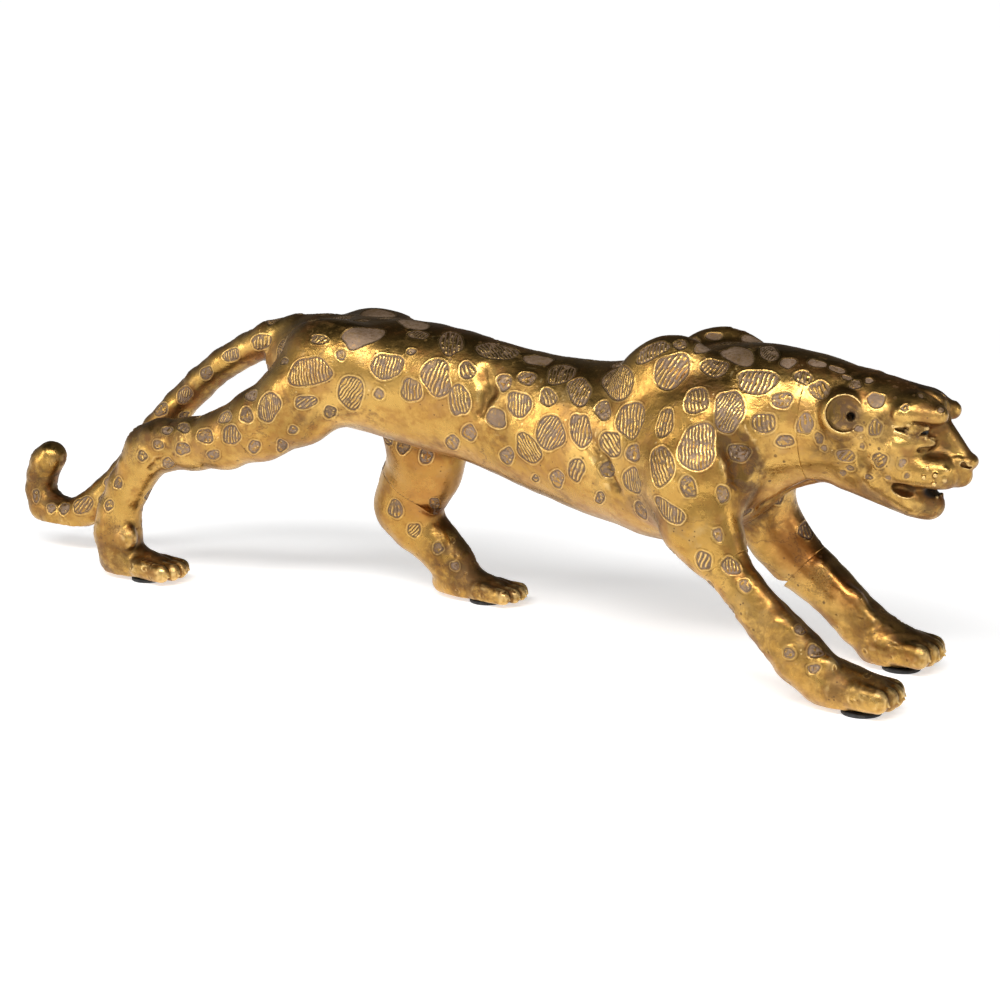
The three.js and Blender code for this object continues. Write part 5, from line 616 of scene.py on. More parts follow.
    [-83, 41.1, 81, -0.471, 0.783, 0.407, 0.21, -0.349, 0.913, 2.8, 1.7, 90, 1, 1207],
    [-55, 47.6, 24.2, 0.092, 0.978, 0.187, -0.017, -0.186, 0.982, 3.8, 2.6, 7, 1, 1208],
    [-232.1, -23.4, 82.6, -0.758, 0.541, 0.366, 0.298, -0.212, 0.931, 3.6, 2.9, 106, 1, 1209],
    [237.8, 20, 140.5, 0.284, 0.831, -0.479, 0.155, 0.453, 0.878, 2, 1.7, -9, 1, 1210],
    [-163.2, -18.8, 95.3, -0.133, 0.976, 0.172, 0.023, -0.17, 0.985, 4.7, 4.1, 1, 1, 1211],
    [97.3, 9.4, 157.8, -0.466, -0.048, 0.883, 0.879, 0.09, 0.469, 4.9, 3.6, 7, 0, 1212],
    [141.8, -47, 60.4, -0.425, -0.574, -0.7, -0.416, -0.563, 0.714, 3, 2, 21, 1, 1213],
    [-87.4, 34.7, 156.2, 0.088, 0.822, 0.563, -0.06, -0.56, 0.826, 5.1, 3.8, -32, 0, 1214],
    [32.6, 28.9, 114.2, -0.108, 0.994, 0.028, 0.003, -0.028, 1, 4.6, 3.2, 67, 0, 1215],
    [183.8, 46.2, 45.4, 0.42, 0.639, 0.644, -0.354, -0.538, 0.765, 3.4, 2.2, -27, 1, 1216],
    [-233.2, -36.8, 79.9, -0.763, -0.566, 0.312, 0.25, 0.186, 0.95, 2.9, 2.3, 17, 1, 1217],
    [-176.5, -33.8, 103.9, -0.353, -0.11, 0.929, 0.887, 0.277, 0.37, 5, 3.1, 106, 0, 1218],
    [-230.5, -24.4, 42.2, 0.784, 0.52, -0.339, 0.282, 0.187, 0.941, 3.1, 2.4, 85, 1, 1219],
    [-294.5, 4.1, 39.3, -0.479, 0.431, 0.764, 0.821, -0.089, 0.565, 3.8, 2.5, 1, 1, 1220],
    [-257.3, -38.1, 28.7, -0.759, -0.636, 0.14, 0.107, 0.09, 0.99, 2.8, 2.3, 14, 1, 1221],
    [-127, 13.3, 112.7, -0.388, 0.602, -0.698, -0.378, 0.587, 0.716, 4.8, 3.3, 78, 0, 1222],
    [85.4, 4.5, 154.5, -0.266, 0.146, 0.953, 0.834, -0.46, 0.303, 4.9, 3.2, 7, 0, 1223],
    [-56.6, 41.3, 62.9, 0.523, 0.8, -0.295, 0.162, 0.247, 0.956, 3.3, 2.5, 16, 1, 1224],
    [215, 8.5, 99.5, -0.168, 0.684, -0.71, -0.169, 0.689, 0.704, 2.2, 1.7, 74, 1, 1225],
    [-27.4, 19.4, 99.4, -0.023, 0.707, -0.707, -0.023, 0.706, 0.707, 4.6, 2.9, 115, 0, 1226],
    [-213.5, -3.9, 117.9, -0.673, -0.402, 0.621, 0.683, -0.015, 0.73, 3.3, 3.1, 107, 1, 1227],
    [-325.8, 8.7, 46.7, 0.387, 0.898, -0.208, 0.664, -0.114, 0.739, 3.5, 2.9, 82, 1, 1228],
    [-32.2, 29.6, 117.8, 0.103, 0.972, -0.21, 0.022, 0.209, 0.978, 4.5, 3.6, 55, 0, 1229],
    [237.8, 15.3, 151.2, 0.047, 0.587, 0.809, -0.064, -0.806, 0.588, 1.9, 1.3, -3, 1, 1230],
    [155.5, 46, 39.2, -0.303, 0.724, -0.62, -0.24, 0.572, 0.785, 3.1, 2.9, 26, 1, 1231],
    [54.2, 20.9, 79.9, -0.207, 0.7, -0.683, -0.194, 0.655, 0.73, 2.9, 2.3, -58, 1, 1232],
    [230.6, 19.3, 143, -0.087, 0.966, 0.245, 0.022, -0.244, 0.97, 1.9, 1.6, 40, 1, 1233],
    [-122.3, -30.3, 146.7, -0.675, -0.588, 0.445, 0.336, 0.292, 0.895, 6.3, 4.2, 37, 0, 1234],
    [146.6, 49, 60.2, -0.165, 0.985, -0.045, -0.007, 0.044, 0.999, 3.4, 3, -19, 1, 1235],
    [195.3, 16, 110, 0.182, 0.692, -0.699, 0.178, 0.676, 0.715, 1.9, 1.7, 119, 1, 1236],
    [-274.6, 9, 44.6, 0.027, 1, -0.007, 0.707, -0.014, 0.707, 3.4, 2.5, -14, 1, 1237],
    [-163.1, -1.4, 150.5, -0.466, -0.141, 0.873, 0.879, 0.042, 0.476, 3.6, 3.1, 70, 1, 1238],
    [-82.6, 48.5, 57.9, -0.036, 0.976, 0.213, 0.008, -0.212, 0.977, 3.2, 3, 67, 1, 1239],
    [78.2, -6.2, 152.4, -0.203, -0.208, 0.957, 0.668, 0.685, 0.291, 5.8, 3.8, 25, 1, 1240],
]
FACE = [
    ["E", [212.4, -21.6, 140.9], [1.9, 1.9, 4.6], [0, 74, -62], 1.8, "sub"],
    ["E", [212.4, 21.6, 140.9], [1.9, 1.9, 4.6], [0, 74, 62], 1.8, "sub"],
    ["C", [266.4, -3.4, 119.1], [263.8, -5.4, 120.3], [1.1, 1.3], 0.5, 1.0, [0, 1, 0], "sub"],
    ["C", [266.4, 3.4, 119.1], [263.8, 5.4, 120.3], [1.1, 1.3], 0.5, 1.0, [0, 1, 0], "sub"],
    ["C", [269.0, 0, 117.5], [265.8, 0, 109.5], [0.7, 0.8], 0.6, 1.0, [0, 1, 0], "sub"],
    ["C", [236.0, -18.9, 136.9], [246.2, -12.7, 135.1], [1.9, 1.5], 0.9, 1.0, [0, 1, 0], "sub"],
    ["E", [240.8, -15.2, 135.8], [3.5, 3.0, 2.2], [0, 0, 0], 0.4, "add"],
    ["C", [233.8, -19.8, 138.1], [240.6, -18.0, 139.3], [0.7, 1.15], 1.4, 1.0, [0, 1, 0]],
    ["C", [240.6, -18.0, 139.3], [247.8, -12.4, 137.1], [1.15, 0.8], 1.4, 1.0, [0, 1, 0]],
    ["C", [234.6, -19.6, 135.3], [240.8, -17.4, 133.1], [0.6, 0.95], 1.3, 1.0, [0, 1, 0]],
    ["C", [240.8, -17.4, 133.1], [247.2, -13.2, 132.7], [0.95, 0.6], 1.3, 1.0, [0, 1, 0]],
    ["C", [247.0, -13.4, 131.3], [252.0, -8.4, 131.2], [0.7, 1.1], 0.9, 1.0, [0, 1, 0], "sub"],
    ["C", [245.0, -14.6, 127.2], [256.0, -7.4, 128.0], [1.0, 1.5], 1.4, 1.0, [0, 1, 0], "sub"],
    ["C", [236.0, 18.9, 136.9], [246.2, 12.7, 135.1], [1.9, 1.5], 0.9, 1.0, [0, 1, 0], "sub"],
    ["E", [240.8, 15.2, 135.8], [3.5, 3.0, 2.2], [0, 0, 0], 0.4, "add"],
    ["C", [233.8, 19.8, 138.1], [240.6, 18.0, 139.3], [0.7, 1.15], 1.4, 1.0, [0, 1, 0]],
    ["C", [240.6, 18.0, 139.3], [247.8, 12.4, 137.1], [1.15, 0.8], 1.4, 1.0, [0, 1, 0]],
    ["C", [234.6, 19.6, 135.3], [240.8, 17.4, 133.1], [0.6, 0.95], 1.3, 1.0, [0, 1, 0]],
    ["C", [240.8, 17.4, 133.1], [247.2, 13.2, 132.7], [0.95, 0.6], 1.3, 1.0, [0, 1, 0]],
    ["C", [247.0, 13.4, 131.3], [252.0, 8.4, 131.2], [0.7, 1.1], 0.9, 1.0, [0, 1, 0], "sub"],
    ["C", [245.0, 14.6, 127.2], [256.0, 7.4, 128.0], [1.0, 1.5], 1.4, 1.0, [0, 1, 0], "sub"],
    ["C", [231.2, -20.5, 149.9], [228.8, -22.6, 139.9], [1.1, 1.6], 3.0, 1.0, [0, 1, 0], "sub"],
    ["C", [228.8, -22.6, 139.9], [230.6, -23.0, 131.4], [1.6, 1.0], 3.0, 1.0, [0, 1, 0], "sub"],
    ["C", [231.2, 20.5, 149.9], [228.8, 22.6, 139.9], [1.1, 1.6], 3.0, 1.0, [0, 1, 0], "sub"],
    ["C", [228.8, 22.6, 139.9], [230.6, 23.0, 131.4], [1.6, 1.0], 3.0, 1.0, [0, 1, 0], "sub"],
    ["C", [253.8, 0, 147.9], [254.8, 0, 139.9], [1.2, 1.4], 2.0, 1.0, [0, 1, 0], "sub"],
    ["C", [241.2, -6.0, 155.3], [251.2, -4.6, 149.3], [0.9, 1.0], 2.0, 1.0, [0, 1, 0], "sub"],
    ["C", [241.2, 6.0, 155.3], [251.2, 4.6, 149.3], [0.9, 1.0], 2.0, 1.0, [0, 1, 0], "sub"],
    ["E", [250.8, -17.6, 119.1], [1.1, 0.9, 1.1], [0, 0, 0], 1.6, "add"],
    ["E", [254.2, -16.0, 115.7], [1.1, 0.9, 1.1], [0, 0, 0], 1.6, "add"],
    ["E", [249.4, -18.4, 114.5], [1.1, 0.9, 1.1], [0, 0, 0], 1.6, "add"],
    ["E", [253.8, -15.8, 111.3], [1.1, 0.9, 1.1], [0, 0, 0], 1.6, "add"],
    ["E", [257.8, -13.0, 113.3], [1.1, 0.9, 1.1], [0, 0, 0], 1.6, "add"],
    ["E", [258.0, -12.2, 117.9], [1.1, 0.9, 1.1], [0, 0, 0], 1.6, "add"],
    ["E", [250.8, 17.6, 119.1], [1.1, 0.9, 1.1], [0, 0, 0], 1.6, "add"],
    ["E", [254.2, 16.0, 115.7], [1.1, 0.9, 1.1], [0, 0, 0], 1.6, "add"],
    ["E", [249.4, 18.4, 114.5], [1.1, 0.9, 1.1], [0, 0, 0], 1.6, "add"],
    ["E", [253.8, 15.8, 111.3], [1.1, 0.9, 1.1], [0, 0, 0], 1.6, "add"],
    ["E", [257.8, 13.0, 113.3], [1.1, 0.9, 1.1], [0, 0, 0], 1.6, "add"],
    ["E", [258.0, 12.2, 117.9], [1.1, 0.9, 1.1], [0, 0, 0], 1.6, "add"],
    ["C", [249.8, -3.4, 98.9], [250.4, -3.3, 102.3], [1.5, 1.0], 0.5, 1.0, [0, 1, 0]],
    ["C", [250.2, 0, 98.9], [250.8, 0, 102.3], [1.5, 1.0], 0.5, 1.0, [0, 1, 0]],
    ["C", [249.8, 3.4, 98.9], [250.4, 3.3, 102.3], [1.5, 1.0], 0.5, 1.0, [0, 1, 0]],
]

# ------------------------------------------------------------------ distance field
def rot(deg):
    ax, ay, az = np.radians(deg)
    c, s = np.cos, np.sin
    X = np.array([[1, 0, 0], [0, c(ax), -s(ax)], [0, s(ax), c(ax)]])
    Y = np.array([[c(ay), 0, s(ay)], [0, 1, 0], [-s(ay), 0, c(ay)]])
    Z = np.array([[c(az), -s(az), 0], [s(az), c(az), 0], [0, 0, 1]])
    return Z @ Y @ X


def smin(a, b, k):
    if k <= 0:
        return np.minimum(a, b)
    h = np.maximum(k - np.abs(a - b), 0) / k
    return np.minimum(a, b) - h * h * k * 0.25


def field_row(row, p):
    """Signed distance from one row of a table to points p (n x 3), in mm."""
    t = row[0]
    if t == "E":
        c, r = np.array(row[1], float), np.array(row[2], float)
        v = p - c
        if any(row[3]):
            v = v @ rot(row[3])
        a = v / r
        k0 = np.sqrt(np.einsum("ij,ij->i", a, a))
        b = a / r
        k1 = np.sqrt(np.einsum("ij,ij->i", b, b))
        return np.where(k0 < 1e-6, -r.min(), k0 * (k0 - 1) / np.maximum(k1, 1e-9))
    if t == "C":
        a, b = np.array(row[1], float), np.array(row[2], float)
        (r1, r2), q, n = row[3], row[5], np.array(row[6], float)
        n = n / np.linalg.norm(n)
        pa, ba, s = p - a, b - a, 1.0
        if q != 1:
            pa = pa + ((q - 1) * (pa @ n))[:, None] * n
            ba = ba + ((q - 1) * (ba @ n)) * n
            s = 1 / max(q, 1.0) ** 0.5
        l2 = ba @ ba
        rr = r1 - r2
        a2, il2 = l2 - rr * rr, 1 / l2
        y = pa @ ba
        z = y - l2
        tt = pa * l2 - y[:, None] * ba
        x2 = np.einsum("ij,ij->i", tt, tt)
        y2, z2 = y * y * l2, z * z * l2
        k = np.sign(rr) * rr * rr * x2
        d = (np.sqrt(x2 * a2 * il2) + y * rr) * il2 - r1
        d = np.where(np.sign(y) * a2 * y2 < k, np.sqrt(x2 + y2) * il2 - r1, d)
        d = np.where(np.sign(z) * a2 * z2 > k, np.sqrt(x2 + z2) * il2 - r2, d)
        return d * s
    if t == "L":
        T = np.array(row[1], float)
        X, x = T[:, 0], p[:, 0]
        xc = np.clip(x, X[0], X[-1])
        i = np.clip(np.searchsorted(X, xc, side="right") - 1, 0, len(X) - 2)
        h = X[i + 1] - X[i]
        u = (xc - X[i]) / h
        u2, u3 = u * u, u * u * u
        f0, f1, f2, f3 = 2 * u3 - 3 * u2 + 1, (u3 - 2 * u2 + u) * h, -2 * u3 + 3 * u2, (u3 - u2) * h

        def val(c):
            m = np.gradient(T[:, c], X)
            return f0 * T[i, c] + f1 * m[i] + f2 * T[i + 1, c] + f3 * m[i + 1]

        zt, zb, w, sh = val(1), val(2), val(3), val(4)
        zc = zb + (zt - zb) * sh
        y, z = p[:, 1], p[:, 2] - zc
        hz = np.where(z > 0, zt - zc, zc - zb)
        k0 = np.sqrt((y / w) ** 2 + (z / hz) ** 2)
        k1 = np.sqrt((y / w ** 2) ** 2 + (z / hz ** 2) ** 2)
        d = np.where(k0 < 1e-6, -np.minimum(w, hz), k0 * (k0 - 1) / np.maximum(k1, 1e-9))
        dx = np.abs(x - xc)
        return np.where(dx > 0, np.hypot(np.maximum(d, 0), dx), d)
    if t == "P":  # half space: solid on the side that the normal points away from
        return (p - np.array(row[1], float)) @ np.array(row[2], float)
    return field(row[1], p)


def row_k(row):
    return {"E": 4, "C": 4, "G": 2, "L": 9, "P": 3}[row[0]]


def blend_k(row):
    return 0 if row[0] == "L" else row[row_k(row)]


def row_op(row):
    if row[0] == "E" and len(row) > 5:
        return row[5]
    if row[0] == "C" and len(row) > 7:
        return row[7]
    if row[0] == "P":
        return "cut"
    return "add"


def join(d, v, row):
    k, op = blend_k(row), row_op(row)
    if op == "sub":
        return -smin(-d, v, k)
    if op == "cut":
        return -smin(-d, -v, k)
    return smin(d, v, k)


def field(rows, p):
    d = None
    for row in rows:
        v = field_row(row, p)
        d = v if d is None else join(d, v, row)
    return d


def field_blocks(rows, cen, offs, rb):
    """The field at cen + offs, each row evaluated only in the blocks that it can reach."""
    cv = [field_row(r, cen) for r in rows]
    um = np.full(len(cen), 1e3)
    for r, c in zip(rows, cv):
        if row_op(r) == "add":
            um = np.minimum(um, c)
    out = np.full((len(cen), len(offs)), 1e3)
    for r, c in zip(rows, cv):
        k, op = blend_k(r), row_op(r)
        if op == "add":
            act = c < um + 2.9 * rb + k
        elif op == "sub":
            act = c < 1.5 * rb + k + 1
        else:
            act = c > -1.2 * rb - k
        ix = np.nonzero(act)[0]
        if not len(ix):
            continue
        if r[0] == "G":
            v = field_blocks(r[1], cen[ix], offs, rb)
        else:
            step = max(1, int(6e5 // len(offs)))
            v = np.concatenate([
                field_row(r, (cen[ix[s:s + step], None, :] + offs[None]).reshape(-1, 3)).reshape(-1, len(offs))
                for s in range(0, len(ix), step)])
        out[ix] = join(out[ix], v, r)
    return out


def grid_of(rows, lo, hi, h, coarse=8):
    lo = np.asarray(lo, float)
    nb = np.ceil((np.asarray(hi, float) - lo) / h / coarse).astype(int)
    H = h * coarse
    ii = np.stack(np.meshgrid(*[np.arange(k) for k in nb], indexing="ij"), -1).reshape(-1, 3)
    half = (coarse - 1) / 2 * h
    cen = lo + ii * H + half
    rb = H * 0.5 * 3 ** 0.5
    dc = field(rows, cen)
    near = np.abs(dc) < rb * 1.6 + 2.5
    out = np.repeat(np.repeat(np.repeat(np.where(dc < 0, -H, H).astype(np.float32).reshape(nb), coarse, 0), coarse, 1), coarse, 2)
    o = np.stack(np.meshgrid(*[np.arange(coarse)] * 3, indexing="ij"), -1).reshape(-1, 3)
    v = field_blocks(rows, cen[near], o * h - half, rb)
    g = ii[near][:, None, :] * coarse + o[None]
    out[g[..., 0], g[..., 1], g[..., 2]] = v
    return out, lo


def nets(g, lo, h):
    """Quads of the zero surface of a grid, one vertex per crossed cell."""
    neg = g < 0
    n = np.array(g.shape)
    shape = tuple(n - 1)
    cells, pts, quads = [], [], []
    for ax in range(3):
        a = [slice(None)] * 3
        b = [slice(None)] * 3
        a[ax], b[ax] = slice(0, -1), slice(1, None)
        e = np.argwhere(neg[tuple(a)] != neg[tuple(b)])
        ok = e[:, ax] <= n[ax] - 2
        for m in range(3):
            if m != ax:
                ok &= (e[:, m] >= 1) & (e[:, m] <= n[m] - 2)
        e = e[ok]
        f = e.copy()
        f[:, ax] += 1
        fa, fb = g[e[:, 0], e[:, 1], e[:, 2]], g[f[:, 0], f[:, 1], f[:, 2]]
        pt = e.astype(float)
        pt[:, ax] += fa / (fa - fb)
        u, w = (ax + 1) % 3, (ax + 2) % 3
        q = []
        for du, dw in ((0, 0), (1, 0), (1, 1), (0, 1)):
            c = e.copy()
            c[:, u] -= du
            c[:, w] -= dw
            q.append(np.ravel_multi_index(c.T, shape))
            cells.append(q[-1])
            pts.append(pt)
        q = np.stack(q, 1)
        flip = fa >= 0
        q[flip] = q[flip][:, ::-1]
        quads.append(q)
    used, inv = np.unique(np.concatenate(cells), return_inverse=True)
    pts = np.concatenate(pts)
    cnt = np.bincount(inv)
    V = np.stack([np.bincount(inv, pts[:, m]) / cnt for m in range(3)], 1) * h + lo
    q = np.searchsorted(used, np.concatenate(quads))
    return V, q


def settle(rows, V, h, it=2):
    """Moves vertices on to the surface and returns them with its normals."""
    e = 0.25
    for k in range(it + 1):
        D = [field(rows, V)] if k < it else [0]
        g = np.stack([field(rows, V + e * np.eye(3)[m]) - field(rows, V - e * np.eye(3)[m]) for m in range(3)], 1) / (2 * e)
        ln = np.linalg.norm(g, axis=1, keepdims=True)
        g /= np.maximum(ln, 1e-6)
        if k < it:
            V = V - g * np.clip(D[0] / np.maximum(ln[:, 0], 0.3), -0.4 * h, 0.4 * h)[:, None]
    return V, g


# worked creases: muscle folds cut softly into the castings
CREASES = [
    ["C", [153.5, -41.6, 132.5], [160.4, -40.5, 124.0], [1.2, 2.4], 9.0, 1.0, [0, 1, 0], "sub"],
    ["C", [153.5, 41.6, 132.5], [160.4, 40.5, 124.0], [1.2, 2.4], 9.0, 1.0, [0, 1, 0], "sub"],
    ["C", [160.4, -40.5, 124.0], [163.8, -38.9, 116.0], [2.4, 2.8], 9.0, 1.0, [0, 1, 0], "sub"],
    ["C", [160.4, 40.5, 124.0], [163.8, 38.9, 116.0], [2.4, 2.8], 9.0, 1.0, [0, 1, 0], "sub"],
    ["C", [163.8, -38.9, 116.0], [163.0, -39.3, 108.0], [2.8, 1.6], 9.0, 1.0, [0, 1, 0], "sub"],
    ["C", [163.8, 38.9, 116.0], [163.0, 39.3, 108.0], [2.8, 1.6], 9.0, 1.0, [0, 1, 0], "sub"],
    ["C", [74.4, -35.0, 118.3], [85.0, -38.2, 107.0], [0.6, 1.0], 6.0, 1.0, [0, 1, 0], "sub"],
    ["C", [74.4, 35.0, 118.3], [85.0, 38.2, 107.0], [0.6, 1.0], 6.0, 1.0, [0, 1, 0], "sub"],
    ["C", [85.0, -38.2, 107.0], [92.4, -37.7, 93.2], [1.0, 1.2], 6.0, 1.0, [0, 1, 0], "sub"],
    ["C", [85.0, 38.2, 107.0], [92.4, 37.7, 93.2], [1.0, 1.2], 6.0, 1.0, [0, 1, 0], "sub"],
    ["C", [3.2, -21.1, 143.2], [8.8, -25.2, 133.6], [0.6, 0.9], 7.0, 1.0, [0, 1, 0], "sub"],
    ["C", [3.2, 21.1, 143.2], [8.8, 25.2, 133.6], [0.6, 0.9], 7.0, 1.0, [0, 1, 0], "sub"],
    ["C", [8.8, -25.2, 133.6], [4.7, -27.5, 122.9], [0.9, 0.6], 7.0, 1.0, [0, 1, 0], "sub"],
    ["C", [8.8, 25.2, 133.6], [4.7, 27.5, 122.9], [0.9, 0.6], 7.0, 1.0, [0, 1, 0], "sub"],
    ["C", [186.7, -9.9, 103.1], [172.4, -3.8, 94.9], [1.0, 1.8], 5.0, 1.0, [0, 1, 0], "sub"],
    ["C", [172.4, -3.8, 94.9], [162.7, -9.5, 88.6], [1.8, 2.0], 5.0, 1.0, [0, 1, 0], "sub"],
    ["C", [-211.4, -39.9, 68.9], [-203.2, -42.5, 74.9], [0.8, 1.2], 3.0, 1.0, [0, 1, 0], "sub"],
    ["C", [-203.2, -42.5, 74.9], [-191.3, -44.2, 80.7], [1.2, 0.8], 3.0, 1.0, [0, 1, 0], "sub"],
]
# painted shade, near black, in the face's recesses: centre, radii
RECESS_SHADE = [
    ([247.4, 0.0, 104.5], [5.0, 8.5, 3.6]),
    ([238.8, -14.6, 106.1], [5.4, 5.0, 3.0]), ([238.8, 14.6, 106.1], [5.4, 5.0, 3.0]),
    ([212.4, -19.6, 140.9], [2.4, 3.4, 2.4]), ([212.4, 19.6, 140.9], [2.4, 3.4, 2.4]),
    ([246.8, -12.0, 135.2], [2.6, 2.4, 1.5]), ([246.8, 12.0, 135.2], [2.6, 2.4, 1.5]),
]
# painted shade in creases and low places, and brown patina where old varnish has gathered: centre, radii, strength
SHADE_AND_BROWN = [
    ([210.5, -24.0, 142.5], [10.5, 9.0, 10.5], 0.95), ([210.5, 24.0, 142.5], [10.5, 9.0, 10.5], 0.95),
    ([244.0, -15.0, 136.0], [13.0, 8.0, 7.0], 0.75), ([244.0, 15.0, 136.0], [13.0, 8.0, 7.0], 0.75),
    ([251.5, -11.0, 129.5], [7.0, 6.0, 3.2], 0.45), ([251.5, 11.0, 129.5], [7.0, 6.0, 3.2], 0.45),
    ([252.0, 0.0, 112.0], [20.0, 22.0, 12.0], 0.50), ([244.0, 0.0, 97.0], [16.0, 16.0, 10.0], 0.60),
    ([225.0, 0.0, 103.0], [26.0, 26.0, 14.0], 0.40), ([229.0, -22.0, 139.0], [6.0, 6.0, 13.0], 0.45), ([229.0, 22.0, 139.0], [6.0, 6.0, 13.0], 0.45),
    ([203.0, -24.0, 126.0], [14.0, 12.0, 10.0], 0.50), ([203.0, 24.0, 126.0], [14.0, 12.0, 10.0], 0.50),
    ([241.0, -16.0, 136.6], [8.5, 5.0, 3.6], 1.0), ([241.0, 16.0, 136.6], [8.5, 5.0, 3.6], 1.0), ([248.0, 0.0, 126.0], [26.0, 26.0, 28.0], 0.38),
    ([158.0, -31.0, 112.0], [17.0, 18.0, 26.0], 0.90), ([158.0, 31.0, 112.0], [17.0, 18.0, 26.0], 0.90),
    ([146.0, -28.0, 84.0], [26.0, 24.0, 18.0], 0.55), ([150.0, 0.0, 76.0], [40.0, 30.0, 22.0], 0.65),
    ([84.0, -40.0, 96.0], [8.0, 12.0, 36.0], 0.30), ([84.0, 40.0, 96.0], [8.0, 12.0, 36.0], 0.30),
    ([105.0, -46.0, 84.0], [30.0, 16.0, 22.0], 0.35), ([105.0, 46.0, 84.0], [30.0, 16.0, 22.0], 0.35),
    ([14.0, -30.0, 118.0], [12.0, 14.0, 26.0], 0.35), ([14.0, 30.0, 118.0], [12.0, 14.0, 26.0], 0.35),
    ([-330.0, 0.0, 45.0], [44.0, 24.0, 30.0], 0.60), ([-205.0, -38.0, 92.0], [42.0, 20.0, 12.0], 0.55), ([-120.0, -20.0, 150.0], [18.0, 26.0, 16.0], 0.55),
    ([-200.0, 0.0, 118.0], [50.0, 18.0, 18.0], 0.40), ([-38.0, 24.0, 28.0], [32.0, 22.0, 30.0], 0.65), ([-20.0, 36.0, 10.0], [40.0, 26.0, 12.0], 0.45),
    ([190.0, -40.0, 34.0], [44.0, 24.0, 30.0], 0.45), ([228.0, -40.0, 16.0], [36.0, 24.0, 16.0], 0.45), ([214.0, 38.0, 20.0], [44.0, 24.0, 26.0], 0.40), ([-235.0, -32.0, 14.0], [36.0, 22.0, 16.0], 0.45),
]
# where the leaf is thin and the red clay shows: centre, radii, strength
RED = [
    ([172.0, 22.0, 66.0], [26.0, 20.0, 26.0], 1.0), ([196.0, 24.0, 48.0], [22.0, 18.0, 20.0], 1.0), ([-60.0, 22.0, 66.0], [30.0, 20.0, 30.0], 0.7), ([-10.0, 0.0, 84.0], [120.0, 20.0, 16.0], 0.7),
    ([176.0, -22.0, 58.0], [34.0, 10.0, 36.0], 0.8), ([-200.0, -22.0, 60.0], [60.0, 8.0, 50.0], 0.8), ([196.0, 0.0, 101.0], [40.0, 22.0, 8.0], 0.6),
]
LIMB_X = {
    "foreR": [
        ["E", [190.6, -50.0, 40.0], [7.0, 4.6, 6.0], [0, 20, 0], 4.0, "add"],
        ["C", [172.0, -45.0, 59.0], [204.0, -48.5, 33.0], [3.0, 2.6], 6.0, 1.0, [0, 1, 0]],
        ["E", [215.0, -49.0, 24.0], [6.0, 4.4, 5.0], [0, 20, 0], 4.0, "add"],
    ],
    "foreL": [
        ["E", [193.7, 30.5, 34.7], [7.0, 4.6, 6.0], [0, 20, 0], 4.0, "add"],
        ["C", [176.0, 30.0, 50.0], [206.0, 30.0, 26.0], [3.0, 2.4], 4.5, 1.0, [0, 1, 0]],
    ],
    "hindR": [
        ["E", [-233.0, -37.0, 26.0], [6.5, 5.0, 7.0], [0, 0, 0], 4.0, "add"],
        ["E", [-211.0, -38.5, 88.0], [6.0, 3.4, 4.4], [0, 20, 0], 4.0, "add"],
        ["C", [-232.0, -37.5, 70.0], [-236.0, -37.0, 36.0], [2.6, 2.6], 4.0, 1.0, [0, 1, 0]],
    ],
    "hindL": [
        ["E", [-56.0, 20.5, 58.0], [8.0, 5.0, 8.0], [0, 20, 0], 5.0, "add"],
    ],
}
for _n in ("foreR", "foreL", "hindR", "hindL"):
    for _r in [r for r in T[_n] if r[0] == "C" and abs(r[5] - 1.28) < 0.01]:
        _a, _b = np.array(_r[1], float), np.array(_r[2], float)
        _ra, _rb = _r[3]
        _c = _a + (_b - _a) * 0.42 + np.array([0, 0, _ra * 0.42])
        LIMB_X[_n].append(["E", list(_c), [4.0, 2.8, 2.0], [0, 25, 0], 2.4, "add"])
        _c = _a + (_b - _a) * 0.9 + np.array([0, 0, _rb * 0.30])
        LIMB_X[_n].append(["E", list(_c), [3.2, 2.6, 1.8], [0, 30, 0], 1.8, "add"])
        LIMB_X[_n].append(["C", list(_b + [_rb * 0.72, 0, _rb * 0.1]), list(_b + [_rb * 1.10, 0, -_rb * 0.22]), [1.25, 0.55], 0.8, 1.0, [0, 1, 0]])

# ------------------------------------------------------------------ mesh helpers
def quad_normals(V, Q):
    n = np.cross(V[Q[:, 2]] - V[Q[:, 0]], V[Q[:, 3]] - V[Q[:, 1]])
    N = np.zeros_like(V)
    for m in range(4):
        for c in range(3):
            N[:, c] += np.bincount(Q[:, m], n[:, c], minlength=len(V))
    return N / np.maximum(np.linalg.norm(N, axis=1, keepdims=True), 1e-12)


def relax(V, Q, w, it=1):
    """Moves each vertex towards the mean of its neighbours, by share w (per vertex)."""
    e = np.concatenate([Q[:, [0, 1]], Q[:, [1, 2]], Q[:, [2, 3]], Q[:, [3, 0]]])
    e = np.concatenate([e, e[:, ::-1]])
    cnt = np.bincount(e[:, 0], minlength=len(V))
    for _ in range(it):
        m = np.stack([np.bincount(e[:, 0], V[e[:, 1], c], minlength=len(V)) for c in range(3)], 1) / np.maximum(cnt, 1)[:, None]
        V = V + (m - V) * w
    return V


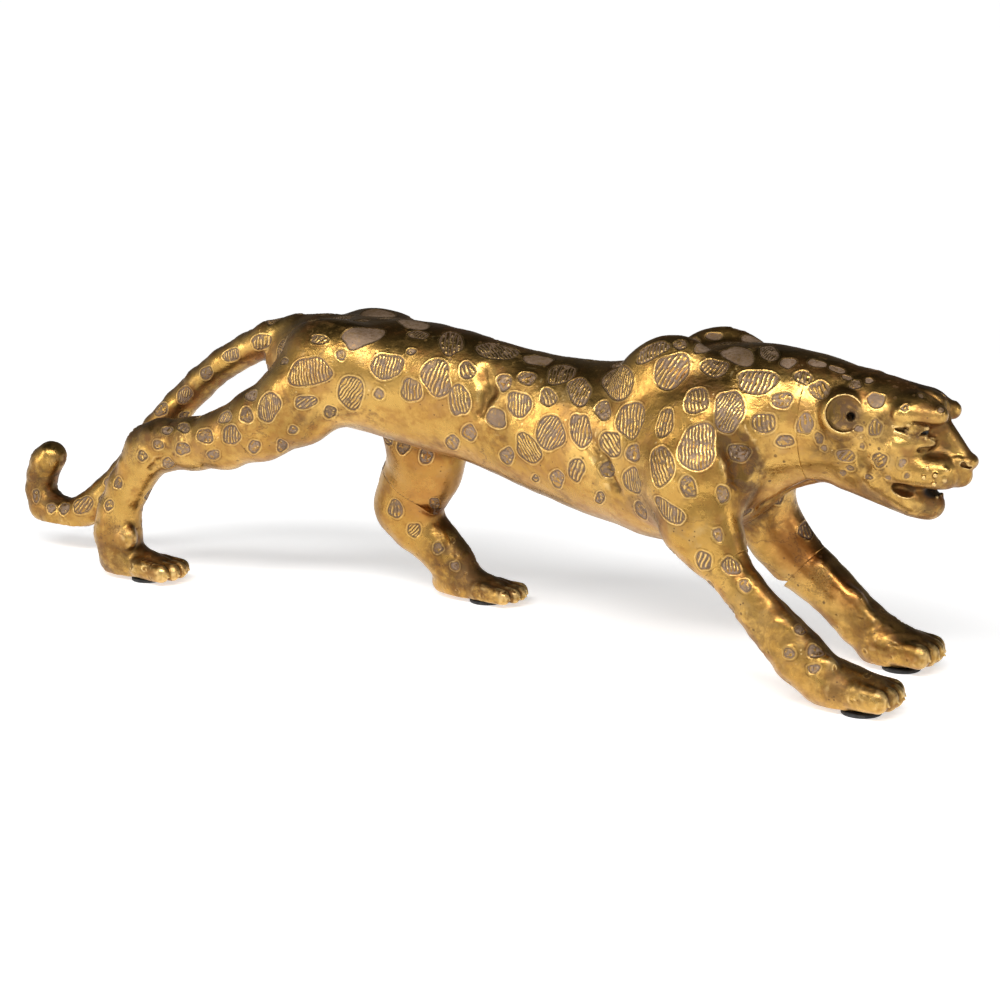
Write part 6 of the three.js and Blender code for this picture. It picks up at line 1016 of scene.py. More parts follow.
def refine(V, Q, sel):
    """Splits the chosen quads in four. Neighbours of a split edge become polygons."""
    E = np.stack([Q, np.roll(Q, -1, axis=1)], -1)  # face, side, 2
    key = np.sort(E, -1)
    code = key[..., 0].astype(np.int64) * len(V) + key[..., 1]
    chosen = np.unique(code[sel])
    base = len(V)
    a, b = chosen // base, chosen % base
    mids = (V[a] + V[b]) / 2
    cen = V[Q[sel]].mean(1)
    newV = np.concatenate([V, mids, cen])
    pos = np.searchsorted(chosen, code)
    has = (pos < len(chosen)) & (chosen[np.minimum(pos, len(chosen) - 1)] == code)
    mid = np.where(has, base + pos, -1)
    s = Q[sel]
    m = mid[sel]
    c = base + len(chosen) + np.arange(len(s))
    four = np.concatenate([np.stack([s[:, i], m[:, i], c, m[:, (i + 3) % 4]], 1) for i in range(4)])
    rest = ~sel
    plain = rest & ~has.any(1)
    edge = np.nonzero(rest & has.any(1))[0]
    polys = []
    for f in edge:
        p = []
        for i in range(4):
            p.append(int(Q[f, i]))
            if mid[f, i] >= 0:
                p.append(int(mid[f, i]))
        polys.append(p)
    parents = (a, b, s)
    return newV, np.concatenate([Q[plain], four]), polys, parents


def carry(X, parents):
    """Values for the vertices that refine() added."""
    a, b, s = parents
    return np.concatenate([X, (X[a] + X[b]) / 2, X[s].mean(1)])


_rng = np.random.default_rng(7)
_LAT = _rng.random((64, 64, 64)).astype(np.float32)


def noise(p, size, seed=0):
    """Smooth value noise in -1..1, with features about size mm across."""
    q = p / size + np.array([17.13, 5.7, 29.3]) * (seed + 1)
    i = np.floor(q).astype(int)
    f = q - i
    f = f * f * (3 - 2 * f)
    out = 0
    for dx in (0, 1):
        for dy in (0, 1):
            for dz in (0, 1):
                w = (f[:, 0] if dx else 1 - f[:, 0]) * (f[:, 1] if dy else 1 - f[:, 1]) * (f[:, 2] if dz else 1 - f[:, 2])
                out = out + w * _LAT[(i[:, 0] + dx) & 63, (i[:, 1] + dy) & 63, (i[:, 2] + dz) & 63]
    return out * 2 - 1


# ------------------------------------------------------------------ spots
# [centre x, y, z, normal x, y, z, long axis x, y, z, half length, half width, hatch angle, style, seed]
def spot_fields(P, N, spots):
    """Distance to the nearest spot's edge in mm (negative inside), the coordinate across its hatching, and its style."""
    sd = np.full(len(P), 9.0)
    hu = np.zeros(len(P))
    st = np.zeros(len(P))
    rd = np.zeros(len(P))
    for s in spots:
        c, n, t1 = np.array(s[0:3]), np.array(s[3:6]), np.array(s[6:9])
        a, b, ha, style, seed = s[9], s[10], math.radians(s[11]), s[12], s[13]
        R = max(a, b) * 1.25 + 4
        d = P - c
        ix = np.nonzero((np.abs(d) < R).all(1))[0]
        if not len(ix):
            continue
        d = d[ix]
        t2 = np.cross(n, t1)
        u, v, w = d @ t1, d @ t2, d @ n
        ok = (np.abs(w) < 0.75 * max(a, b) + 2.5) & (N[ix] @ n > 0.05)
        ix, u, v = ix[ok], u[ok], v[ok]
        r = np.random.default_rng(int(seed))
        ph = r.uniform(0, 2 * math.pi, 4)
        am = r.uniform(0.5, 1.0, 4)
        th = np.arctan2(v / b, u / a)
        shape = 1 + 0.085 * am[0] * np.sin(2 * th + ph[0]) + 0.075 * am[1] * np.sin(3 * th + ph[1]) + 0.035 * am[2] * np.sin(5 * th + ph[2])
        q = 2.45
        rho = (np.abs(u / a) ** q + np.abs(v / b) ** q) ** (1 / q) / shape
        loc = np.hypot(u, v) / np.maximum(rho, 1e-3)
        e = (rho - 1) * np.where(rho > 0.35, np.minimum(loc, max(a, b)), min(a, b)) * 0.95
        better = e < sd[ix]
        ix, e, u, v = ix[better], e[better], u[better], v[better]
        sd[ix] = e
        wob = 0.18 * np.sin(u * 0.9 + ph[3]) + 0.18 * np.sin(v * 0.7 + ph[2])
        hu[ix] = (u * math.cos(ha) + v * math.sin(ha) + wob) / (HATCH * (0.85 + 0.55 * r.random()))
        st[ix] = style
        rd[ix] = (seed * 0.61803) % 1.0
    return sd, hu, st, rd


HATCH = 1.75  # mm between hatch ridges


def ease(x, a, b):
    t = np.clip((x - a) / (b - a), 0, 1)
    return t * t * (3 - 2 * t)


def spot_relief(P, sd, hu, st):
    deep = ease(-sd, 0.0, 0.7)
    rim = np.exp(-(((sd - 0.55) / 0.45) ** 2))
    moat = np.exp(-(((sd + 0.25) / 0.35) ** 2))
    ridge = (0.5 + 0.5 * np.cos(2 * math.pi * hu)) ** 1.3
    ends = ease(noise(P, 3.0, 5), -0.75, -0.2)
    curl = ease(noise(P, 1.7, 9), -0.1, 0.5)
    inner = np.where(st < 0.5, ridge * ends, np.where(st < 1.5, curl, 0.15 * curl))
    return -0.40 * deep + 0.10 * rim - 0.16 * moat + 0.44 * ease(-sd, 0.6, 1.1) * inner


# ------------------------------------------------------------------ the castings
SOLE = ["P", [0, 0, 2.3], [0, 0, -1], 0.8]
NECK_X = 187.0
GAP = 0.04
ROOT = 8.0
WIDTH = {"foreR": 34, "foreL": 34, "hindR": 44, "hindL": 42, "tail": 26}


def past(n, d):
    p, m = np.array(PLANES[n]["p"]), np.array(PLANES[n]["n"])
    return ["P", list(p + m * d), list(m), 0.0]


TORSO = [["G", T["trunk"], 0]]
for n in ("hindR", "hindL", "foreR", "foreL", "tail"):
    TORSO.append(["G", [["G", T[n], 0], past(n, ROOT)], K[n]])
TORSO += CREASES
HEADROWS = [["G", T["trunk"], 0], ["G", T["head"], K["head"]]] + CREASES + FACE + [["P", [NECK_X - 6, 0, 0], [-1, 0, 0], 0.0]]
TORSO.append(["P", [NECK_X + 6, 0, 0], [1, 0, 0], 0.0])


def near_limb(c, n):
    p = (np.array(c[1]) + np.array(c[2])) / 2
    return abs(field([["G", T[n], 0]], p[None])[0]) < 10


def limb_rows(n):
    p, m = np.array(PLANES[n]["p"]), np.array(PLANES[n]["n"])
    return [["G", T[n], 0]] + LIMB_X.get(n, []) + [c for c in CREASES if near_limb(c, n)] + [["P", list(p - m * 5), list(-m), 0.0], SOLE]


def lo_detail(rows):
    return rows


BODY = [["G", T["trunk"], 0]] + [["G", T[n], K[n]] for n in K] + [SOLE]
occ_grid, occ_lo = grid_of(BODY, (-372, -96, -28), (306, 96, 206), 4.0, 4)
OCC_H = 4.0


def look(p):
    """The whole body's distance field, read from a coarse grid."""
    q = (p - occ_lo) / OCC_H
    q = np.clip(q, 0, np.array(occ_grid.shape) - 1.001)
    i = q.astype(int)
    f = q - i
    out = 0
    for dx in (0, 1):
        for dy in (0, 1):
            for dz in (0, 1):
                w = (f[:, 0] if dx else 1 - f[:, 0]) * (f[:, 1] if dy else 1 - f[:, 1]) * (f[:, 2] if dz else 1 - f[:, 2])
                out = out + w * occ_grid[i[:, 0] + dx, i[:, 1] + dy, i[:, 2] + dz]
    return out


def shelter(P, N, steps):
    s = 0
    for d in steps:
        f = np.minimum(look(P + N * d), P[:, 2] * 0 + 40)
        s = s + np.clip((d - f) / d, 0, 1)
    return s / len(steps)


def pull(rows, V, N, h, times=2):
    for _ in range(times):
        d = field(rows, V)
        V = V - N * np.clip(d, -0.5 * h, 0.5 * h)[:, None]
    return V


def build(name, rows, lo, hi, h, spots, cut, relief=1.0, twice=None, seed=0):
    """Meshes the rows, works the surface and cuts it at its joints. cut is a list of (point, normal, half width)."""
    g, l = grid_of(rows, lo, hi, h)
    V, Q = nets(g, l, h)
    N = quad_normals(V, Q)
    V = pull(rows, V, N, h, 2)
    V = relax(V, Q, 0.25, 1)
    N = quad_normals(V, Q)
    V = pull(rows, V, N, h, 1)
    N = quad_normals(V, Q)
    polys = []
    near = [s for s in spots if (np.array(s[:3]) > np.array(lo) - 14).all() and (np.array(s[:3]) < np.array(hi) + 14).all()]
    if near:
        sd = spot_fields(V, N, near)[0]
        sel = (sd[Q].min(1) < 1.6)
        V, Q, polys, par = refine(V, Q, sel)
        N = carry(N, par)
        N /= np.maximum(np.linalg.norm(N, axis=1, keepdims=True), 1e-9)
        V = pull(rows, V, N, h, 1)
    sd, hu, st, rd = spot_fields(V, N, near) if near else (np.full(len(V), 9.0), np.zeros(len(V)), np.zeros(len(V)), np.zeros(len(V)))
    ao = shelter(V, N, (5.0, 9.0, 15.0))
    wide = shelter(V, N, (26.0, 40.0))
    # hand-worked casting: soft lumps, flats and a few pits
    feet = ease(70 - V[:, 2], 0, 45)
    lump = 0.42 * noise(V, 21, 1) + 0.24 * noise(V, 9.5, 2) + (0.07 + 0.10 * feet) * noise(V, 4.6, 3) + (0.02 + 0.05 * feet) * noise(V, 2.3, 4)
    pit = -0.35 * ease(noise(V, 3.4, 6) + 0.25 * noise(V, 1.6, 7), 0.66, 0.9) * (0.25 + 0.75 * feet)
    d = relief * (lump + pit)
    sr = spot_relief(V, sd, hu, st)
    full = d + sr * min(1.0, 0.35 + 0.65 * relief)
    V2 = V + N * full[:, None]
    # fine cavity from the work itself
    smooth_ = relax(V2, Q, 0.5, 3)
    cav = np.einsum("ij,ij->i", V2 - smooth_, N)
    me = bpy.data.meshes.new(name)
    P = (V2 + SHIFT) * MM
    faces = Q.tolist() + polys
    me.from_pydata(P.tolist(), [], faces)
    # two attributes carry painted shade: near black in the face's recesses, and brown in creases, hollows and low
    # places
    for key, val in (("sd", sd), ("hu", hu), ("st", st), ("rd", rd), ("ao", ao), ("wide", wide), ("cav", np.clip(cav / 0.16, -1, 1)), ("dark", paint_recess_shade(V)), ("stain", painted(V, SHADE_AND_BROWN)), ("red", painted(V, RED))):
        a = me.attributes.new(key, "FLOAT", "POINT")
        a.data.foreach_set("value", np.ascontiguousarray(val, np.float32))
    me.polygons.foreach_set("use_smooth", np.ones(len(me.polygons), bool))
    me.update()
    bm = bmesh.new()
    bm.from_mesh(me)
    for p, m, w in cut:
        co = (np.array(p) + SHIFT) * MM
        no = np.array(m, float)
        a1 = np.cross(no, [0, 1, 0]); a1 /= np.linalg.norm(a1)
        a2 = np.cross(no, a1)
        def inside(c, reach):
            d = np.array(c) - co
            return abs(d @ a1) < w * MM and abs(d @ a2) < w * MM and -0.004 < d @ no < reach
        C = np.array([f.calc_center_median() for f in bm.faces])
        D = C - co
        m_in = (np.abs(D @ a1) < w * MM) & (np.abs(D @ a2) < w * MM) & (D @ no > -0.006) & (D @ no < 0.060)
        bm.faces.ensure_lookup_table()
        fs = [bm.faces[i] for i in np.nonzero(m_in)[0]]
        if not fs:
            continue
        es = set(e for f in fs for e in f.edges)
        vs = set(v for f in fs for v in f.verts)
        bmesh.ops.bisect_plane(bm, geom=fs + list(es) + list(vs), dist=1e-7, plane_co=Vector(co), plane_no=Vector(no))
        C = np.array([f.calc_center_median() for f in bm.faces])
        D = C - co
        m_out = (np.abs(D @ a1) < w * MM) & (np.abs(D @ a2) < w * MM) & (D @ no > 1e-7) & (D @ no < 0.060)
        bm.faces.ensure_lookup_table()
        bmesh.ops.delete(bm, geom=[bm.faces[i] for i in np.nonzero(m_out)[0]], context="FACES")
    # the largest piece only
    bm.verts.ensure_lookup_table()
    bm.verts.index_update()
    nv = len(bm.verts)
    ed = np.array([[e.verts[0].index, e.verts[1].index] for e in bm.edges])
    lab = np.arange(nv)
    while True:
        m1 = np.minimum(lab[ed[:, 0]], lab[ed[:, 1]])
        new = lab.copy()
        np.minimum.at(new, ed[:, 0], m1)
        np.minimum.at(new, ed[:, 1], m1)
        new = new[new]
        if (new == lab).all():
            break
        lab = new
    ids, cnt = np.unique(lab, return_counts=True)
    keep = ids[np.argmax(cnt)]
    drop = np.nonzero(lab != keep)[0]
    if len(drop):
        bmesh.ops.delete(bm, geom=[bm.verts[i] for i in drop], context="VERTS")
    be = [e for e in bm.edges if e.is_boundary]
    if be:
        r = bmesh.ops.edgeloop_fill(bm, edges=be, mat_nr=0, use_smooth=False)
        for f in r["faces"]:
            f.smooth = False
    bmesh.ops.recalc_face_normals(bm, faces=bm.faces[:])
    bm.to_mesh(me)
    bm.free()
    ob = bpy.data.objects.new(name, me)
    bpy.context.scene.collection.objects.link(ob)
    print("piece", name, len(me.vertices), len(me.polygons), "open edges", 0 if not be else len(be))
    return ob


def painted(V, table):
    out = np.zeros(len(V))
    for c, r, s in table:
        q = (V - np.array(c)) / np.array(r)
        out = np.maximum(out, s * (1 - ease(np.sqrt((q * q).sum(1)), 0.45, 1.15)))
    return out


def paint_recess_shade(V):
    """Painted shade, near black: the mouth, the ear holes, the eye corners and the nostrils."""
    out = np.zeros(len(V))
    for c, r in RECESS_SHADE:
        q = (V - np.array(c)) / np.array(r)
        k = np.sqrt((q * q).sum(1))
        out = np.maximum(out, 1 - ease(k, 0.75, 1.25))
    return out


# ------------------------------------------------------------------ materials
EXPOSURE = 0.0
WORLD_GAIN = 1.0
WORLD = [(0.0, (0.50, 0.50, 0.50)), (0.42, (0.42, 0.42, 0.42)), (0.54, (0.20, 0.20, 0.20)), (0.66, (0.08, 0.08, 0.08)), (0.80, (0.03, 0.03, 0.03)), (1.0, (0.02, 0.02, 0.02))]
class Nodes:
    def __init__(self, mat):
        mat.use_nodes = True
        self.t = mat.node_tree
        self.t.nodes.clear()
        self.out = self.t.nodes.new("ShaderNodeOutputMaterial")
        self.x = 0

    def new(self, kind, **kw):
        n = self.t.nodes.new(kind)
        for k, v in kw.items():
            setattr(n, k, v)
        return n

    def put(self, sock, v):
        if isinstance(v, bpy.types.NodeSocket):
            self.t.links.new(v, sock)
        elif v is not None:
            sock.default_value = v

    def math(self, op, a, b=None, c=None, clamp=False):
        n = self.new("ShaderNodeMath", operation=op, use_clamp=clamp)
        for s, v in zip(n.inputs, (a, b, c)):
            if v is not None:
                self.put(s, v)
        return n.outputs[0]

    def attr(self, name):
        return self.new("ShaderNodeAttribute", attribute_name=name).outputs["Fac"]

    def ramp(self, v, a, b, lo=0.0, hi=1.0, smooth=True):
        n = self.new("ShaderNodeMapRange", interpolation_type="SMOOTHSTEP" if smooth else "LINEAR")
        self.put(n.inputs["Value"], v)
        for k, x in (("From Min", a), ("From Max", b), ("To Min", lo), ("To Max", hi)):
            self.put(n.inputs[k], x)
        return n.outputs["Result"]

    def mix(self, f, a, b, mode="MIX"):
        n = self.new("ShaderNodeMix", data_type="RGBA", blend_type=mode)
        self.put(n.inputs[0], f)
        self.put(n.inputs[6], a if isinstance(a, bpy.types.NodeSocket) else (*a, 1))
        self.put(n.inputs[7], b if isinstance(b, bpy.types.NodeSocket) else (*b, 1))
        return n.outputs[2]

    def coord(self):
        return self.new("ShaderNodeTexCoord").outputs["Object"]

    def noise(self, vec, scale, detail=3.0, rough=0.55, dist=0.0):
        n = self.new("ShaderNodeTexNoise")
        self.put(n.inputs["Vector"], vec)
        n.inputs["Scale"].default_value = scale
        n.inputs["Detail"].default_value = detail
        n.inputs["Roughness"].default_value = rough
        n.inputs["Distortion"].default_value = dist
        return n.outputs["Fac"]

    def voronoi(self, vec, scale, feature="F1", rand=1.0):
        n = self.new("ShaderNodeTexVoronoi", feature=feature)
        self.put(n.inputs["Vector"], vec)
        n.inputs["Scale"].default_value = scale
        n.inputs["Randomness"].default_value = rand
        return n.outputs["Distance"]

    def stretch(self, vec, s):
        n = self.new("ShaderNodeMapping")
        self.put(n.inputs["Vector"], vec)
        n.inputs["Scale"].default_value = s
        return n.outputs[0]

    def bump(self, h, strength, dist, normal=None):
        n = self.new("ShaderNodeBump")
        n.inputs["Strength"].default_value = strength
        n.inputs["Distance"].default_value = dist
        self.put(n.inputs["Height"], h)
        if normal is not None:
            self.put(n.inputs["Normal"], normal)
        return n.outputs["Normal"]


def gilt_material():
    m = bpy.data.materials.new("gilt")
    w = Nodes(m)
    co = w.coord()
    sd, hu, st, rd = (w.attr(k) for k in ("sd", "hu", "st", "rd"))
    ao, wide, cav, dark, stain, red = (w.attr(k) for k in ("ao", "wide", "cav", "dark", "stain", "red"))
    big = w.noise(co, 16, 3, 0.6)
    mid = w.noise(co, 55, 4, 0.6)
    fine = w.noise(co, 210, 4, 0.65)
    grit = w.noise(co, 700, 3, 0.6)
    nz = w.new("ShaderNodeSeparateXYZ")
    geo = w.new("ShaderNodeNewGeometry")
    w.put(nz.inputs[0], geo.outputs["Normal"])
    up = nz.outputs[2]
    down = w.ramp(w.math("MULTIPLY", up, -1.0), 0.15, 0.85)
    # leaf: three tones of gold
    gold = w.mix(w.ramp(big, 0.38, 0.66), GOLD_A, GOLD_B)
    gold = w.mix(w.ramp(w.math("ADD", w.math("MULTIPLY", mid, 0.7), w.math("MULTIPLY", fine, 0.3)), 0.52, 0.72, 0, 0.55), gold, GOLD_C)
    # painted shade and patina: olive brown on the tops (painted shade), in sheltered places and grooves where shade
    # collects (painted shade and patina), over the brown places and at random, with mottled edges
    edge = w.math("ADD", w.math("MULTIPLY", mid, 0.55), w.math("MULTIPLY", fine, 0.45))
    # painted shade: upward-facing surfaces turned olive
    shade_and_patina = w.math("ADD", w.ramp(up, 0.25, 0.95, 0.0, TOP_SHADE), w.ramp(ao, 0.08, 0.50, 0.0, 0.95))
    shade_and_patina = w.math("ADD", shade_and_patina, w.ramp(w.noise(co, 23, 4, 0.65, 0.6), 0.47, 0.68, 0.0, 0.50))
    shade_and_patina = w.math("ADD", shade_and_patina, w.ramp(wide, 0.25, 0.8, 0.0, 0.30))
    shade_and_patina = w.math("ADD", shade_and_patina, w.math("MULTIPLY", stain, w.ramp(edge, 0.40, 0.58, 0.35, 1.15)))
    shade_and_patina = w.math("ADD", shade_and_patina, w.ramp(cav, -0.10, -0.75, 0.0, 0.75))
    shade_and_patina = w.math("ADD", shade_and_patina, w.ramp(edge, 0.42, 0.66, -0.22, 0.24))
    shade_and_patina = w.math("MAXIMUM", w.math("MINIMUM", shade_and_patina, 1.0), 0.0)
    gold = w.mix(w.math("MULTIPLY", shade_and_patina, 0.88), gold, OLIVE_SHADE_AND_PATINA)
    # red clay under the leaf where it's sheltered
    clay = w.math("MULTIPLY", w.ramp(wide, 0.22, 0.7), w.ramp(edge, 0.40, 0.60))
    clay = w.math("MAXIMUM", clay, w.math("MULTIPLY", down, w.ramp(edge, 0.42, 0.62, 0.0, 0.75)))
    clay = w.math("MAXIMUM", clay, w.math("MULTIPLY", red, w.ramp(edge, 0.34, 0.54, 0.65, 1.15)))
    gold = w.mix(w.math("MULTIPLY", clay, 0.68), gold, CLAY)
    # fly specks and rubbed-through flecks
    v1 = w.voronoi(co, 150)
    v2 = w.voronoi(co, 330)
    speck = w.math("MAXIMUM", w.math("MULTIPLY", w.ramp(v1, 0.17, 0.09), w.ramp(big, 0.50, 0.60)), w.math("MULTIPLY", w.ramp(v2, 0.20, 0.12), w.ramp(mid, 0.52, 0.64)))
    # brown drifts of old varnish, and painted shade where they follow the painted shade and brown places
    drift_and_shade = w.math("MULTIPLY", w.ramp(w.noise(co, 34, 5, 0.7, 1.2), 0.55, 0.70), w.ramp(fine, 0.40, 0.62))
    drift_and_shade = w.math("MAXIMUM", drift_and_shade, w.math("MULTIPLY", w.math("MULTIPLY", stain, 1.5), w.ramp(w.noise(co, 95, 5, 0.72, 1.6), 0.44, 0.57)))
    soil_and_shade = w.math("MAXIMUM", w.math("MULTIPLY", speck, 0.8), w.math("MULTIPLY", drift_and_shade, 0.55))
    # hairline leaf seams
    warp = w.new("ShaderNodeVectorMath", operation="MULTIPLY_ADD")
    w.put(warp.inputs[0], w.new("ShaderNodeTexNoise").outputs["Color"])
    warp.inputs[0].links[0].from_node.inputs["Scale"].default_value = 60
    warp.inputs[1].default_value = (0.012, 0.012, 0.012)
    w.put(warp.inputs[2], w.stretch(co, (1.0, 1.0, 1.35)))
    crack = w.voronoi(warp.outputs[0], 21, "DISTANCE_TO_EDGE")
    seam = w.math("MULTIPLY", w.ramp(crack, 0.018, 0.004), w.ramp(w.noise(co, 24, 2), 0.50, 0.60))
    soil_and_shade = w.math("MAXIMUM", soil_and_shade, w.math("MULTIPLY", seam, 0.45))
    # dirt, and painted shade from the drifts, in a dark brown
    gold = w.mix(soil_and_shade, gold, SOIL_AND_SHADE)
    # worn bright edges
    gold = w.mix(w.ramp(cav, 0.25, 0.8, 0.0, 0.65), gold, GOLD_C)
    # spots: recess painted, hatch ridges and rim left gold
    inside = w.ramp(sd, 0.05, -0.35)
    tri = w.math("COSINE", w.math("MULTIPLY", hu, 2 * math.pi))
    cut_ = w.ramp(rd, 0.0, 1.0, -0.75, 0.0, False)
    hatch = w.ramp(w.math("SUBTRACT", tri, cut_), -0.12, 0.42)
    curl = w.ramp(w.noise(co, 430, 2, 0.5, 0.6), 0.50, 0.60)
    broken = w.ramp(w.noise(co, 260, 2), 0.36, 0.48)
    is0 = w.ramp(st, 0.55, 0.45)
    is2 = w.ramp(st, 1.45, 1.55)
    lines = w.math("MULTIPLY", w.math("MULTIPLY", hatch, broken), is0)
    curls = w.math("MULTIPLY", curl, w.math("SUBTRACT", 1.0, w.math("MAXIMUM", is0, is2)))
    bare = w.math("MULTIPLY", is2, w.ramp(fine, 0.54, 0.66, 0.0, 0.35))
    ridge = w.math("ADD", w.math("ADD", lines, curls), bare)
    ridge = w.math("MULTIPLY", ridge, w.ramp(sd, -0.5, -1.1))
    fill = w.math("MULTIPLY", inside, w.math("SUBTRACT", 1.0, ridge))
    fill = w.math("MULTIPLY", fill, w.ramp(w.math("ADD", w.math("MULTIPLY", grit, 0.5), w.math("MULTIPLY", fine, 0.5)), 0.36, 0.52, 0.45, 0.95))
    rimline = w.math("MULTIPLY", w.ramp(sd, 0.1, 0.4), w.ramp(sd, 1.0, 0.6))
    moat = w.math("MULTIPLY", w.ramp(sd, -0.55, -0.2), w.ramp(sd, 0.35, 0.05))
    gold = w.mix(w.math("MULTIPLY", moat, w.ramp(fine, 0.40, 0.60, 0.05, 0.55)), gold, SOIL_AND_SHADE)
    gold = w.mix(w.math("MULTIPLY", rimline, 0.14), gold, GOLD_C)
    outer = w.math("MULTIPLY", w.ramp(sd, 0.9, 1.2), w.ramp(sd, 1.9, 1.4))
    gold = w.mix(w.math("MULTIPLY", outer, w.ramp(fine, 0.42, 0.60, 0.0, 0.42)), gold, SOIL_AND_SHADE)
    paint = w.mix(w.ramp(w.math("ADD", mid, w.math("MULTIPLY", rd, 0.25)), 0.45, 0.80), PAINT_A, PAINT_B)
    paint = w.mix(w.ramp(cav, -0.05, -0.5, 0.0, 0.5), paint, (0.05, 0.03, 0.02))
    colour = w.mix(fill, gold, paint)
    # painted shade, near black, in the mouth, ear holes, eye corners and nostrils
    colour = w.mix(dark, colour, (0.006, 0.005, 0.004))
    metal = w.math("SUBTRACT", 1.0, w.math("MAXIMUM", w.math("MULTIPLY", fill, 0.55), w.math("MAXIMUM", w.math("MULTIPLY", soil_and_shade, 0.5), dark)), clamp=True)
    rough = w.math("ADD", w.ramp(mid, 0.3, 0.7, R_LO, R_HI), w.math("MULTIPLY", shade_and_patina, 0.10))
    rough = w.math("ADD", rough, w.math("MULTIPLY", soil_and_shade, 0.25))
    rough = w.math("ADD", rough, w.math("MULTIPLY", fill, 0.28))
    rough = w.math("ADD", rough, w.math("MULTIPLY", w.math("SUBTRACT", fine, 0.5), 0.16), clamp=True)
    # bump: hatch, leaf wrinkles and grain
    hb = w.math("MULTIPLY", w.math("MULTIPLY", w.math("ADD", lines, curls), inside), 1.0)
    n = w.bump(hb, 0.55, 0.0005)
    wr = w.math("ADD", w.math("MULTIPLY", w.noise(co, 120, 4, 0.6, 0.4), 1.0), w.math("MULTIPLY", w.noise(w.stretch(co, (1, 1, 2.4)), 46, 3, 0.6), 0.9))
    n = w.bump(wr, 0.42, 0.0009, n)
    n = w.bump(grit, 0.22, 0.0002, n)
    n = w.bump(w.math("MULTIPLY", soil_and_shade, -1.0), 0.35, 0.0002, n)
    b = w.new("ShaderNodeBsdfPrincipled")
    w.put(b.inputs["Base Color"], colour)
    w.put(b.inputs["Metallic"], metal)
    w.put(b.inputs["Roughness"], rough)
    w.put(b.inputs["Normal"], n)
    w.t.links.new(b.outputs[0], w.out.inputs[0])
    return m


GOLD_A, GOLD_B, GOLD_C = (0.45, 0.255, 0.060), (0.60, 0.365, 0.102), (0.87, 0.61, 0.25)
# the olive colour is painted shade and patina; the soil colour is dirt and painted shade
OLIVE_SHADE_AND_PATINA, CLAY, SOIL_AND_SHADE = (0.115, 0.066, 0.020), (0.34, 0.125, 0.030), (0.075, 0.036, 0.014)
PAINT_A, PAINT_B = (0.155, 0.098, 0.058), (0.27, 0.185, 0.125)
# strength of the painted shade on the tops
TOP_SHADE = 0.62
R_LO, R_HI = 0.24, 0.36


def steel_material():
    m = bpy.data.materials.new("dowel_steel")
    w = Nodes(m)
    co = w.coord()
    b = w.new("ShaderNodeBsdfPrincipled")
    c = w.mix(w.ramp(w.noise(co, 90, 4), 0.4, 0.7), (0.42, 0.42, 0.43), (0.20, 0.17, 0.15))
    w.put(b.inputs["Base Color"], c)
    b.inputs["Metallic"].default_value = 1.0
    w.put(b.inputs["Roughness"], w.ramp(w.noise(w.stretch(co, (1, 1, 9)), 160, 3), 0.3, 0.7, 0.26, 0.5))
    w.put(b.inputs["Normal"], w.bump(w.noise(w.stretch(co, (1, 1, 12)), 300, 3), 0.3, 0.0002))
    w.t.links.new(b.outputs[0], w.out.inputs[0])
    return m


def rubber_material():
    m = bpy.data.materials.new("foot_rubber")
    w = Nodes(m)
    co = w.coord()
    b = w.new("ShaderNodeBsdfPrincipled")
    c = w.mix(w.ramp(w.noise(co, 240, 4), 0.42, 0.68), (0.010, 0.010, 0.011), (0.030, 0.029, 0.028))
    w.put(b.inputs["Base Color"], c)
    w.put(b.inputs["Roughness"], w.ramp(w.noise(co, 500, 3), 0.3, 0.7, 0.62, 0.85))
    w.put(b.inputs["Normal"], w.bump(w.noise(co, 900, 3), 0.4, 0.0002))
    w.t.links.new(b.outputs[0], w.out.inputs[0])
    return m


def glowing_floor_material():
    m = bpy.data.materials.new("floor_paper")
    w = Nodes(m)
    co = w.coord()
    b = w.new("ShaderNodeBsdfPrincipled")
    w.put(b.inputs["Base Color"], w.mix(w.ramp(w.noise(co, 2.0, 3), 0.3, 0.7), (0.90, 0.90, 0.90), (0.93, 0.93, 0.93)))
    b.inputs["Roughness"].default_value = 0.9
    b.inputs["Specular IOR Level"].default_value = 0.1
    b.inputs["Emission Color"].default_value = (1, 1, 1, 1)
    far = w.new("ShaderNodeVectorMath", operation="LENGTH")
    w.put(far.inputs[0], co)
    # painted shadow: the floor's glow is weaker near the object
    w.put(b.inputs["Emission Strength"], w.ramp(far.outputs["Value"], 0.25, 2.4, FLOOR_SHADOW_GLOW, 0.92))
    w.t.links.new(b.outputs[0], w.out.inputs[0])
    return m


GILT, STEEL, RUBBER = gilt_material(), steel_material(), rubber_material()


def place(ob, mat, slot, *nodes):
    ob.data.materials.clear()
    ob.data.materials.append(mat)
    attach(ob, "root")
    if nodes:
        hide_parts(*nodes)


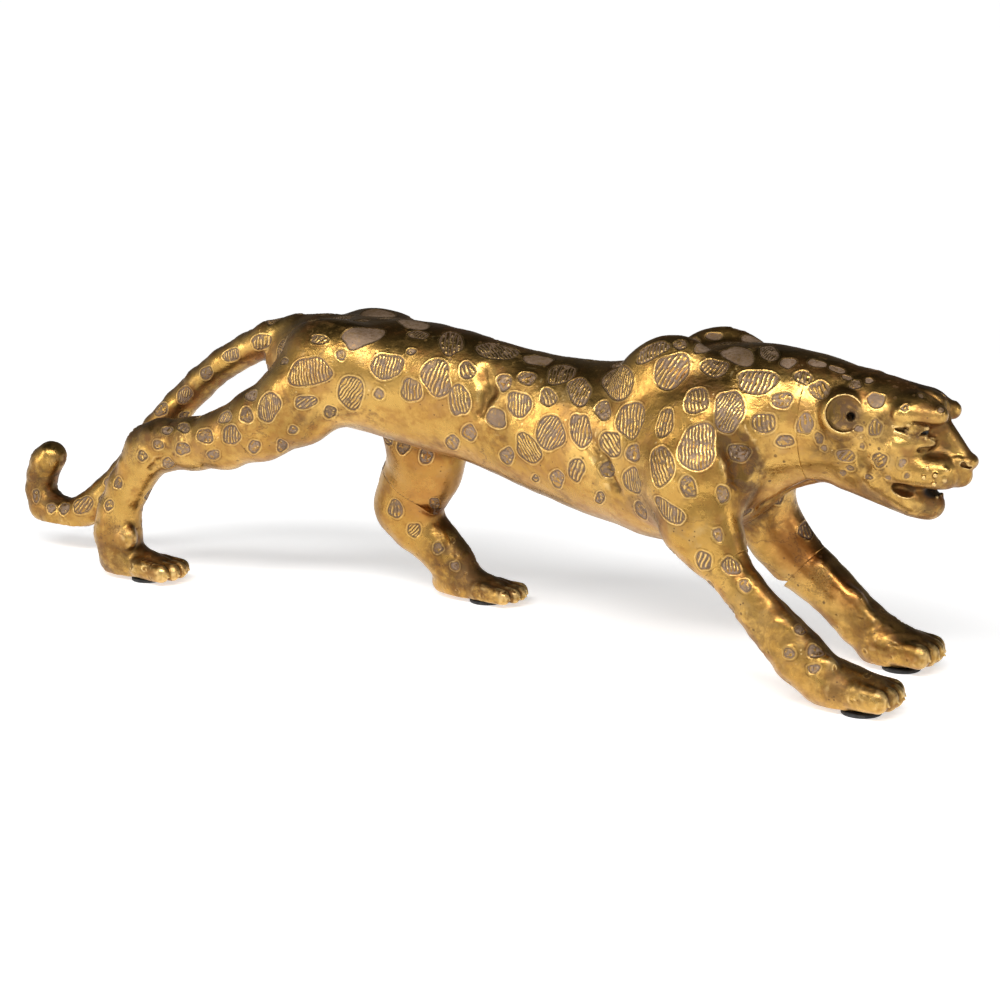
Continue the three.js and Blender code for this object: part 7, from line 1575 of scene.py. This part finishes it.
H = 1.5
cuts = [(np.array(PLANES[n]["p"]) - np.array(PLANES[n]["n"]) * GAP / 2, PLANES[n]["n"], WIDTH[n]) for n in WIDTH]
torso = build("torso", TORSO, (-182, -68, 40), (NECK_X + 14, 68, 184), 1.25, SPOTS,
              cuts + [(np.array([NECK_X - GAP / 2, 0, 133]), [1, 0, 0], 60)], 1.0)
place(torso, GILT, "gilt_brass", "torso_shell")
head = build("head", HEADROWS, (176, -44, 68), (284, 44, 176), 0.62, SPOTS,
             [(np.array([NECK_X + GAP / 2, 0, 133]), [-1, 0, 0], 60)], 0.55)
place(head, GILT, "gilt_brass", "head_casting")
LIMBS = {
    "foreR": ("foreleg_right", (128, -72, -3), (276, -14, 96)),
    "foreL": ("foreleg_left", (132, 8, -3), (268, 66, 84)),
    "hindR": ("hindleg_right", (-282, -66, -3), (-118, 2, 134)),
    "hindL": ("hindleg_left", (-116, 6, -3), (14, 66, 92)),
    "tail": ("tail_casting", (-358, -22, 18), (-146, 24, 160)),
}
for n, (node, lo, hi) in LIMBS.items():
    p, m = np.array(PLANES[n]["p"]), np.array(PLANES[n]["n"])
    ob = build(node.replace("_casting", ""), limb_rows(n), lo, hi, 0.95, SPOTS, [(p + m * GAP / 2, list(-m), 60)], 1.0)
    place(ob, GILT, "gilt_brass", node)


# ------------------------------------------------------------------ feet and pins
def lathe(name, profile, base, axis, steps=96):
    """A turned piece: profile is [(radius, height)] in mm along the axis from base."""
    ax = Vector(axis).normalized()
    a1 = ax.orthogonal().normalized()
    a2 = ax.cross(a1)
    verts, faces = [], []
    for r, z in profile:
        for k in range(steps):
            t = 2 * math.pi * k / steps
            verts.append(Vector(base) + (a1 * math.cos(t) + a2 * math.sin(t)) * r * MM + ax * z * MM)
    for i in range(len(profile) - 1):
        for k in range(steps):
            j = (k + 1) % steps
            faces.append((i * steps + k, i * steps + j, (i + 1) * steps + j, (i + 1) * steps + k))
    faces.append(tuple(range(steps))[::-1])
    faces.append(tuple((len(profile) - 1) * steps + k for k in range(steps)))
    me = bpy.data.meshes.new(name)
    me.from_pydata([tuple(v) for v in verts], [], faces)
    me.polygons.foreach_set("use_smooth", np.array([len(f) == 4 for f in faces]))
    bm = bmesh.new()
    bm.from_mesh(me)
    bmesh.ops.recalc_face_normals(bm, faces=bm.faces[:])
    bm.to_mesh(me)
    bm.free()
    ob = bpy.data.objects.new(name, me)
    bpy.context.scene.collection.objects.link(ob)
    return ob


for node in ("forefoot_right_pad", "forefoot_left_pad", "hindfoot_right_pad", "hindfoot_left_pad"):
    lo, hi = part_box(node)
    c = (lo + hi) / 2
    prof = [(9.35, 0.0), (9.75, 0.08), (9.93, 0.25), (10.0, 0.55), (10.0, 1.30), (9.9, 1.62), (9.65, 1.86), (9.2, 1.97), (8.6, 2.0)]
    ob = lathe(node + "_rubber", prof, (c.x, c.y, lo.z), (0, 0, 1))
    place(ob, RUBBER, "foot_rubber", node)

for node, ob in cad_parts.items():
    if node.endswith("_pin") or node.endswith("_dowel"):
        ob.data.materials.clear()
        ob.data.materials.append(STEEL)
        for s in ob.material_slots:
            s.material = STEEL

# ------------------------------------------------------------------ floor, lights, camera
# the floor's glow at the object, the depth of its painted shadow
FLOOR_SHADOW_GLOW = 0.55
me = bpy.data.meshes.new("floor")
ring = [(22 * math.cos(t), 22 * math.sin(t), -0.0002) for t in np.linspace(0, 2 * math.pi, 96, endpoint=False)]
me.from_pydata(ring, [], [tuple(range(96))])
floor = bpy.data.objects.new("floor", me)
bpy.context.scene.collection.objects.link(floor)
me.materials.append(glowing_floor_material())

TARGET = Vector(((0 + SHIFT[0]) * MM, (0 + SHIFT[1]) * MM, 0.0695))


def area(name, pos, size, power, colour=(1, 1, 1), aim=None, size_y=None):
    l = bpy.data.lights.new(name, "AREA")
    l.energy = power
    l.color = colour
    l.shape = "RECTANGLE"
    l.size = size
    l.size_y = size_y or size
    o = bpy.data.objects.new(name, l)
    bpy.context.scene.collection.objects.link(o)
    o.location = pos
    d = Vector(aim or TARGET) - Vector(pos)
    o.rotation_euler = d.to_track_quat("-Z", "Y").to_euler()
    return o


# directions as seen from the camera: R to the right, B towards it
az = math.radians(32)
RV, BV = Vector((math.cos(az), math.sin(az), 0)), Vector((math.sin(az), -math.cos(az), 0))


def around(r, b, z):
    return TARGET + RV * r + BV * b + Vector((0, 0, z))


area("strip", around(-0.25, 1.35, 1.45), 2.3, 42, size_y=0.46)
area("side", around(-1.9, 0.5, 0.55), 0.45, 8, size_y=1.1)
area("fill", around(1.9, 0.9, 0.5), 0.40, 4, size_y=0.9)


world = bpy.data.worlds.new("room")
bpy.context.scene.world = world
world.use_nodes = True
wt = world.node_tree
wt.nodes.clear()
tc = wt.nodes.new("ShaderNodeTexCoord")
sp = wt.nodes.new("ShaderNodeSeparateXYZ")
wt.links.new(tc.outputs["Generated"], sp.inputs[0])
rp = wt.nodes.new("ShaderNodeValToRGB")
wt.links.new(sp.outputs[2], rp.inputs[0])
els = rp.color_ramp.elements
els[0].position, els[0].color = WORLD[0][0], (*WORLD[0][1], 1)
els[1].position, els[1].color = WORLD[-1][0], (*WORLD[-1][1], 1)
for p_, c_ in WORLD[1:-1]:
    e = els.new(p_)
    e.color = (*c_, 1)
bg = wt.nodes.new("ShaderNodeBackground")
wt.links.new(rp.outputs[0], bg.inputs[0])
side = wt.nodes.new("ShaderNodeVectorMath")
side.operation = "DOT_PRODUCT"
wt.links.new(tc.outputs["Generated"], side.inputs[0])
side.inputs[1].default_value = (BV.x - 0.5 * RV.x, BV.y - 0.5 * RV.y, 0)
gain = wt.nodes.new("ShaderNodeMapRange")
gain.interpolation_type = "SMOOTHSTEP"
wt.links.new(side.outputs["Value"], gain.inputs["Value"])
for k_, v_ in (("From Min", -0.85), ("From Max", 0.55), ("To Min", 0.22), ("To Max", 1.25)):
    gain.inputs[k_].default_value = v_
wt.links.new(gain.outputs["Result"], bg.inputs[1])
wo = wt.nodes.new("ShaderNodeOutputWorld")
wt.links.new(bg.outputs[0], wo.inputs[0])

cam = bpy.data.cameras.new("camera")
cam.sensor_width = 36.0
cam.lens = 86.4
cam.clip_start, cam.clip_end = 0.05, 100
camera = bpy.data.objects.new("camera", cam)
bpy.context.scene.collection.objects.link(camera)
ea, ee = math.radians(32), math.radians(13)
back = Vector((math.sin(ea) * math.cos(ee), -math.cos(ea) * math.cos(ee), math.sin(ee)))
camera.location = TARGET + back * 1.2973
camera.rotation_euler = back.to_track_quat("Z", "Y").to_euler()
bpy.context.scene.camera = camera
bpy.context.scene.view_settings.view_transform = "Standard"
bpy.context.scene.view_settings.look = "None"
bpy.context.scene.view_settings.exposure = EXPOSURE
